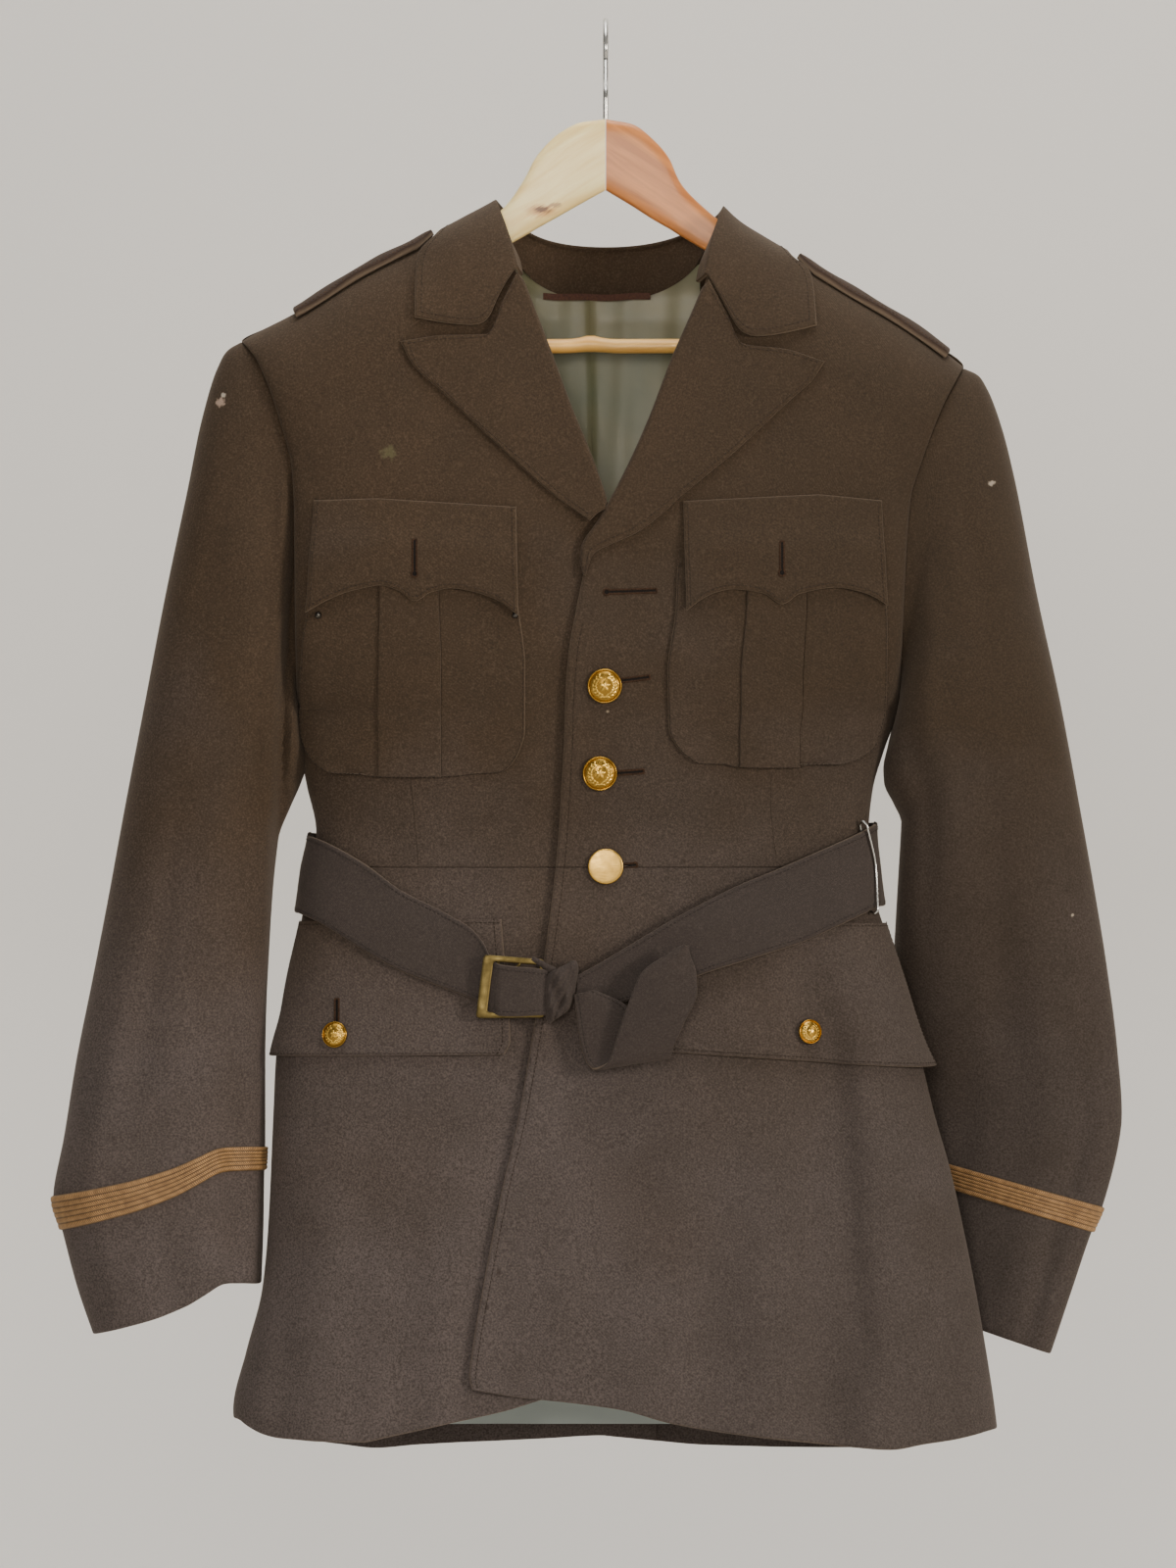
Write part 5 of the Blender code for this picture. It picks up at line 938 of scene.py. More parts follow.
def tucked_sleeve(side, ring, angle, inset=0.0, lift=0.0):
    """Sleeve point whose first rings turn in under the armhole's edge."""
    turn = np.clip(1 - ring / 0.05, 0, 1)
    point = sleeve_point(side, np.maximum(ring, 0.0), angle, inset=inset + 0.0006 * turn ** 2, lift=lift)
    point[..., 0] -= side * 0.0017 * turn ** 1.2
    return point


def sleeve_shell(name, side, rings, sides, low, thick, material, full=None, rise=0.0, band=None):
    angles = (np.arange(sides) + 0.5) * 2 * math.pi / sides
    ring, angle = np.meshgrid(rings, angles, indexing="ij")
    full = np.ones(len(rings)) if full is None else full
    lift_out = low + thick * full[:, None] + rise
    outer = tucked_sleeve(side, ring, angle, lift=np.broadcast_to(lift_out, ring.shape))
    inner = tucked_sleeve(side, ring, angle, lift=np.full(ring.shape, low))
    count = len(rings) * sides
    faces = []
    for i in range(len(rings) - 1):
        for j in range(sides):
            k = (j + 1) % sides
            quad = (i * sides + j, i * sides + k, (i + 1) * sides + k, (i + 1) * sides + j)
            faces.append(quad)
            faces.append(tuple(count + corner for corner in reversed(quad)))
    for start in (0, (len(rings) - 1) * sides):
        for j in range(sides):
            k = (j + 1) % sides
            quad = (start + j, count + start + j, count + start + k, start + k)
            faces.append(quad if start == 0 else tuple(reversed(quad)))
    closed = np.concatenate([outer, outer[:, :1]], axis=1)
    height = lengths(outer, 0)
    if band:
        height = np.broadcast_to(np.linspace(0, band, len(height))[:, None], height.shape)
    uv = np.stack([lengths(closed, 1)[:, :-1], height], axis=-1).reshape(-1, 2)
    worn_and_lit = np.broadcast_to((1 - full)[:, None], ring.shape).ravel()
    return add_piece(name, np.concatenate([outer.reshape(-1, 3), inner.reshape(-1, 3)]), faces, material,
                     uv=np.concatenate([uv, uv]), wear=np.concatenate([worn_and_lit, worn_and_lit * 0.5]))


def make_sleeves(cloth, braid):
    last = len(SLEEVE_RIGHT) - 1.0
    rings = np.unique(np.concatenate([np.linspace(0, 0.12, 9), np.linspace(0.15, 3, 18),
                                      np.linspace(3, last, 96),
                                      last - np.array([0.03, 0.015, 0.006])]))
    full = 0.35 + 0.65 * np.sqrt(1 - (1 - np.clip((last - rings) / 0.04, 0, 1)) ** 2)
    for name, node, side in (("coat_sleeve_left", "sleeve_left", 1), ("coat_sleeve_right", "sleeve_right", -1)):
        piece = sleeve_shell(name, side, rings, 112, -CLOTH, CLOTH, cloth, full)
        place_piece(piece, (node,))
    share = np.linspace(0, 1, 49)
    ribs = 0.00045 * np.abs(np.sin(6 * math.pi * share)) ** 0.7
    ends = np.sqrt(1 - (1 - np.clip(np.minimum(share, 1 - share) / 0.04, 0, 1)) ** 2)
    for name, node, side in (("coat_braid_left", "cuff_braid_left", 1),
                             ("coat_braid_right", "cuff_braid_right", -1)):
        bands = BRAID_RINGS[0] + (BRAID_RINGS[1] - BRAID_RINGS[0]) * share
        piece = sleeve_shell(name, side, bands, 112, BRAID_REST * 0.4, BRAID_CLOTH, braid, ends, ribs[:, None],
                             BRAID_WIDTH)
        place_piece(piece, (node,))


def make_chest_pockets(cloth):
    share = np.array(PLEAT_COLUMNS)
    for name, node, table in (("coat_chest_pocket_right", "chest_pocket_right", CHEST_POCKET_RIGHT),
                              ("coat_chest_pocket_left", "chest_pocket_left", CHEST_POCKET_LEFT)):
        rows = np.array([[row] * len(share) for row, _, _ in table], dtype=float)
        columns = np.array([left + (right - left) * share for _, left, right in table])
        # the pleat's folds run straight down to the pocket's foot
        straight = int(np.argmax(rows[:, 0] > 735))
        inside = (share > 0.3) & (share < 0.64)
        folds = columns[straight, inside]
        for line in columns[straight:]:
            line[share < 0.3] = line[0] + (folds[0] - line[0]) * share[share < 0.3] / share[inside][0]
            line[share > 0.64] = line[-1] - (line[-1] - folds[-1]) * (1 - share[share > 0.64]) / (1 - share[inside][-1])
            line[inside] = folds
        rows[-1] -= 4 * np.abs(2 * share - 1) ** 2
        right = node.endswith("right")
        known = np.linspace(0, 1, len(share))
        fold = np.interp(PLEAT, share, known)
        near = np.concatenate([fold[0] + np.array([-0.012, -0.006, -0.003, 0.0, 0.003, 0.006, 0.012]),
                               fold[1] + np.array([-0.012, -0.006, -0.003, 0.0, 0.003, 0.006, 0.012])])

        def low(down, across, right=right):
            at = np.interp(across, known, share)
            outside = at if right else 1 - at
            row = np.interp(down, np.linspace(0, 1, len(table)), [line[0] for line in table])
            return REST + POCKET_EDGE_RISE * np.exp(-(outside / 0.10) ** 2) * smoothstep(600, 650, row)

        def pleat(down, across, fold=fold):
            step = smoothstep(fold[0] - 0.003, fold[0] + 0.003, across)
            back = smoothstep(fold[1] - 0.004, fold[1] + 0.008, across)
            dark = np.exp(-((across - fold[0] + 0.004) / 0.0045) ** 2)
            thin = np.exp(-((across - fold[1] - 0.008) / 0.005) ** 2)
            swell = 0.0006 * np.sin(np.pi * np.clip((across - fold[0]) / (fold[1] - fold[0]), 0, 1))
            return PLEAT_RISE * (step - back) - 0.0011 * dark - 0.0005 * thin + swell + 0.0 * down

        piece = body_shell(name, panel_grid(columns, rows), "front", low, POCKET_CLOTH, cloth, (0.135, 0.135),
                           (70, 84), rounds="blr", extra=((), near), rise=pleat)
        place_piece(piece, (node,))


def make_chest_flaps(cloth):
    levels = np.linspace(0, 1, 6)
    for name, node, (top, foot) in (("coat_chest_flap_right", "chest_flap_right", CHEST_FLAP_RIGHT),
                                    ("coat_chest_flap_left", "chest_flap_left", CHEST_FLAP_LEFT)):
        foot_c = np.linspace(foot[0][0], foot[-1][0], 61)
        foot_r = through(foot, foot_c)
        share = (foot_c - foot_c[0]) / (foot_c[-1] - foot_c[0])
        top_c = top[0][0] + (top[-1][0] - top[0][0]) * share
        top_r = np.interp(top_c, *zip(*top))
        columns = top_c + (foot_c - top_c) * levels[:, None]
        rows = top_r + (foot_r - top_r) * levels[:, None]

        def low(down, across):
            curl = 0.0012 * smoothstep(0.8, 1.0, down) * np.abs(2 * across - 1) ** 3
            return 0.001 * through(CHEST_FLAP_LIFT, down) + curl

        piece = body_shell(name, panel_grid(columns, rows), "front", low, FLAP_CLOTH, cloth, (0.066, 0.133),
                           (40, 130))
        place_piece(piece, (node,))


def make_skirt_flaps(cloth):
    for name, node, table, sign in (("coat_skirt_flap_right", "skirt_flap_right", SKIRT_FLAP_RIGHT, -1),
                                    ("coat_skirt_flap_left", "skirt_flap_left", SKIRT_FLAP_LEFT, 1)):
        lines = []
        for row_0, column_0, row_1, column_1 in table:
            place = np.linspace(float(place_of(column_0, row_0)), float(place_of(column_1, row_1)), 25)
            rows = np.linspace(row_0, row_1, 25)
            columns = column_of(place, rows)
            rows = row_0 + (row_1 - row_0) * (columns - columns[0]) / (columns[-1] - columns[0])
            lines.append(np.stack([columns, rows], axis=-1))
        grid = np.array(lines)

        def low(down, across, sign=sign, grid=grid):
            corner, curl = (across, SKIRT_FLAP_FLARE) if sign > 0 else (1 - across, SKIRT_FLAP_CURL)
            column = np.interp(across, np.linspace(0, 1, 25), grid[2, :, 0])
            return (REST + 0.001 * curl * down**2 * corner**6
                    + FOLD_ROOM * np.exp(-((column - FOLDS[0][1] - 8) / 50) ** 2)
                    + 0.0006 * smoothstep(0.5, 1.0, down) * (1 + np.sin(9 * across)))

        piece = body_shell(name, panel_grid(grid[..., 0], grid[..., 1]), "front", low, FLAP_CLOTH, cloth,
                           (0.088, 0.155), (46, 84), rounds="blr")
        place_piece(piece, (node,))


# The belt's run through its buckle, where it comes up over the frame's lower and far sides:
# (column, upper row, lower row, lift in mm)
BELT_THROUGH = ((308, 849, 932, 3.2), (330, 857, 943, 3.4), (376, 883, 972, 3.4), (410, 909, 991, 3.4),
                (453, 931, 1008, 3.4), (482, 948, 1019, 4.2), (494, 962, 1026, 5.6), (503, 979, 1033, 8.6),
                (512, 985, 1037, 12.6), (530, 987, 1038, 13.6), (545, 988, 1037, 13.2), (560, 990, 1036, 10.5))


def cloth_band(name, table, material, count, wide=17, face="front", nodes=(), edge_sign=None):
    """Flat band on the body from stations of (column, upper row, lower row, lift)."""
    column, upper, lower, lift = (np.array(values, dtype=float) for values in zip(*table))
    known = np.arange(len(column))
    wanted = np.linspace(0, len(column) - 1, count)
    columns, uppers, lowers, lifts = (through(tuple(zip(known, values)), wanted)
                                      for values in (column, upper, lower, lift))
    across = spaced(wide, 0.047)
    rows = uppers + (lowers - uppers) * across[:, None]
    columns = np.broadcast_to(columns, rows.shape)
    place = place_of(columns, rows)
    if edge_sign is not None:
        place = np.where(np.arange(count) == 0, edge_sign, place)
    low = np.broadcast_to(0.001 * lifts, rows.shape)
    full = rounding(across, 0.047)[:, None] * np.ones(count)
    cup = 0.0005 * np.sin(math.pi * across)[:, None] * np.sin(wanted * 2.1)[None, :]
    outer = body_point(place, rows, face, lift=low + BELT_CLOTH * full + cup)
    inner = body_point(place, rows, face, lift=low + cup)
    piece = shell(name, outer, inner, material, wear=1 - np.clip((full - 0.3) / 0.7, 0, 1), down=across)
    place_piece(piece, nodes)


def make_belt(cloth):
    cloth_band("coat_belt_right", BELT_THROUGH, cloth, BELT_STATIONS, nodes=("belt_right",), edge_sign=-1.0)
    cloth_band("coat_belt_left", BELT_LEFT, cloth, BELT_STATIONS, nodes=("belt_left",), edge_sign=1.0)
    place, upper, lower, lift = zip(*BELT_BACK)
    places = np.sin(np.linspace(-math.pi / 2, math.pi / 2, 161))
    places = np.sign(places) * np.abs(places) ** 0.8
    uppers, lowers, lifts = (through(tuple(zip(place, values)), places) for values in (upper, lower, lift))
    across = spaced(17, 0.047)
    rows = uppers + (lowers - uppers) * across[:, None]
    places = np.broadcast_to(places, rows.shape)
    low = np.broadcast_to(0.001 * lifts, rows.shape)
    full = rounding(across, 0.047)[:, None] * np.ones(rows.shape[1])
    piece = shell("coat_belt_back", body_point(places, rows, "back", lift=low + BELT_CLOTH * full),
                  body_point(places, rows, "back", lift=low), cloth, down=across,
                  wear=1 - np.clip((full - 0.3) / 0.7, 0, 1))
    place_piece(piece, ("belt_back",))
    make_knot(cloth)
    make_tail(cloth)


def make_knot(cloth):
    """Turn of the belt round itself: narrow at its foot, flared and creased at its head."""
    column, row, width, height, thick, lift = KNOT
    base = body_point(np.array([float(place_of(column, row))]), np.array([float(row)]), "front",
                      lift=np.array([0.001 * (lift + thick / 2)]))[0]
    rings = []
    angles = np.arange(72) * 2 * math.pi / 72
    for rise in np.linspace(-1, 1, 56):
        grow = (1 - abs(rise) ** 5) ** 0.5 * 0.45 + 0.55
        flare = 1 + 0.16 * rise
        c, s = np.cos(angles), np.sin(angles)
        front = np.clip(-s, 0, 1)
        crease = (0.0011 * np.sin(c * 5.5 + rise * 4.2) * front + 0.0006 * np.sin(c * 12 - rise * 7) * front
                  - 0.0016 * np.exp(-((c - 0.25 - 0.45 * rise) / 0.10) ** 2) * front)
        x = np.sign(c) * np.abs(c) ** 0.75 * width * UNIT / 2 * flare * grow
        y = np.sign(s) * np.abs(s) ** 0.75 * (0.001 * thick / 2 * grow + crease)
        lean = 0.0022 * rise
        rings.append(np.stack([base[0] + x + lean, base[1] + y,
                               base[2] + rise * height * UNIT / 2 + 0.0035 * c * np.abs(rise)], axis=-1))
    piece = loft_piece("coat_belt_knot", rings, cloth, sharp=70)
    place_piece(piece, ("belt_knot",))


def make_tail(cloth):
    table = np.array(TAIL, dtype=float)
    left_c, left_r, right_c, right_r, lift = fill_rows(table[:, None, :], 130)[:, 0, :].T
    share = spaced(22, 0.05)[None, :]
    columns = left_c[:, None] + (right_c - left_c)[:, None] * share
    rows = left_r[:, None] + (right_r - left_r)[:, None] * share
    lifts = 0.001 * lift[:, None] + TAIL_BOW * np.sin(math.pi * share)
    column, row = TAIL_BASE
    base = body_point(np.full(1, float(place_of(column, row))), np.full(1, row), "front")[0]
    points = np.stack([(columns - MID) * UNIT, base[1] - lifts, (TOP - rows) * UNIT - HOOK_DROP], axis=-1)
    normal = normals_of(points)
    full = rounding(share[0], 0.05)[None, :] * np.ones((len(points), 1))
    half = normal * BELT_CLOTH / 2
    piece = shell("coat_belt_tail", points + half * full[..., None], points - half * full[..., None], cloth,
                  across=share[0], wear=1 - np.clip((full - 0.3) / 0.7, 0, 1))
    place_piece(piece, ("belt_tail",))


def make_buckle(metal, cloth):
    """Cast frame of rounded section, and the small eyelet tongue of the strap behind it."""
    def edge(corners):
        points = []
        for k, corner in enumerate(corners):
            before, after = np.array(corners[k - 1], float), np.array(corners[(k + 1) % len(corners)], float)
            corner = np.array(corner, float)
            first, last = corner + (before - corner) * 0.07, corner + (after - corner) * 0.07
            for t in np.linspace(0, 1, 6):
                points.append(first * (1 - t) ** 2 + 2 * corner * t * (1 - t) + last * t ** 2)
            following = np.array(after) + (corner - np.array(after)) * 0.07
            for t in np.linspace(0, 1, 9)[1:-1]:
                points.append(last * (1 - t) + following * t)
        return np.array(points)

    outside, inside = edge(BUCKLE_OUTER), edge(BUCKLE_INNER)
    rings = []
    for turn in np.arange(16) * 2 * math.pi / 16:
        share = 0.5 - 0.5 * np.sign(math.cos(turn)) * abs(math.cos(turn)) ** 0.6
        lift = BUCKLE_LIFT + BUCKLE_THICK * (0.5 + 0.5 * np.sign(math.sin(turn)) * abs(math.sin(turn)) ** 0.6)
        spots = outside * (1 - share) + inside * share
        flat = body_point(place_of(spots[:, 0], spots[:, 1]), spots[:, 1], "front",
                          lift=np.full(len(spots), 0.001 * lift))
        flat[:, 1] = flat[:, 1].mean()
        rings.append(flat)
    piece = loft_piece("coat_belt_buckle", np.swapaxes(np.array(rings), 0, 1), metal, closed=True)
    place_piece(piece, ("belt_buckle",))
    # strap end folded round the frame's top, beside the tongue
    spots = np.array([(509, 984), (514, 988), (521, 989), (528, 987), (531, 983), (527, 980), (519, 979),
                      (512, 981)],
                     dtype=float)
    path = body_point(place_of(spots[:, 0], spots[:, 1]), spots[:, 1], "front",
                      lift=np.full(len(spots), 0.0115))
    fine = fill_rows(np.concatenate([path, path[:1]])[:, None, :], 33)[:-1, 0]
    place_piece(tube_piece("coat_belt_eyelet", fine, 0.0009, 8, metal, closed=True), ())
    spots = np.array([(543, 980), (551, 983), (559, 988), (566, 991), (571, 996)], dtype=float)
    path = body_point(place_of(spots[:, 0], spots[:, 1]), spots[:, 1], "front",
                      lift=np.array([0.0105, 0.0112, 0.0118, 0.0125, 0.012]))
    fine = fill_rows(path[:, None, :], 30)[:, 0]
    place_piece(tube_piece("coat_belt_fold", fine, 0.0026, 14, cloth, flat=0.7), ())


def make_slide(metal):
    column, row, lift = (np.array(values, dtype=float) for values in zip(*SLIDE))
    path = body_point(place_of(column, row), row, "front", lift=0.001 * lift)
    fine = fill_rows(np.concatenate([path, path[:1]])[:, None, :], 81)[:-1, 0]
    place_piece(tube_piece("coat_belt_slide", fine, SLIDE_WIRE, 10, metal, closed=True), ("belt_slide",))


def make_shoulder_loops(cloth):
    for name, node, (near, far) in (("coat_shoulder_loop_right", "shoulder_loop_right", LOOP_RIGHT),
                                    ("coat_shoulder_loop_left", "shoulder_loop_left", LOOP_LEFT)):
        run = spaced(80, 0.11)
        columns = near + (far - near) * run**1.3
        ridge = through(RIDGE, columns)
        across = 2 * spaced(30, 0.042) - 1
        width = LOOP_HALF_WIDTH * (1 - 0.82 * np.clip(1 - run / 0.22, 0, 1) ** 1.3)
        slope = np.gradient(-ridge, columns)
        slope = np.convolve(np.pad(slope, 4, mode="edge"), np.ones(9) / 9, mode="valid")
        up = np.stack([-slope, np.zeros(len(run)), np.ones(len(run))], axis=-1)
        up /= np.linalg.norm(up, axis=1, keepdims=True)
        height = (TOP - ridge) * UNIT - HOOK_DROP
        base = np.stack([(columns - MID) * UNIT, np.zeros(len(run)), height], axis=-1)
        spread = np.array([0.0, 1.0, 0.0]) * (width[:, None] * across[None, :])[..., None]
        bend = LOOP_SAG * (width / LOOP_HALF_WIDTH)[:, None] ** 2 * np.abs(across)[None, :] ** 2.4
        full = np.minimum(rounding(run, 0.11)[:, None], rounding((across + 1) / 2, 0.042)[None, :])
        low = base[:, None, :] + spread + up[:, None, :] * (LOOP_REST - bend[..., None])
        wave = 0.0004 * np.sin(run * 17)[:, None] * np.cos(across * 3)[None, :]
        piece = shell(name, low + up[:, None, :] * (LOOP_CLOTH * full + wave)[..., None], low, cloth,
                      wear=1 - np.clip((full - 0.3) / 0.7, 0, 1), down=run, across=(across + 1) / 2)
        place_piece(piece, (node,))


def button_frame(data):
    """Foot, axis and the two directions of a button's face."""
    diameter, column, row, lift = data
    place, rows = np.full(1, float(place_of(column, row))), np.full(1, float(row))
    low = body_point(place, rows, "front", lift=np.full(1, 0.001 * lift))[0]
    high = body_point(place, rows, "front", lift=np.full(1, 0.001 * lift + 0.001))[0]
    axis = (high - low) / np.linalg.norm(high - low)
    side = np.cross(axis, [0.0, 0.0, 1.0])
    side /= np.linalg.norm(side)
    return low, axis, side, np.cross(side, axis), diameter / 2


def leaf(x, y, at_x, at_y, turn, long, wide):
    """Height from 0 to 1 of one veined leaf."""
    c, s = math.cos(turn), math.sin(turn)
    u, v = (x - at_x) * c + (y - at_y) * s, -(x - at_x) * s + (y - at_y) * c
    body = np.clip(1 - (u / long) ** 2 - (v / (wide * np.clip(1 - 0.45 * u / long, 0.3, 2))) ** 2, 0, 1) ** 0.5
    return body * (1 - 0.35 * np.exp(-(v / (0.16 * wide)) ** 2))


def relief(x, y):
    """A five-pointed star inside a spray of laurel leaves, tied at its foot, on a lined ground."""
    radius, angle = np.hypot(x, y), np.arctan2(x, y)
    part = np.mod(angle + math.pi / 5, 2 * math.pi / 5) - math.pi / 5
    arm = 0.30 * math.cos(math.pi / 5) / np.cos(math.pi / 5 - np.abs(part) * 1.0) * 0.62
    reach = 0.34 * (1 - np.abs(part) / (math.pi / 5)) + arm * np.abs(part) / (math.pi / 5)
    height = 1.1 * np.clip((reach - radius) / 0.16, 0, 1) ** 0.8
    for side in (-1, 1):
        for k in range(8):
            turn = math.radians(20 + 19 * k)
            at_x, at_y = side * 0.60 * math.sin(turn), -0.60 * math.cos(turn)
            along = math.atan2(math.sin(turn), side * math.cos(turn))
            for tilt, out in ((0.55, 0.085), (-0.55, -0.085)):
                x_0, y_0 = at_x * (1 + out / 0.60), at_y * (1 + out / 0.60)
                height = np.maximum(height, leaf(x, y, x_0, y_0, along - side * tilt, 0.115, 0.055))
    for side in (-1, 1):
        height = np.maximum(height, leaf(x, y, side * 0.07, -0.62, side * 0.5, 0.10, 0.06))
    ground = 0.10 * (np.sin(y * 95) > 0.2)
    return np.maximum(height, ground)


def make_domed_button(name, node, data, metal):
    low, axis, side, up, radius = button_frame(data)
    sides = 112
    angles = np.arange(sides) * 2 * math.pi / sides
    scale = radius / 11.25
    back = ((0.20, 0.0), (0.62, 0.0), (0.93, 0.5), (0.99, 1.0), (1.0, 1.5), (0.995, 2.1), (0.98, 2.6),
            (0.955, 2.95), (0.925, 3.05), (0.90, 2.9), (0.882, 2.6), (0.87, 2.35))
    shares = np.concatenate([[share for share, _ in back], np.linspace(0.86, 0.02, 44)])
    heights = []
    for k, share in enumerate(shares):
        x, y = share * np.cos(angles), share * np.sin(angles)
        if k < len(back):
            heights.append(np.full(sides, back[k][1]))
        else:
            dome = 2.35 + 3.1 * (1 - (share / 0.87) ** 2) ** 0.85
            heights.append(dome + 0.55 * relief(x, y) * min(1.0, (0.86 - share) / 0.03))
    rings = [low + axis * (0.001 * np.array(height) * (0.35 + 0.65 * scale))[:, None]
             + (np.cos(angles)[:, None] * side + np.sin(angles)[:, None] * up) * share * radius * 0.001
             for share, height in zip(shares, heights)]
    worn_and_lit = [np.full(sides, 0.0) if k < len(back) else relief(share * np.cos(angles), share * np.sin(angles))
            for k, share in enumerate(shares)]
    piece = loft_piece(name, rings, metal, sharp=50, wear=np.clip(np.array(worn_and_lit), 0, 1))
    place_piece(piece, (node,))


def make_flat_button(name, node, data, metal):
    low, axis, side, up, radius = button_frame(data)
    angles = np.arange(96) * 2 * math.pi / 96
    profile = ((0.20, 0.0), (0.70, 0.0), (0.93, 0.2), (0.985, 0.7), (1.0, 1.2), (0.995, 1.7), (0.975, 2.1),
               (0.95, 2.35), (0.92, 2.45), (0.80, 2.55), (0.60, 2.68), (0.40, 2.76), (0.20, 2.8), (0.02, 2.8))
    rings = [low + axis * 0.001 * height + (np.cos(angles)[:, None] * side + np.sin(angles)[:, None] * up)
             * share * radius * 0.001 for share, height in profile]
    piece = loft_piece(name, rings, metal, sharp=60)
    place_piece(piece, (node,))


def make_buttons(gilt, brass):
    for name, node, data in (("coat_button_top", "button_top", BUTTON_TOP),
                             ("coat_button_middle", "button_middle", BUTTON_MIDDLE),
                             ("coat_flap_button_right", "flap_button_right", BUTTON_FLAP_RIGHT),
                             ("coat_flap_button_left", "flap_button_left", BUTTON_FLAP_LEFT)):
        make_domed_button(name, node, data, gilt)
    make_flat_button("coat_button_waist", "button_waist", BUTTON_WAIST, brass)


def make_hanger(pale, orange, dowel, wire):
    """Two shaped halves of rounded section, the bar with its swelling, and the wire hook."""
    half, chamfer = HANGER_THICK / 2, HANGER_CHAMFER
    angles = np.arange(48) * 2 * math.pi / 48 + math.pi / 48
    box_c = np.sign(np.cos(angles)) * np.abs(np.cos(angles)) ** 0.42
    box_s = np.sign(np.sin(angles)) * np.abs(np.sin(angles)) ** 0.42
    for name, node, table, wood, slot in (
            ("hanger_half_right", "hanger_arm_right", HANGER_RIGHT, pale, "pale_wood"),
            ("hanger_half_left", "hanger_arm_left", HANGER_LEFT, orange, "orange_wood")):
        column, upper, lower = (fill_rows(np.array(table, float)[:, None, :], 90)[:, 0, k] for k in range(3))
        rings = []
        for c, u, l in zip(column, upper, lower):
            high, low = (TOP - u) * UNIT - HOOK_DROP, (TOP - l) * UNIT - HOOK_DROP
            middle, tall = (high + low) / 2, (high - low) / 2
            squeeze = 1 - chamfer / tall * 0.12
            rings.append(np.stack([np.full(48, (c - MID) * UNIT), half * box_c,
                                   middle + tall * (box_s * squeeze + (1 - squeeze) * np.sin(angles))], axis=-1))
        piece = loft_piece(name, rings, wood, sharp=55)
        place_piece(piece, (node,))
    rings = []
    turns = np.arange(28) * 2 * math.pi / 28
    for share in np.linspace(0, 1, 70):
        ends = []
        for table, lean in ((HANGER_RIGHT, 0.9), (HANGER_LEFT, -0.9)):
            known = sorted((lower, column) for column, _, lower in table)
            rows = BAR_ROW - np.sin(turns) * BAR_RADIUS / UNIT
            ends.append(np.interp(rows, *zip(*known)) + lean)
        columns = ends[0] * (1 - share) + ends[1] * share
        middle = columns.mean()
        swell = 1 + 0.16 * math.exp(-((middle - 603) / 9) ** 2)
        rise = 0.0016 * math.exp(-((middle - 603) / 14) ** 2) - 0.0008 * math.sin(math.pi * share)
        rings.append(np.stack([(columns - MID) * UNIT, np.cos(turns) * BAR_RADIUS * swell,
                               (TOP - BAR_ROW) * UNIT - HOOK_DROP + np.sin(turns) * BAR_RADIUS * swell + rise],
                              axis=-1))
    piece = loft_piece("hanger_crossbar", rings, dowel, sharp=60)
    place_piece(piece, ("hanger_bar",))
    reach = HOOK_INNER + HOOK_WIRE
    path = [(0.0, 0.0, -HOOK_DROP + SEAM), (0.0, 0.0, -0.050), (0.0, 0.0015, -0.0435), (0.0, 0.0085, -0.0375)]
    for degrees in range(-40, 201, 20):
        turn = math.radians(degrees)
        path.append((0.0, reach * math.cos(turn), -HOOK_INNER + reach * math.sin(turn)))
    fine = fill_rows(np.array(path)[:, None, :], 110)[:, 0]
    piece = tube_piece("hanger_wire_hook", fine, HOOK_WIRE, 16, wire)
    place_piece(piece, ("hanger_hook",))


def node(tree, kind, inputs=(), **settings):
    """Adds a node with its settings and its inputs, which are values or linked sockets."""
    made = tree.nodes.new(kind)
    for key, value in settings.items():
        setattr(made, key, value)
    for key, value in dict(inputs).items():
        if isinstance(value, bpy.types.NodeSocket):
            tree.links.new(value, made.inputs[key])
        else:
            made.inputs[key].default_value = value
    return made


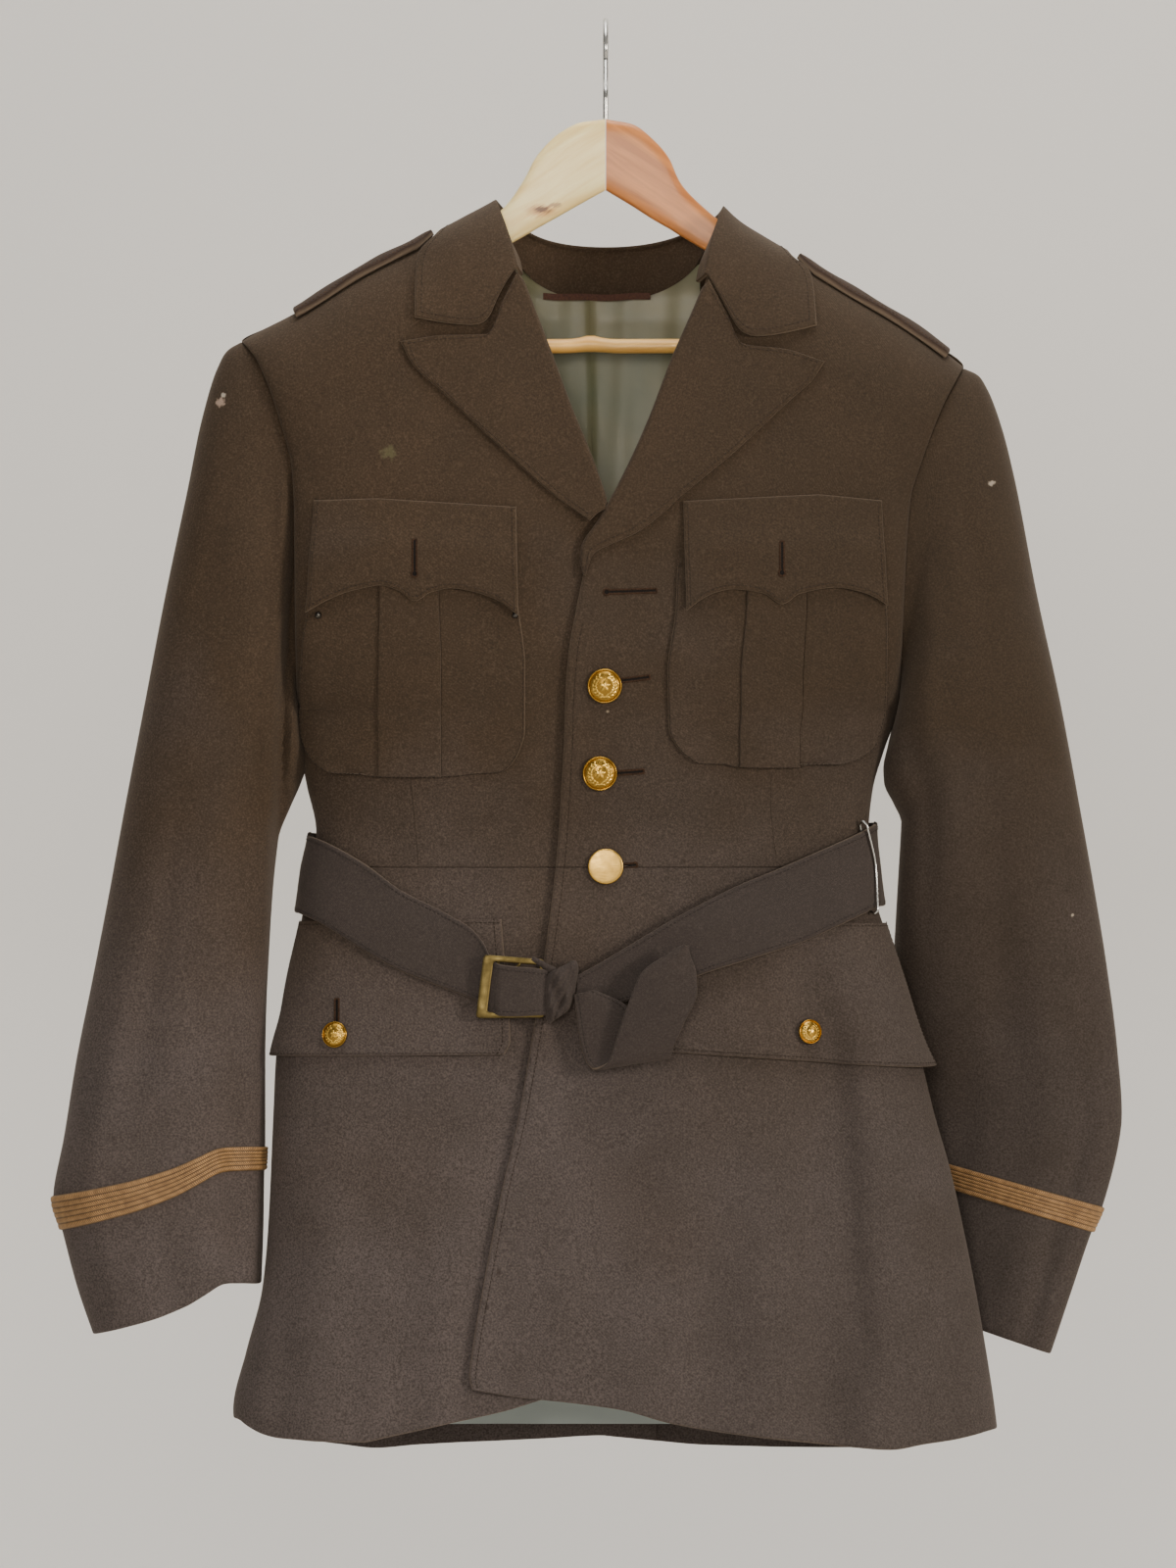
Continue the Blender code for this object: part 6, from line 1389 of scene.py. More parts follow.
def stitch_tree():
    """Geometry Nodes tree that sets stitches along the edges of a mesh, with or across the row."""
    tree = bpy.data.node_groups.get("Row of stitches")
    if tree:
        return tree
    tree = bpy.data.node_groups.new("Row of stitches", "GeometryNodeTree")
    tree.interface.new_socket(name="Geometry", in_out="INPUT", socket_type="NodeSocketGeometry")
    for label in ("Pitch", "Stitch length", "Thread radius"):
        tree.interface.new_socket(name=label, in_out="INPUT", socket_type="NodeSocketFloat")
    tree.interface.new_socket(name="Across the row", in_out="INPUT", socket_type="NodeSocketBool")
    tree.interface.new_socket(name="Thread", in_out="INPUT", socket_type="NodeSocketMaterial")
    tree.interface.new_socket(name="Geometry", in_out="OUTPUT", socket_type="NodeSocketGeometry")
    source = node(tree, "NodeGroupInput").outputs
    curve = node(tree, "GeometryNodeMeshToCurve", {"Mesh": source["Geometry"]})
    spaced_out = node(tree, "GeometryNodeResampleCurve", {"Curve": curve.outputs[0], "Length": source["Pitch"]},
                      mode="LENGTH")
    tangent = node(tree, "GeometryNodeInputTangent")
    across = node(tree, "ShaderNodeVectorMath", {0: tangent.outputs[0], 1: (0.0, 1.0, 0.0)},
                  operation="CROSS_PRODUCT")
    way = node(tree, "GeometryNodeSwitch", {"Switch": source["Across the row"], "False": tangent.outputs[0],
                                            "True": across.outputs[0]}, input_type="VECTOR")
    turn = node(tree, "FunctionNodeAlignRotationToVector", {"Vector": way.outputs[0]}, axis="Z")
    half = node(tree, "ShaderNodeMath", {0: source["Stitch length"], 1: 0.5}, operation="MULTIPLY")
    scale = node(tree, "ShaderNodeCombineXYZ", {"X": source["Thread radius"], "Y": source["Thread radius"],
                                                "Z": half.outputs[0]})
    bead = node(tree, "GeometryNodeMeshUVSphere", {"Segments": 5, "Rings": 4, "Radius": 1.0})
    stitches = node(tree, "GeometryNodeInstanceOnPoints",
                    {"Points": spaced_out.outputs[0], "Instance": bead.outputs[0], "Rotation": turn.outputs[0],
                     "Scale": scale.outputs[0]})
    real = node(tree, "GeometryNodeRealizeInstances", {"Geometry": stitches.outputs[0]})
    coloured = node(tree, "GeometryNodeSetMaterial",
                    {"Geometry": real.outputs[0], "Material": source["Thread"]})
    node(tree, "NodeGroupOutput", {"Geometry": coloured.outputs[0]})
    return tree


def sew(name, rows, thread, pitch, length, radius, across=False):
    """Stitches along rows of points, baked to one plain mesh."""
    points, edges = [], []
    for row in rows:
        start = len(points)
        points += [tuple(point) for point in np.asarray(row)]
        edges += [(k, k + 1) for k in range(start, len(points) - 1)]
    mesh = bpy.data.meshes.new(name)
    mesh.from_pydata(points, edges, [])
    piece = bpy.data.objects.new(name, mesh)
    bpy.context.scene.collection.objects.link(piece)
    modifier = piece.modifiers.new("stitches", "NODES")
    modifier.node_group = stitch_tree()
    values = {"Pitch": pitch, "Stitch length": length, "Thread radius": radius, "Across the row": across,
              "Thread": thread}
    for item in modifier.node_group.interface.items_tree:
        if item.in_out == "INPUT" and item.name in values:
            modifier[item.identifier] = values[item.name]
    shape = piece.evaluated_get(bpy.context.evaluated_depsgraph_get())
    baked = bpy.data.meshes.new_from_object(shape)
    if not len(baked.polygons):
        raise RuntimeError(f"{name}: no stitches were made")
    piece.modifiers.remove(modifier)
    piece.data = baked
    baked.name = name
    baked.shade_smooth()
    if not len(baked.materials):
        baked.materials.append(thread)
    place_piece(piece, ())
    return piece


def edge_row(name, side, away, start=0.0, stop=1.0, lift=0.00012, count=200):
    """Row of points a set distance inside one edge of a shell."""
    points, _, rows, columns = PIECES[name]
    run = np.linspace(start, stop, count)
    if side in "lr":
        first = int(np.argmin(np.abs(columns)))
        wide = lengths(points[:, first:], 1)[:, -1]
        share = np.clip(away / np.interp(run, rows, wide), 0, 0.5)
        return on_piece(name, run, share if side == "l" else 1 - share, lift)
    tall = lengths(points, 0)[-1]
    share = np.clip(away / np.interp(run, columns, tall), 0, 0.5)
    return on_piece(name, share if side == "t" else 1 - share, run, lift)


def front_tree():
    """Search tree of the coat's outer shells, for what is laid on them from the front."""
    points, faces = [], []
    for name in PIECES:
        mesh = bpy.data.objects[name].data
        start = len(points)
        points += [tuple(vertex.co) for vertex in mesh.vertices]
        faces += [tuple(start + k for k in polygon.vertices) for polygon in mesh.polygons]
    return BVHTree.FromPolygons(points, faces)


def laid_on(tree, columns, rows, lift):
    """Points of the coat's front at columns and rows, raised along its normal."""
    spots = []
    for column, row in zip(columns, rows):
        start = ((column - MID) * UNIT, -0.5, (TOP - row) * UNIT - HOOK_DROP)
        place, normal, _, _ = tree.ray_cast(start, (0.0, 1.0, 0.0))
        if place is None:
            raise RuntimeError(f"nothing to lie on at {column}, {row}")
        spots.append(np.array(place) + np.array(normal) * lift)
    return np.array(spots)


def keyhole(eye_column, eye_row, end_column, end_row, half=2.0, eye=3.4):
    """Outline of a keyhole buttonhole in columns and rows: its eye, then its straight slit."""
    ahead = np.array([end_column - eye_column, end_row - eye_row], dtype=float)
    length = np.hypot(*ahead)
    ahead /= length
    aside = np.array([-ahead[1], ahead[0]])
    outline = []
    for along in np.linspace(length, eye, 24):
        outline.append((along, half))
    for turn in np.linspace(0.45, 2 * math.pi - 0.45, 20):
        outline.append((eye * math.cos(turn), eye * math.sin(turn)))
    for along in np.linspace(eye, length, 24):
        outline.append((along, -half))
    outline = np.array(outline)
    spots = np.array([eye_column, eye_row]) + outline[:, :1] * ahead + outline[:, 1:] * aside
    return spots[:, 0], spots[:, 1]


def make_buttonholes(tree, thread, dark):
    rows, points, faces = [], [], []
    for eye_column, eye_row, end_column, end_row in BUTTONHOLES:
        columns, heights = keyhole(eye_column, eye_row, end_column, end_row)
        rim = laid_on(tree, columns, heights, 0.00020)
        rows.append(np.concatenate([rim, rim[:1]]))
        # the slit inside each buttonhole is a near-black sheet of painted shadow
        columns, heights = keyhole(eye_column, eye_row, end_column, end_row, half=SLIT_HALF, eye=SLIT_EYE)
        inner = laid_on(tree, columns, heights, 0.00008)
        half = len(inner) // 2
        start = len(points)
        points += [tuple(point) for point in inner]
        for k in range(half - 1):
            faces.append((start + k, start + k + 1, start + len(inner) - 2 - k, start + len(inner) - 1 - k))
    sew("coat_buttonhole_thread", rows, thread, HOLE_PITCH, HOLE_STITCH, HOLE_THREAD, across=True)
    front = np.array(points) - np.array([0.0, 0.00010, 0.0])
    count = len(front)
    closed = faces + [tuple(count + k for k in reversed(face)) for face in faces]
    piece = add_piece("coat_buttonhole_slits", np.concatenate([front, front + np.array([0.0, 0.0002, 0.0])]),
                      closed, dark)
    place_piece(piece, ())


def make_sewing(thread, belt_thread, loop_thread, hole_thread, dark, steel, settings):
    """Rows of edge stitching, buttonholes, seams and the small studs of the right chest pocket."""
    pitch, length, radius = settings.pitch, settings.stitch, settings.thread
    rows = [edge_row("coat_front_left", "l", 0.0040, 0.42, 0.988, count=500),
            edge_row("coat_lapel_left", "r", 0.0040, 0.02, 0.97),
            edge_row("coat_lapel_left", "t", 0.0040, 0.05, 0.95),
            edge_row("coat_lapel_right", "r", 0.0040, 0.02, 0.97),
            edge_row("coat_lapel_right", "t", 0.0040, 0.05, 0.95),
            edge_row("coat_collar", "r", 0.0040, 0.01, 0.99, count=400),
            edge_row("coat_collar", "t", 0.0040, 0.45, 0.95), edge_row("coat_collar", "b", 0.0040, 0.45, 0.95)]
    for side in ("left", "right"):
        for name, away in (("coat_chest_flap_", 0.0030), ("coat_skirt_flap_", 0.0036),
                           ("coat_chest_pocket_", 0.0016)):
            rows += [edge_row(name + side, "l", away, 0.0, 0.97), edge_row(name + side, "r", away, 0.0, 0.97),
                     edge_row(name + side, "b", away, 0.02, 0.98)]
        rows.append(edge_row("coat_skirt_flap_" + side, "t", 0.0015, 0.0, 1.0))
    sew("coat_edge_stitching", rows, thread, pitch, length, radius)
    rows = []
    for name in ("coat_belt_left", "coat_belt_right", "coat_belt_back"):
        for side in "tb":
            rows.append(edge_row(name, side, 0.0032, 0.01, 0.99, count=400))
    rows += [edge_row("coat_belt_tail", side, 0.0032, 0.01, 0.97) for side in "lr"]
    sew("coat_belt_stitching", rows, belt_thread, pitch, length, radius)
    rows = []
    for name in ("coat_shoulder_loop_left", "coat_shoulder_loop_right"):
        rows += [edge_row(name, side, 0.0035, 0.03, 0.97) for side in "lr"]
    sew("coat_loop_stitching", rows, loop_thread, pitch, length, radius)
    tree = front_tree()
    make_buttonholes(tree, hole_thread, dark)
    # each dart is a thin thread-coloured tube sunk into the cloth: the sewn dart together with the painted shade along
    # its groove
    for k, line in enumerate(DARTS):
        fine = fill_rows(np.array(line, float)[:, None, :], 60)[:, 0]
        path = laid_on(tree, fine[:, 0], fine[:, 1], -0.00020)
        place_piece(tube_piece(f"coat_dart_{k + 1}", path, 0.00032, 8, thread), ())
    for k, (column, row) in enumerate(STUDS):
        spot = laid_on(tree, [column], [row], 0.0)[0]
        angles = np.arange(24) * 2 * math.pi / 24
        rings = [spot + np.stack([0.001 * size * np.cos(angles), np.full(24, -0.001 * height),
                                  0.001 * size * np.sin(angles)], axis=-1)
                 for size, height in ((1.6, -0.3), (2.1, 0.3), (2.2, 0.9), (1.9, 1.5), (1.2, 2.0), (0.9, 2.3),
                                      (0.3, 2.5))]
        place_piece(loft_piece(f"coat_stud_{k + 1}", rings, steel), ())


def make_loop_tape(cloth):
    """Hanging tape sewn inside the back of the neck."""
    run = np.linspace(0, 1, 60)
    columns = 554 + (664 - 554) * run
    rows = 299.5 + 1.4 * np.sin(run * math.pi) + 0.5 * np.sin(run * 13)
    across = np.linspace(-1, 1, 9)
    place = place_of(columns, rows)
    outer, inner = [], []
    for share in across:
        row = rows + 3.4 * share
        drop = CLOTH + 0.0064 + 0.0006 * np.sin(run * 9) + 0.0012 * np.sin(math.pi * run)
        outer.append(body_point(place, row, "back", dip=drop))
        inner.append(body_point(place, row, "back", dip=drop + 0.0011))
    piece = shell("coat_hanging_tape", np.array(inner), np.array(outer), cloth)
    place_piece(piece, ())


def linear(hex_colour):
    """Linear colour with alpha from an sRGB hex value."""
    parts = [int(hex_colour[k:k + 2], 16) / 255 for k in (1, 3, 5)]
    return (*((part / 12.92 if part <= 0.04045 else ((part + 0.055) / 1.055) ** 2.4) for part in parts), 1.0)


def new_material(name):
    material = bpy.data.materials.new(name)
    material.use_nodes = True
    tree = material.node_tree
    tree.nodes.clear()
    shader = node(tree, "ShaderNodeBsdfPrincipled")
    node(tree, "ShaderNodeOutputMaterial", {"Surface": shader.outputs[0]})
    return material, tree, shader


def mixed(tree, factor, first, second, blend="MIX"):
    """Colour mixed from two others by a factor."""
    mix = node(tree, "ShaderNodeMix", {0: factor, 6: first, 7: second}, data_type="RGBA", blend_type=blend)
    return mix.outputs[2]


def spread(tree, value, low, high, to_low=0.0, to_high=1.0):
    return node(tree, "ShaderNodeMapRange", {"Value": value, "From Min": low, "From Max": high,
                                             "To Min": to_low, "To Max": to_high}).outputs[0]


def math_of(tree, operation, first, second):
    return node(tree, "ShaderNodeMath", {0: first, 1: second}, operation=operation).outputs[0]


def felted_wool(name, upper, lower, deep, faded, marks=False, twill=0.0016, sheen=0.14, flecks=0.24):
    """Heavy fulled wool: a matt, faintly twilled face with a short nap, paler at its turned edges from wear and a
    painted highlight.
    """
    material, tree, shader = new_material(name)
    spot = node(tree, "ShaderNodeTexCoord").outputs
    place = node(tree, "ShaderNodeSeparateXYZ", {0: spot["Object"]}).outputs
    broad = node(tree, "ShaderNodeTexNoise", {"Vector": spot["Object"], "Scale": 7.0, "Detail": 3.0}).outputs[0]
    height = math_of(tree, "ADD", place["Z"], spread(tree, broad, 0.3, 0.7, -0.10, 0.10))
    colour = mixed(tree, spread(tree, height, -0.78, -0.40), linear(lower), linear(upper))
    # cloudy wear, about 40 mm across
    cloud = node(tree, "ShaderNodeTexNoise", {"Vector": spot["Object"], "Scale": 24.0, "Detail": 4.0,
                                              "Roughness": 0.6}).outputs[0]
    colour = mixed(tree, spread(tree, cloud, 0.35, 0.75, 0.0, 0.24), colour, linear(deep))
    # flecks of the yarn, about 1.4 mm, as coarse as the picture needs to show them
    fleck = node(tree, "ShaderNodeTexNoise",
                 {"Vector": spot["Object"], "Scale": 820.0, "Detail": 2.0}).outputs[0]
    colour = mixed(tree, spread(tree, fleck, 0.25, 0.70, 0.75, 0.0), colour, linear(deep))
    colour = mixed(tree, spread(tree, fleck, 0.52, 0.78, 0.0, flecks), colour, linear(faded))
    # painted shade: the colour darkens towards +X, the wearer's left side, for the shade that side lies in
    colour = mixed(tree, spread(tree, place["X"], -0.12, 0.30, 0.0, 0.42), colour, linear(deep))
    # turned edges lightened: partly real wear, partly a painted highlight where light catches the rounded rim
    worn_and_lit = node(tree, "ShaderNodeAttribute", attribute_name="wear").outputs["Fac"]
    colour = mixed(tree, spread(tree, worn_and_lit, 0.15, 1.0, 0.0, 0.42), colour, linear("#85735e"))
    if marks:
        front = spread(tree, place["Y"], -0.002, 0.002, 1.0, 0.0)
        grain = node(tree, "ShaderNodeTexNoise",
                     {"Vector": spot["Object"], "Scale": 320.0, "Detail": 3.0}).outputs[0]
        flat = node(tree, "ShaderNodeCombineXYZ", {"X": place["X"], "Z": place["Z"]}).outputs[0]
        for column, row, size, tint, strength in MARKS:
            middle = ((column - MID) * UNIT, 0.0, (TOP - row) * UNIT - HOOK_DROP)
            away = node(tree, "ShaderNodeVectorMath", {0: flat, 1: middle},
                        operation="DISTANCE").outputs["Value"]
            ragged = math_of(tree, "ADD", away, spread(tree, grain, 0.3, 0.7, -0.0008 * size / 2,
                                                       0.0008 * size / 2))
            mask = spread(tree, ragged, 0.0005 * size, 0.001 * size, strength, 0.0)
            colour = mixed(tree, math_of(tree, "MULTIPLY", mask, front), colour, linear(tint))
    tree.links.new(colour, shader.inputs["Base Color"])
    shader.inputs["Roughness"].default_value = 0.93
    shader.inputs["Specular IOR Level"].default_value = 0.18
    shader.inputs["Sheen Weight"].default_value = sheen
    shader.inputs["Sheen Roughness"].default_value = 0.5
    shader.inputs["Sheen Tint"].default_value = linear("#c9b7a4")
    diagonal = node(tree, "ShaderNodeMapping", {"Vector": spot["UV"], "Rotation": (0.0, 0.0, math.radians(58))})
    ribs = node(tree, "ShaderNodeTexWave", {"Vector": diagonal.outputs[0], "Scale": 0.314 / twill,
                                            "Distortion": 0.6, "Detail": 1.0}, wave_type="BANDS").outputs[1]
    nap = node(tree, "ShaderNodeTexNoise", {"Vector": spot["Object"], "Scale": 950.0, "Detail": 3.0}).outputs[0]
    relief_height = math_of(tree, "ADD", math_of(tree, "MULTIPLY", ribs, 0.35), nap)
    bump = node(tree, "ShaderNodeBump", {"Height": relief_height, "Strength": 0.30, "Distance": 0.0005})
    soft = node(tree, "ShaderNodeTexNoise", {"Vector": spot["Object"], "Scale": 60.0, "Detail": 2.0}).outputs[0]
    swell = node(tree, "ShaderNodeBump", {"Height": soft, "Strength": 0.18, "Distance": 0.0015,
                                          "Normal": bump.outputs[0]})
    tree.links.new(swell.outputs[0], shader.inputs["Normal"])
    return material


def satin_lining(name):
    """Rayon satin: a smooth grey-green with a soft shine along its folds."""
    material, tree, shader = new_material(name)
    spot = node(tree, "ShaderNodeTexCoord").outputs
    place = node(tree, "ShaderNodeSeparateXYZ", {0: spot["Object"]}).outputs
    cloud = node(tree, "ShaderNodeTexNoise",
                 {"Vector": spot["Object"], "Scale": 18.0, "Detail": 4.0}).outputs[0]
    upper = mixed(tree, spread(tree, cloud, 0.35, 0.7), linear("#777253"), linear("#5d6249"))
    # painted light: the lining turns much paler low down, at the hem, where light from the floor falls on it
    colour = mixed(tree, spread(tree, place["Z"], -0.75, -0.45), linear("#a6afaa"), upper)
    tree.links.new(colour, shader.inputs["Base Color"])
    shader.inputs["Roughness"].default_value = 0.42
    shader.inputs["Sheen Weight"].default_value = 0.15
    threads = node(tree, "ShaderNodeTexNoise", {"Vector": node(
        tree, "ShaderNodeMapping", {"Vector": spot["UV"], "Scale": (1.0, 0.12, 1.0)}).outputs[0],
        "Scale": 900.0, "Detail": 2.0}).outputs[0]
    bump = node(tree, "ShaderNodeBump", {"Height": threads, "Strength": 0.12, "Distance": 0.0004})
    tree.links.new(bump.outputs[0], shader.inputs["Normal"])
    return material


def mohair_braid(name):
    """Plaited mohair braid: gold-brown ribs with a slanting plait of darker strands."""
    material, tree, shader = new_material(name)
    spot = node(tree, "ShaderNodeTexCoord").outputs
    slant = node(tree, "ShaderNodeMapping", {"Vector": spot["UV"], "Rotation": (0.0, 0.0, math.radians(35))})
    plait = node(tree, "ShaderNodeTexWave", {"Vector": slant.outputs[0], "Scale": 0.314 / 0.0011,
                                             "Distortion": 1.0, "Detail": 1.0}).outputs[1]
    rows = node(tree, "ShaderNodeSeparateXYZ", {0: spot["UV"]}).outputs
    grain = node(tree, "ShaderNodeTexNoise",
                 {"Vector": spot["Object"], "Scale": 260.0, "Detail": 3.0}).outputs[0]
    colour = mixed(tree, spread(tree, plait, 0.2, 0.8), linear("#715030"), linear("#b48a55"))
    colour = mixed(tree, spread(tree, grain, 0.35, 0.7, 0.0, 0.6), colour, linear("#5e4021"))
    # painted shade: the grooves between the braid's ribs are darkened almost to black
    valley = node(tree, "ShaderNodeMath", {0: math_of(tree, "MULTIPLY", rows["Y"], 6 * math.pi / BRAID_WIDTH)},
                  operation="SINE").outputs[0]
    groove = spread(tree, math_of(tree, "ABSOLUTE", valley, 0.0), 0.0, 0.62, 0.96, 0.0)
    colour = mixed(tree, groove, colour, linear("#35220f"))
    tree.links.new(colour, shader.inputs["Base Color"])
    shader.inputs["Roughness"].default_value = 0.62
    shader.inputs["Sheen Weight"].default_value = 0.35
    shader.inputs["Sheen Tint"].default_value = linear("#d8b070")
    bump = node(tree, "ShaderNodeBump", {"Height": plait, "Strength": 0.5, "Distance": 0.0004})
    tree.links.new(bump.outputs[0], shader.inputs["Normal"])
    return material


def metal_finish(name, bright, deep, rough, tarnish, scratch=0.0):
    """Stamped or drawn metal: bright where it is rubbed, darker in its hollows and clouds of tarnish."""
    material, tree, shader = new_material(name)
    spot = node(tree, "ShaderNodeTexCoord").outputs
    cloud = node(tree, "ShaderNodeTexNoise",
                 {"Vector": spot["Object"], "Scale": 140.0, "Detail": 4.0}).outputs[0]
    raised = node(tree, "ShaderNodeAttribute", attribute_name="wear").outputs["Fac"]
    colour = mixed(tree, spread(tree, cloud, 0.4, 0.75, 0.0, tarnish), linear(bright), linear(deep))
    if tarnish > 0.6:
        colour = mixed(tree, spread(tree, raised, 0.05, 0.5, 0.75, 0.0), colour, linear(deep))
    tree.links.new(colour, shader.inputs["Base Color"])
    shader.inputs["Metallic"].default_value = 1.0
    tree.links.new(spread(tree, cloud, 0.3, 0.7, rough * 0.8, rough * 1.3), shader.inputs["Roughness"])
    if scratch:
        lines = node(tree, "ShaderNodeTexNoise", {"Vector": node(
            tree, "ShaderNodeMapping", {"Vector": spot["Object"], "Rotation": (0.0, 0.6, 0.0),
                                        "Scale": (1.0, 1.0, 12.0)}).outputs[0], "Scale": 160.0}).outputs[0]
        bump = node(tree, "ShaderNodeBump", {"Height": lines, "Strength": scratch, "Distance": 0.0003})
        tree.links.new(bump.outputs[0], shader.inputs["Normal"])
    return material


def varnished_wood(name, pale, grain_tint, lean, marks=()):
    """Softwood under thin varnish: long straight grain that follows the arm, with fine pores."""
    material, tree, shader = new_material(name)
    spot = node(tree, "ShaderNodeTexCoord").outputs
    along = node(tree, "ShaderNodeMapping", {"Vector": spot["Object"], "Rotation": (0.0, lean, 0.0),
                                             "Scale": (1.0, 0.11, 0.11)}, vector_type="TEXTURE").outputs[0]
    rings = node(tree, "ShaderNodeTexNoise", {"Vector": along, "Scale": 16.0, "Detail": 5.0,
                                              "Distortion": 0.8}).outputs[0]
    pores = node(tree, "ShaderNodeTexNoise", {"Vector": along, "Scale": 110.0, "Detail": 3.0}).outputs[0]
    colour = mixed(tree, spread(tree, rings, 0.35, 0.68), linear(pale), linear(grain_tint))
    colour = mixed(tree, spread(tree, pores, 0.5, 0.75, 0.0, 0.35), colour, linear(grain_tint))
    place = node(tree, "ShaderNodeSeparateXYZ", {0: spot["Object"]}).outputs
    flat = node(tree, "ShaderNodeCombineXYZ", {"X": place["X"], "Z": place["Z"]}).outputs[0]
    for column, row, size, tint in marks:
        middle = ((column - MID) * UNIT, 0.0, (TOP - row) * UNIT - HOOK_DROP)
        off = node(tree, "ShaderNodeVectorMath", {0: flat, 1: middle}, operation="SUBTRACT").outputs[0]
        slim = node(tree, "ShaderNodeVectorMath", {0: off, 1: (0.55, 1.0, 1.3)},
                    operation="MULTIPLY").outputs[0]
        away = node(tree, "ShaderNodeVectorMath", {0: slim}, operation="LENGTH").outputs["Value"]
        ragged = math_of(tree, "ADD", away, spread(tree, pores, 0.3, 0.7, -0.0015, 0.0015))
        colour = mixed(tree, spread(tree, ragged, 0.0004 * size, 0.001 * size, 0.85, 0.0), colour, linear(tint))
    tree.links.new(colour, shader.inputs["Base Color"])
    shader.inputs["Roughness"].default_value = 0.42
    shader.inputs["Coat Weight"].default_value = 0.25
    shader.inputs["Coat Roughness"].default_value = 0.3
    bump = node(tree, "ShaderNodeBump", {"Height": pores, "Strength": 0.08, "Distance": 0.0005})
    tree.links.new(bump.outputs[0], shader.inputs["Normal"])
    return material


def spun_thread(name, light, dark):
    """Twisted silk or cotton sewing thread: fine, with a little shine."""
    material, tree, shader = new_material(name)
    spot = node(tree, "ShaderNodeTexCoord").outputs
    twist = node(tree, "ShaderNodeTexNoise", {"Vector": spot["Object"], "Scale": 800.0}).outputs[0]
    tree.links.new(mixed(tree, spread(tree, twist, 0.3, 0.7), linear(light), linear(dark)),
                   shader.inputs["Base Color"])
    shader.inputs["Roughness"].default_value = 0.8
    shader.inputs["Specular IOR Level"].default_value = 0.2
    return material


FINISHES = {
    "coat wool": lambda: felted_wool("fulled olive-drab wool", "#49392a", "#605653", "#2a241c", "#63584a",
                                     True),
    "belt wool": lambda: felted_wool("fulled belt wool", "#453c37", "#453c37", "#302a27", "#5f5751",
                                     twill=0.0014, flecks=0.14),
    "loop wool": lambda: felted_wool("faded loop wool", "#33241c", "#33241c", "#251a13", "#584435"),
    "satin": lambda: satin_lining("rayon satin lining"),
    "braid": lambda: mohair_braid("plaited mohair braid"),
    "gilt": lambda: metal_finish("gilt stamped brass", "#f5c860", "#86601f", 0.28, 0.62),
    "brass": lambda: metal_finish("rubbed sheet brass", "#d6ac58", "#96702f", 0.34, 0.4, 0.25),
    "dull brass": lambda: metal_finish("tarnished cast brass", "#74643c", "#33290f", 0.42, 0.55, 0.15),
    "steel": lambda: metal_finish("plated steel wire", "#cfcdc6", "#8d8b84", 0.25, 0.3),
    "dark steel": lambda: metal_finish("blackened press stud", "#55514b", "#1c1a18", 0.3, 0.4),
    # the two halves are woods of different tone, and the pale half is also painted lighter and the orange half darker,
    # for the light each catches at its angle
    "pale wood": lambda: varnished_wood("pale varnished pine", "#ffe9a6", "#f0cd80", math.radians(-33),
                                        ((552, 214, 6.5, "#cf8f4e"), (553, 213, 3.4, "#4a2614"),
                                         (566, 208, 2.6, "#b98e63"))),
    "orange wood": lambda: varnished_wood("orange varnished pine", "#cf8340", "#ad6426", math.radians(33)),
    "bar wood": lambda: varnished_wood("turned pale dowel", "#f5bf62", "#dc9f47", 0.0),
    "thread": lambda: spun_thread("cloth-coloured silk thread", "#3c3127", "#272019"),
    "belt thread": lambda: spun_thread("grey-brown belt thread", "#3c3530", "#27221f"),
    "loop thread": lambda: spun_thread("tan cotton thread", "#563f2a", "#3b2919"),
    "hole thread": lambda: spun_thread("dark brown buttonhole twist", "#4a3322", "#2c1e13"),
    # painted shadow for the buttonhole slits, made with the thread shader in near-black
    "slit": lambda: spun_thread("painted shadow inside a slit", "#16100b", "#0f0b08"),
    "tape": lambda: spun_thread("red-brown hanging tape", "#5a3d30", "#46302a"),
}
MADE = {}


def finish_of(key):
    """One material for each finish, made when it is first used."""
    if key not in MADE:
        MADE[key] = FINISHES[key]()
    return MADE[key]


class CoatSewing(bpy.types.PropertyGroup):
    """Sizes of the stitches."""
    pitch: bpy.props.FloatProperty(
        name="Stitch pitch", description="From one stitch to the next along a row",
        default=STITCH_PITCH, min=0.001, max=0.01, subtype="DISTANCE", unit="LENGTH")
    stitch: bpy.props.FloatProperty(
        name="Stitch length", description="Length of the thread that shows in one stitch",
        default=STITCH_LENGTH, min=0.0005, max=0.008, subtype="DISTANCE", unit="LENGTH")
    thread: bpy.props.FloatProperty(
        name="Thread radius", description="Half the thickness of the sewing thread",
        default=STITCH_THICK, min=0.0001, max=0.001, subtype="DISTANCE", unit="LENGTH")


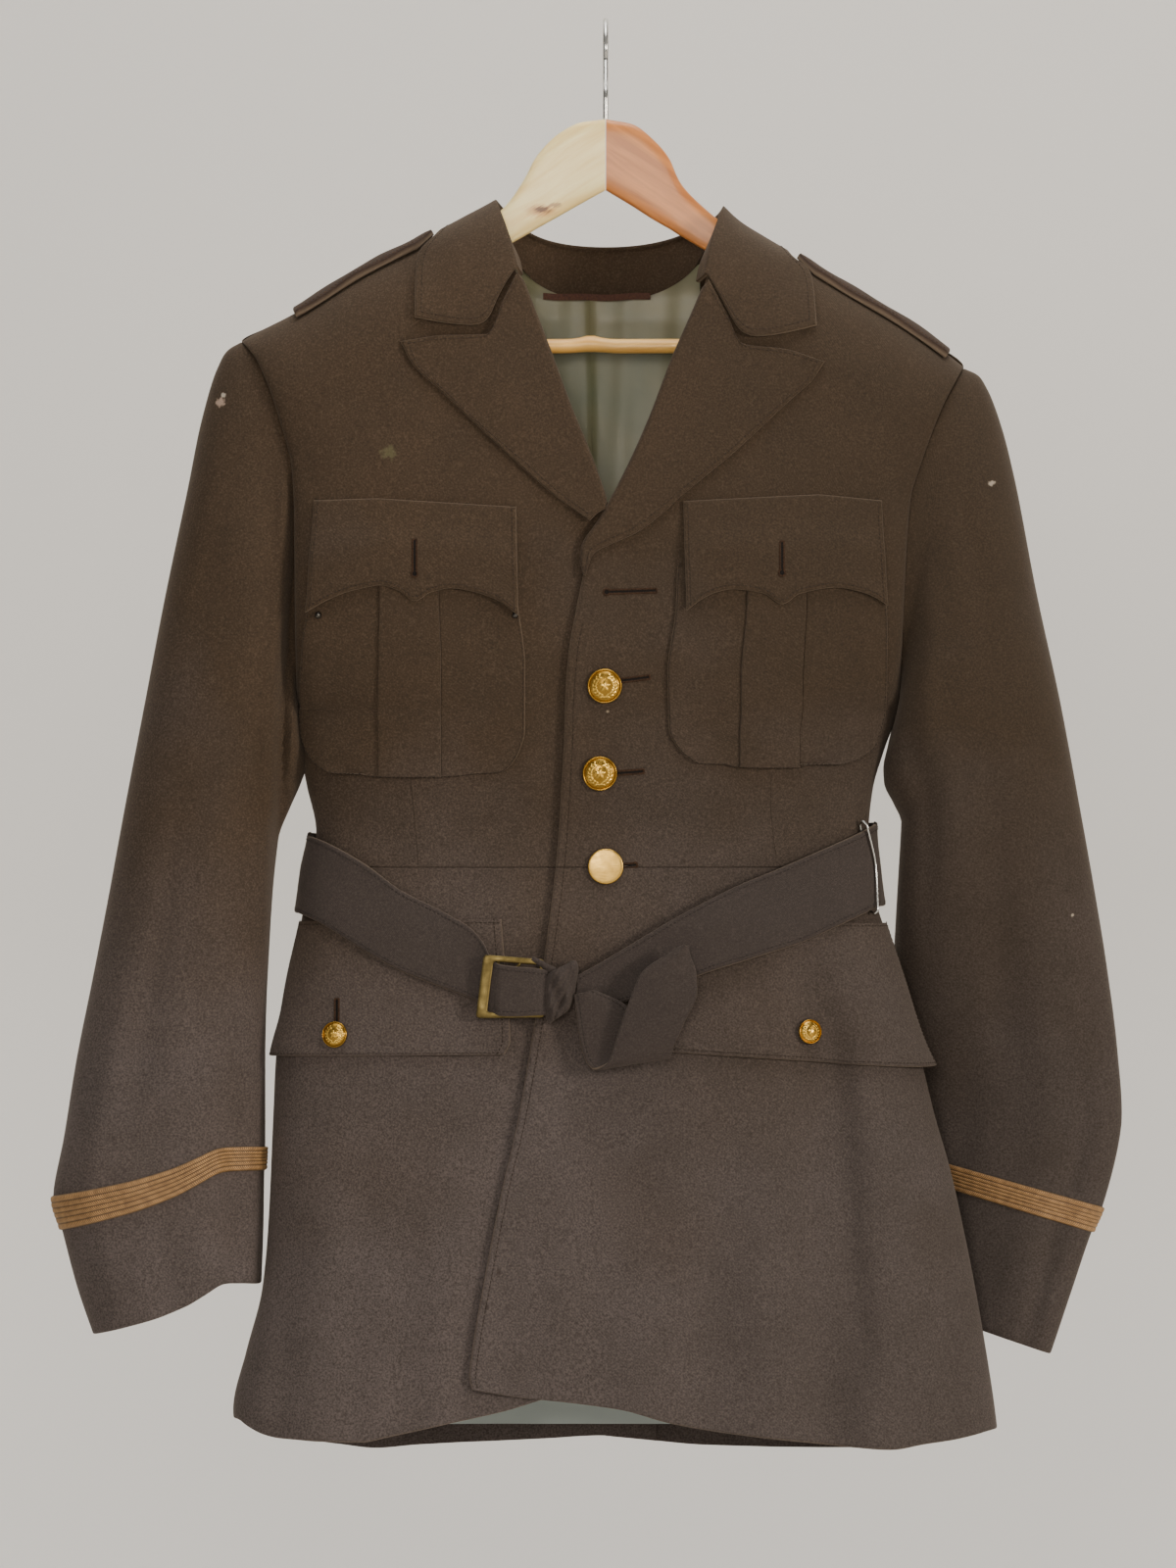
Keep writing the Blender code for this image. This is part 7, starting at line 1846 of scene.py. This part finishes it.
class CoatStage(bpy.types.PropertyGroup):
    """Camera, floor and light."""
    camera_distance: bpy.props.FloatProperty(
        name="Camera distance", description="From the camera to the coat's middle plane",
        default=12.0, min=1.0, max=30.0, subtype="DISTANCE", unit="LENGTH")
    frame_height: bpy.props.FloatProperty(
        name="Height in view", description="Height that the picture takes in at the coat's front",
        default=1600 * UNIT, min=0.2, max=4.0, subtype="DISTANCE", unit="LENGTH")
    floor_drop: bpy.props.FloatProperty(
        name="Floor below hem", description="Gap between the coat's hem and the floor",
        default=0.24, min=0.05, max=1.5, subtype="DISTANCE", unit="LENGTH")
    floor_colour: bpy.props.FloatVectorProperty(
        name="Floor colour", description="Colour of the plain floor and the wall behind",
        default=linear("#dedad3")[:3], size=3, min=0.0, max=1.0, subtype="COLOR")
    key_power: bpy.props.FloatProperty(
        name="Key light", description="Power of the large soft light on the right",
        default=112.0, min=0.0, max=1000.0, unit="POWER")
    fill_power: bpy.props.FloatProperty(
        name="Fill light", description="Power of the soft light on the left",
        default=12.0, min=0.0, max=1000.0, unit="POWER")


class COAT_OT_fronts(bpy.types.Operator):
    """Make the two fronts"""
    bl_idname = "coat.make_fronts"
    bl_label = "Fronts"

    def execute(self, context):
        make_fronts(finish_of("coat wool"))
        return {"FINISHED"}


class COAT_OT_back(bpy.types.Operator):
    """Make the two backs, the lining that shows and the hanging tape"""
    bl_idname = "coat.make_back"
    bl_label = "Back and lining"

    def execute(self, context):
        make_back(finish_of("coat wool"), finish_of("satin"))
        make_loop_tape(finish_of("tape"))
        return {"FINISHED"}


class COAT_OT_sleeves(bpy.types.Operator):
    """Make the sleeves and the braid round the cuffs"""
    bl_idname = "coat.make_sleeves"
    bl_label = "Sleeves and braid"

    def execute(self, context):
        make_sleeves(finish_of("coat wool"), finish_of("braid"))
        return {"FINISHED"}


class COAT_OT_collar(bpy.types.Operator):
    """Make the collar, the lapels and the shoulder loops"""
    bl_idname = "coat.make_collar"
    bl_label = "Collar, lapels and loops"

    def execute(self, context):
        make_lapels(finish_of("coat wool"))
        make_collar(finish_of("coat wool"))
        make_shoulder_loops(finish_of("loop wool"))
        return {"FINISHED"}


class COAT_OT_pockets(bpy.types.Operator):
    """Make the pleated chest pockets and all four flaps"""
    bl_idname = "coat.make_pockets"
    bl_label = "Pockets and flaps"

    def execute(self, context):
        make_chest_pockets(finish_of("coat wool"))
        make_chest_flaps(finish_of("coat wool"))
        make_skirt_flaps(finish_of("coat wool"))
        return {"FINISHED"}


class COAT_OT_belt(bpy.types.Operator):
    """Make the belt with its knot, tail, buckle and slide"""
    bl_idname = "coat.make_belt"
    bl_label = "Belt"

    def execute(self, context):
        make_belt(finish_of("belt wool"))
        make_buckle(finish_of("dull brass"), finish_of("belt wool"))
        make_slide(finish_of("steel"))
        return {"FINISHED"}


class COAT_OT_buttons(bpy.types.Operator):
    """Make the buttons"""
    bl_idname = "coat.make_buttons"
    bl_label = "Buttons"

    def execute(self, context):
        make_buttons(finish_of("gilt"), finish_of("brass"))
        return {"FINISHED"}


class COAT_OT_sewing(bpy.types.Operator):
    """Make the edge stitching, buttonholes, darts and studs"""
    bl_idname = "coat.make_sewing"
    bl_label = "Sewing"

    def execute(self, context):
        make_sewing(finish_of("thread"), finish_of("belt thread"), finish_of("loop thread"),
                    finish_of("hole thread"), finish_of("slit"), finish_of("dark steel"),
                    context.scene.coat_sewing)
        return {"FINISHED"}


class COAT_OT_hanger(bpy.types.Operator):
    """Make the wooden hanger with its bar and hook"""
    bl_idname = "coat.make_hanger"
    bl_label = "Hanger"

    def execute(self, context):
        make_hanger(finish_of("pale wood"), finish_of("orange wood"), finish_of("bar wood"), finish_of("steel"))
        return {"FINISHED"}


def aim(thing, target):
    """Turns a light or camera towards a point."""
    thing.rotation_euler = (Vector(target) - thing.location).to_track_quat("-Z", "Y").to_euler()


COAT_MIDDLE = (0.0, 0.0, -0.5)
LIGHT_AIMS = {"wall light": (0.0, 1.3, -0.6), "neck light": (0.0, 0.0, -0.13)}
NECK_SPREAD = math.radians(14)


class COAT_OT_stage(bpy.types.Operator):
    """Make the floor with the wall behind, the lights and the camera"""
    bl_idname = "coat.make_stage"
    bl_label = "Stage"

    def execute(self, context):
        settings = context.scene.coat_stage
        floor_z = CAD_BOX[0][2] - settings.floor_drop
        line = [(-3.4, 0.0), (0.7, 0.0)]
        line += [(0.7 + 0.6 * math.sin(t), 0.6 - 0.6 * math.cos(t)) for t in np.linspace(0.05, math.pi / 2, 24)]
        line.append((1.3, 3.2))
        points = [(x, y, floor_z + z) for y, z in line for x in (-3.2, 3.2)]
        faces = [(2 * k, 2 * k + 1, 2 * k + 3, 2 * k + 2) for k in range(len(line) - 1)]
        mesh = bpy.data.meshes.new("floor")
        mesh.from_pydata(points, [], faces)
        mesh.shade_smooth()
        floor = bpy.data.objects.new("floor", mesh)
        context.scene.collection.objects.link(floor)
        material, tree, shader = new_material("matt painted board")
        shader.inputs["Base Color"].default_value = (*settings.floor_colour, 1.0)
        shader.inputs["Roughness"].default_value = 0.9
        # the wall is see-through from behind, so that the back of the coat can be looked at as well
        behind = node(tree, "ShaderNodeNewGeometry").outputs["Backfacing"]
        clear = node(tree, "ShaderNodeBsdfTransparent").outputs[0]
        either = node(tree, "ShaderNodeMixShader", {0: behind, 1: shader.outputs[0], 2: clear}).outputs[0]
        end = next(part for part in tree.nodes if part.type == "OUTPUT_MATERIAL")
        tree.links.new(either, end.inputs["Surface"])
        mesh.materials.append(material)
        for name, place, size, power, tint in (
                ("key light", (3.5, -2.8, 0.15), 0.9, settings.key_power, "#fff7ee"),
                ("fill light", (-3.2, -3.0, -0.1), 2.6, settings.fill_power, "#f4f6ff"),
                ("front light", (-0.35, -4.4, 0.15), 1.1, 62.0, "#fffaf2"),
                ("top light", (0.3, -0.9, 1.9), 1.2, 20.0, "#ffffff"),
                ("neck light", (0.0, -2.4, 0.1), 0.2, 0.04, "#fff4e0"),
                ("wall light", (0.0, 0.25, 2.0), 2.6, 60.0, "#ffffff")):
            light = bpy.data.lights.new(name, "AREA")
            light.energy, light.size, light.color = power, size, linear(tint)[:3]
            lamp = bpy.data.objects.new(name, light)
            context.scene.collection.objects.link(lamp)
            lamp.location = place
            aim(lamp, LIGHT_AIMS.get(name, COAT_MIDDLE))
            if name == "neck light":
                light.spread = NECK_SPREAD
        world = bpy.data.worlds.new("studio")
        world.use_nodes = True
        world.node_tree.nodes["Background"].inputs[0].default_value = linear("#f1efec")
        world.node_tree.nodes["Background"].inputs[1].default_value = 0.20
        context.scene.world = world
        lens = bpy.data.cameras.new("camera")
        lens.sensor_fit = "VERTICAL"
        lens.sensor_height = 24.0
        front = settings.camera_distance - 0.03
        lens.lens = lens.sensor_height * front / settings.frame_height
        lens.clip_end = 50.0
        camera = bpy.data.objects.new("camera", lens)
        context.scene.collection.objects.link(camera)
        camera.location = ((600 - MID) * UNIT, -settings.camera_distance, (TOP - 800) * UNIT - HOOK_DROP)
        camera.rotation_euler = (math.pi / 2, 0.0, 0.0)
        context.scene.camera = camera
        return {"FINISHED"}


PIECE_OPERATORS = (COAT_OT_fronts, COAT_OT_back, COAT_OT_sleeves, COAT_OT_collar, COAT_OT_pockets,
                   COAT_OT_belt, COAT_OT_buttons, COAT_OT_sewing, COAT_OT_hanger, COAT_OT_stage)


class COAT_PT_panel(bpy.types.Panel):
    """Sizes and steps of the coat"""
    bl_label = "Officer's coat"
    bl_idname = "COAT_PT_panel"
    bl_space_type = "VIEW_3D"
    bl_region_type = "UI"
    bl_category = "Coat"

    def draw(self, context):
        for group in (context.scene.coat_sewing, context.scene.coat_stage):
            box = self.layout.box()
            for name in group.__annotations__:
                box.prop(group, name)
        for operator in PIECE_OPERATORS:
            self.layout.operator(operator.bl_idname)


CLASSES = (CoatSewing, CoatStage, *PIECE_OPERATORS, COAT_PT_panel)


def register():
    for group in CLASSES:
        bpy.utils.register_class(group)
    bpy.types.Scene.coat_sewing = bpy.props.PointerProperty(type=CoatSewing)
    bpy.types.Scene.coat_stage = bpy.props.PointerProperty(type=CoatStage)


def unregister():
    del bpy.types.Scene.coat_stage
    del bpy.types.Scene.coat_sewing
    for group in reversed(CLASSES):
        bpy.utils.unregister_class(group)


def main():
    register()
    bpy.ops.coat.make_stage()
    bpy.ops.coat.make_fronts()
    bpy.ops.coat.make_back()
    bpy.ops.coat.make_sleeves()
    bpy.ops.coat.make_collar()
    bpy.ops.coat.make_pockets()
    bpy.ops.coat.make_belt()
    bpy.ops.coat.make_buttons()
    bpy.ops.coat.make_sewing()
    bpy.ops.coat.make_hanger()


if __name__ == "__main__":
    main()
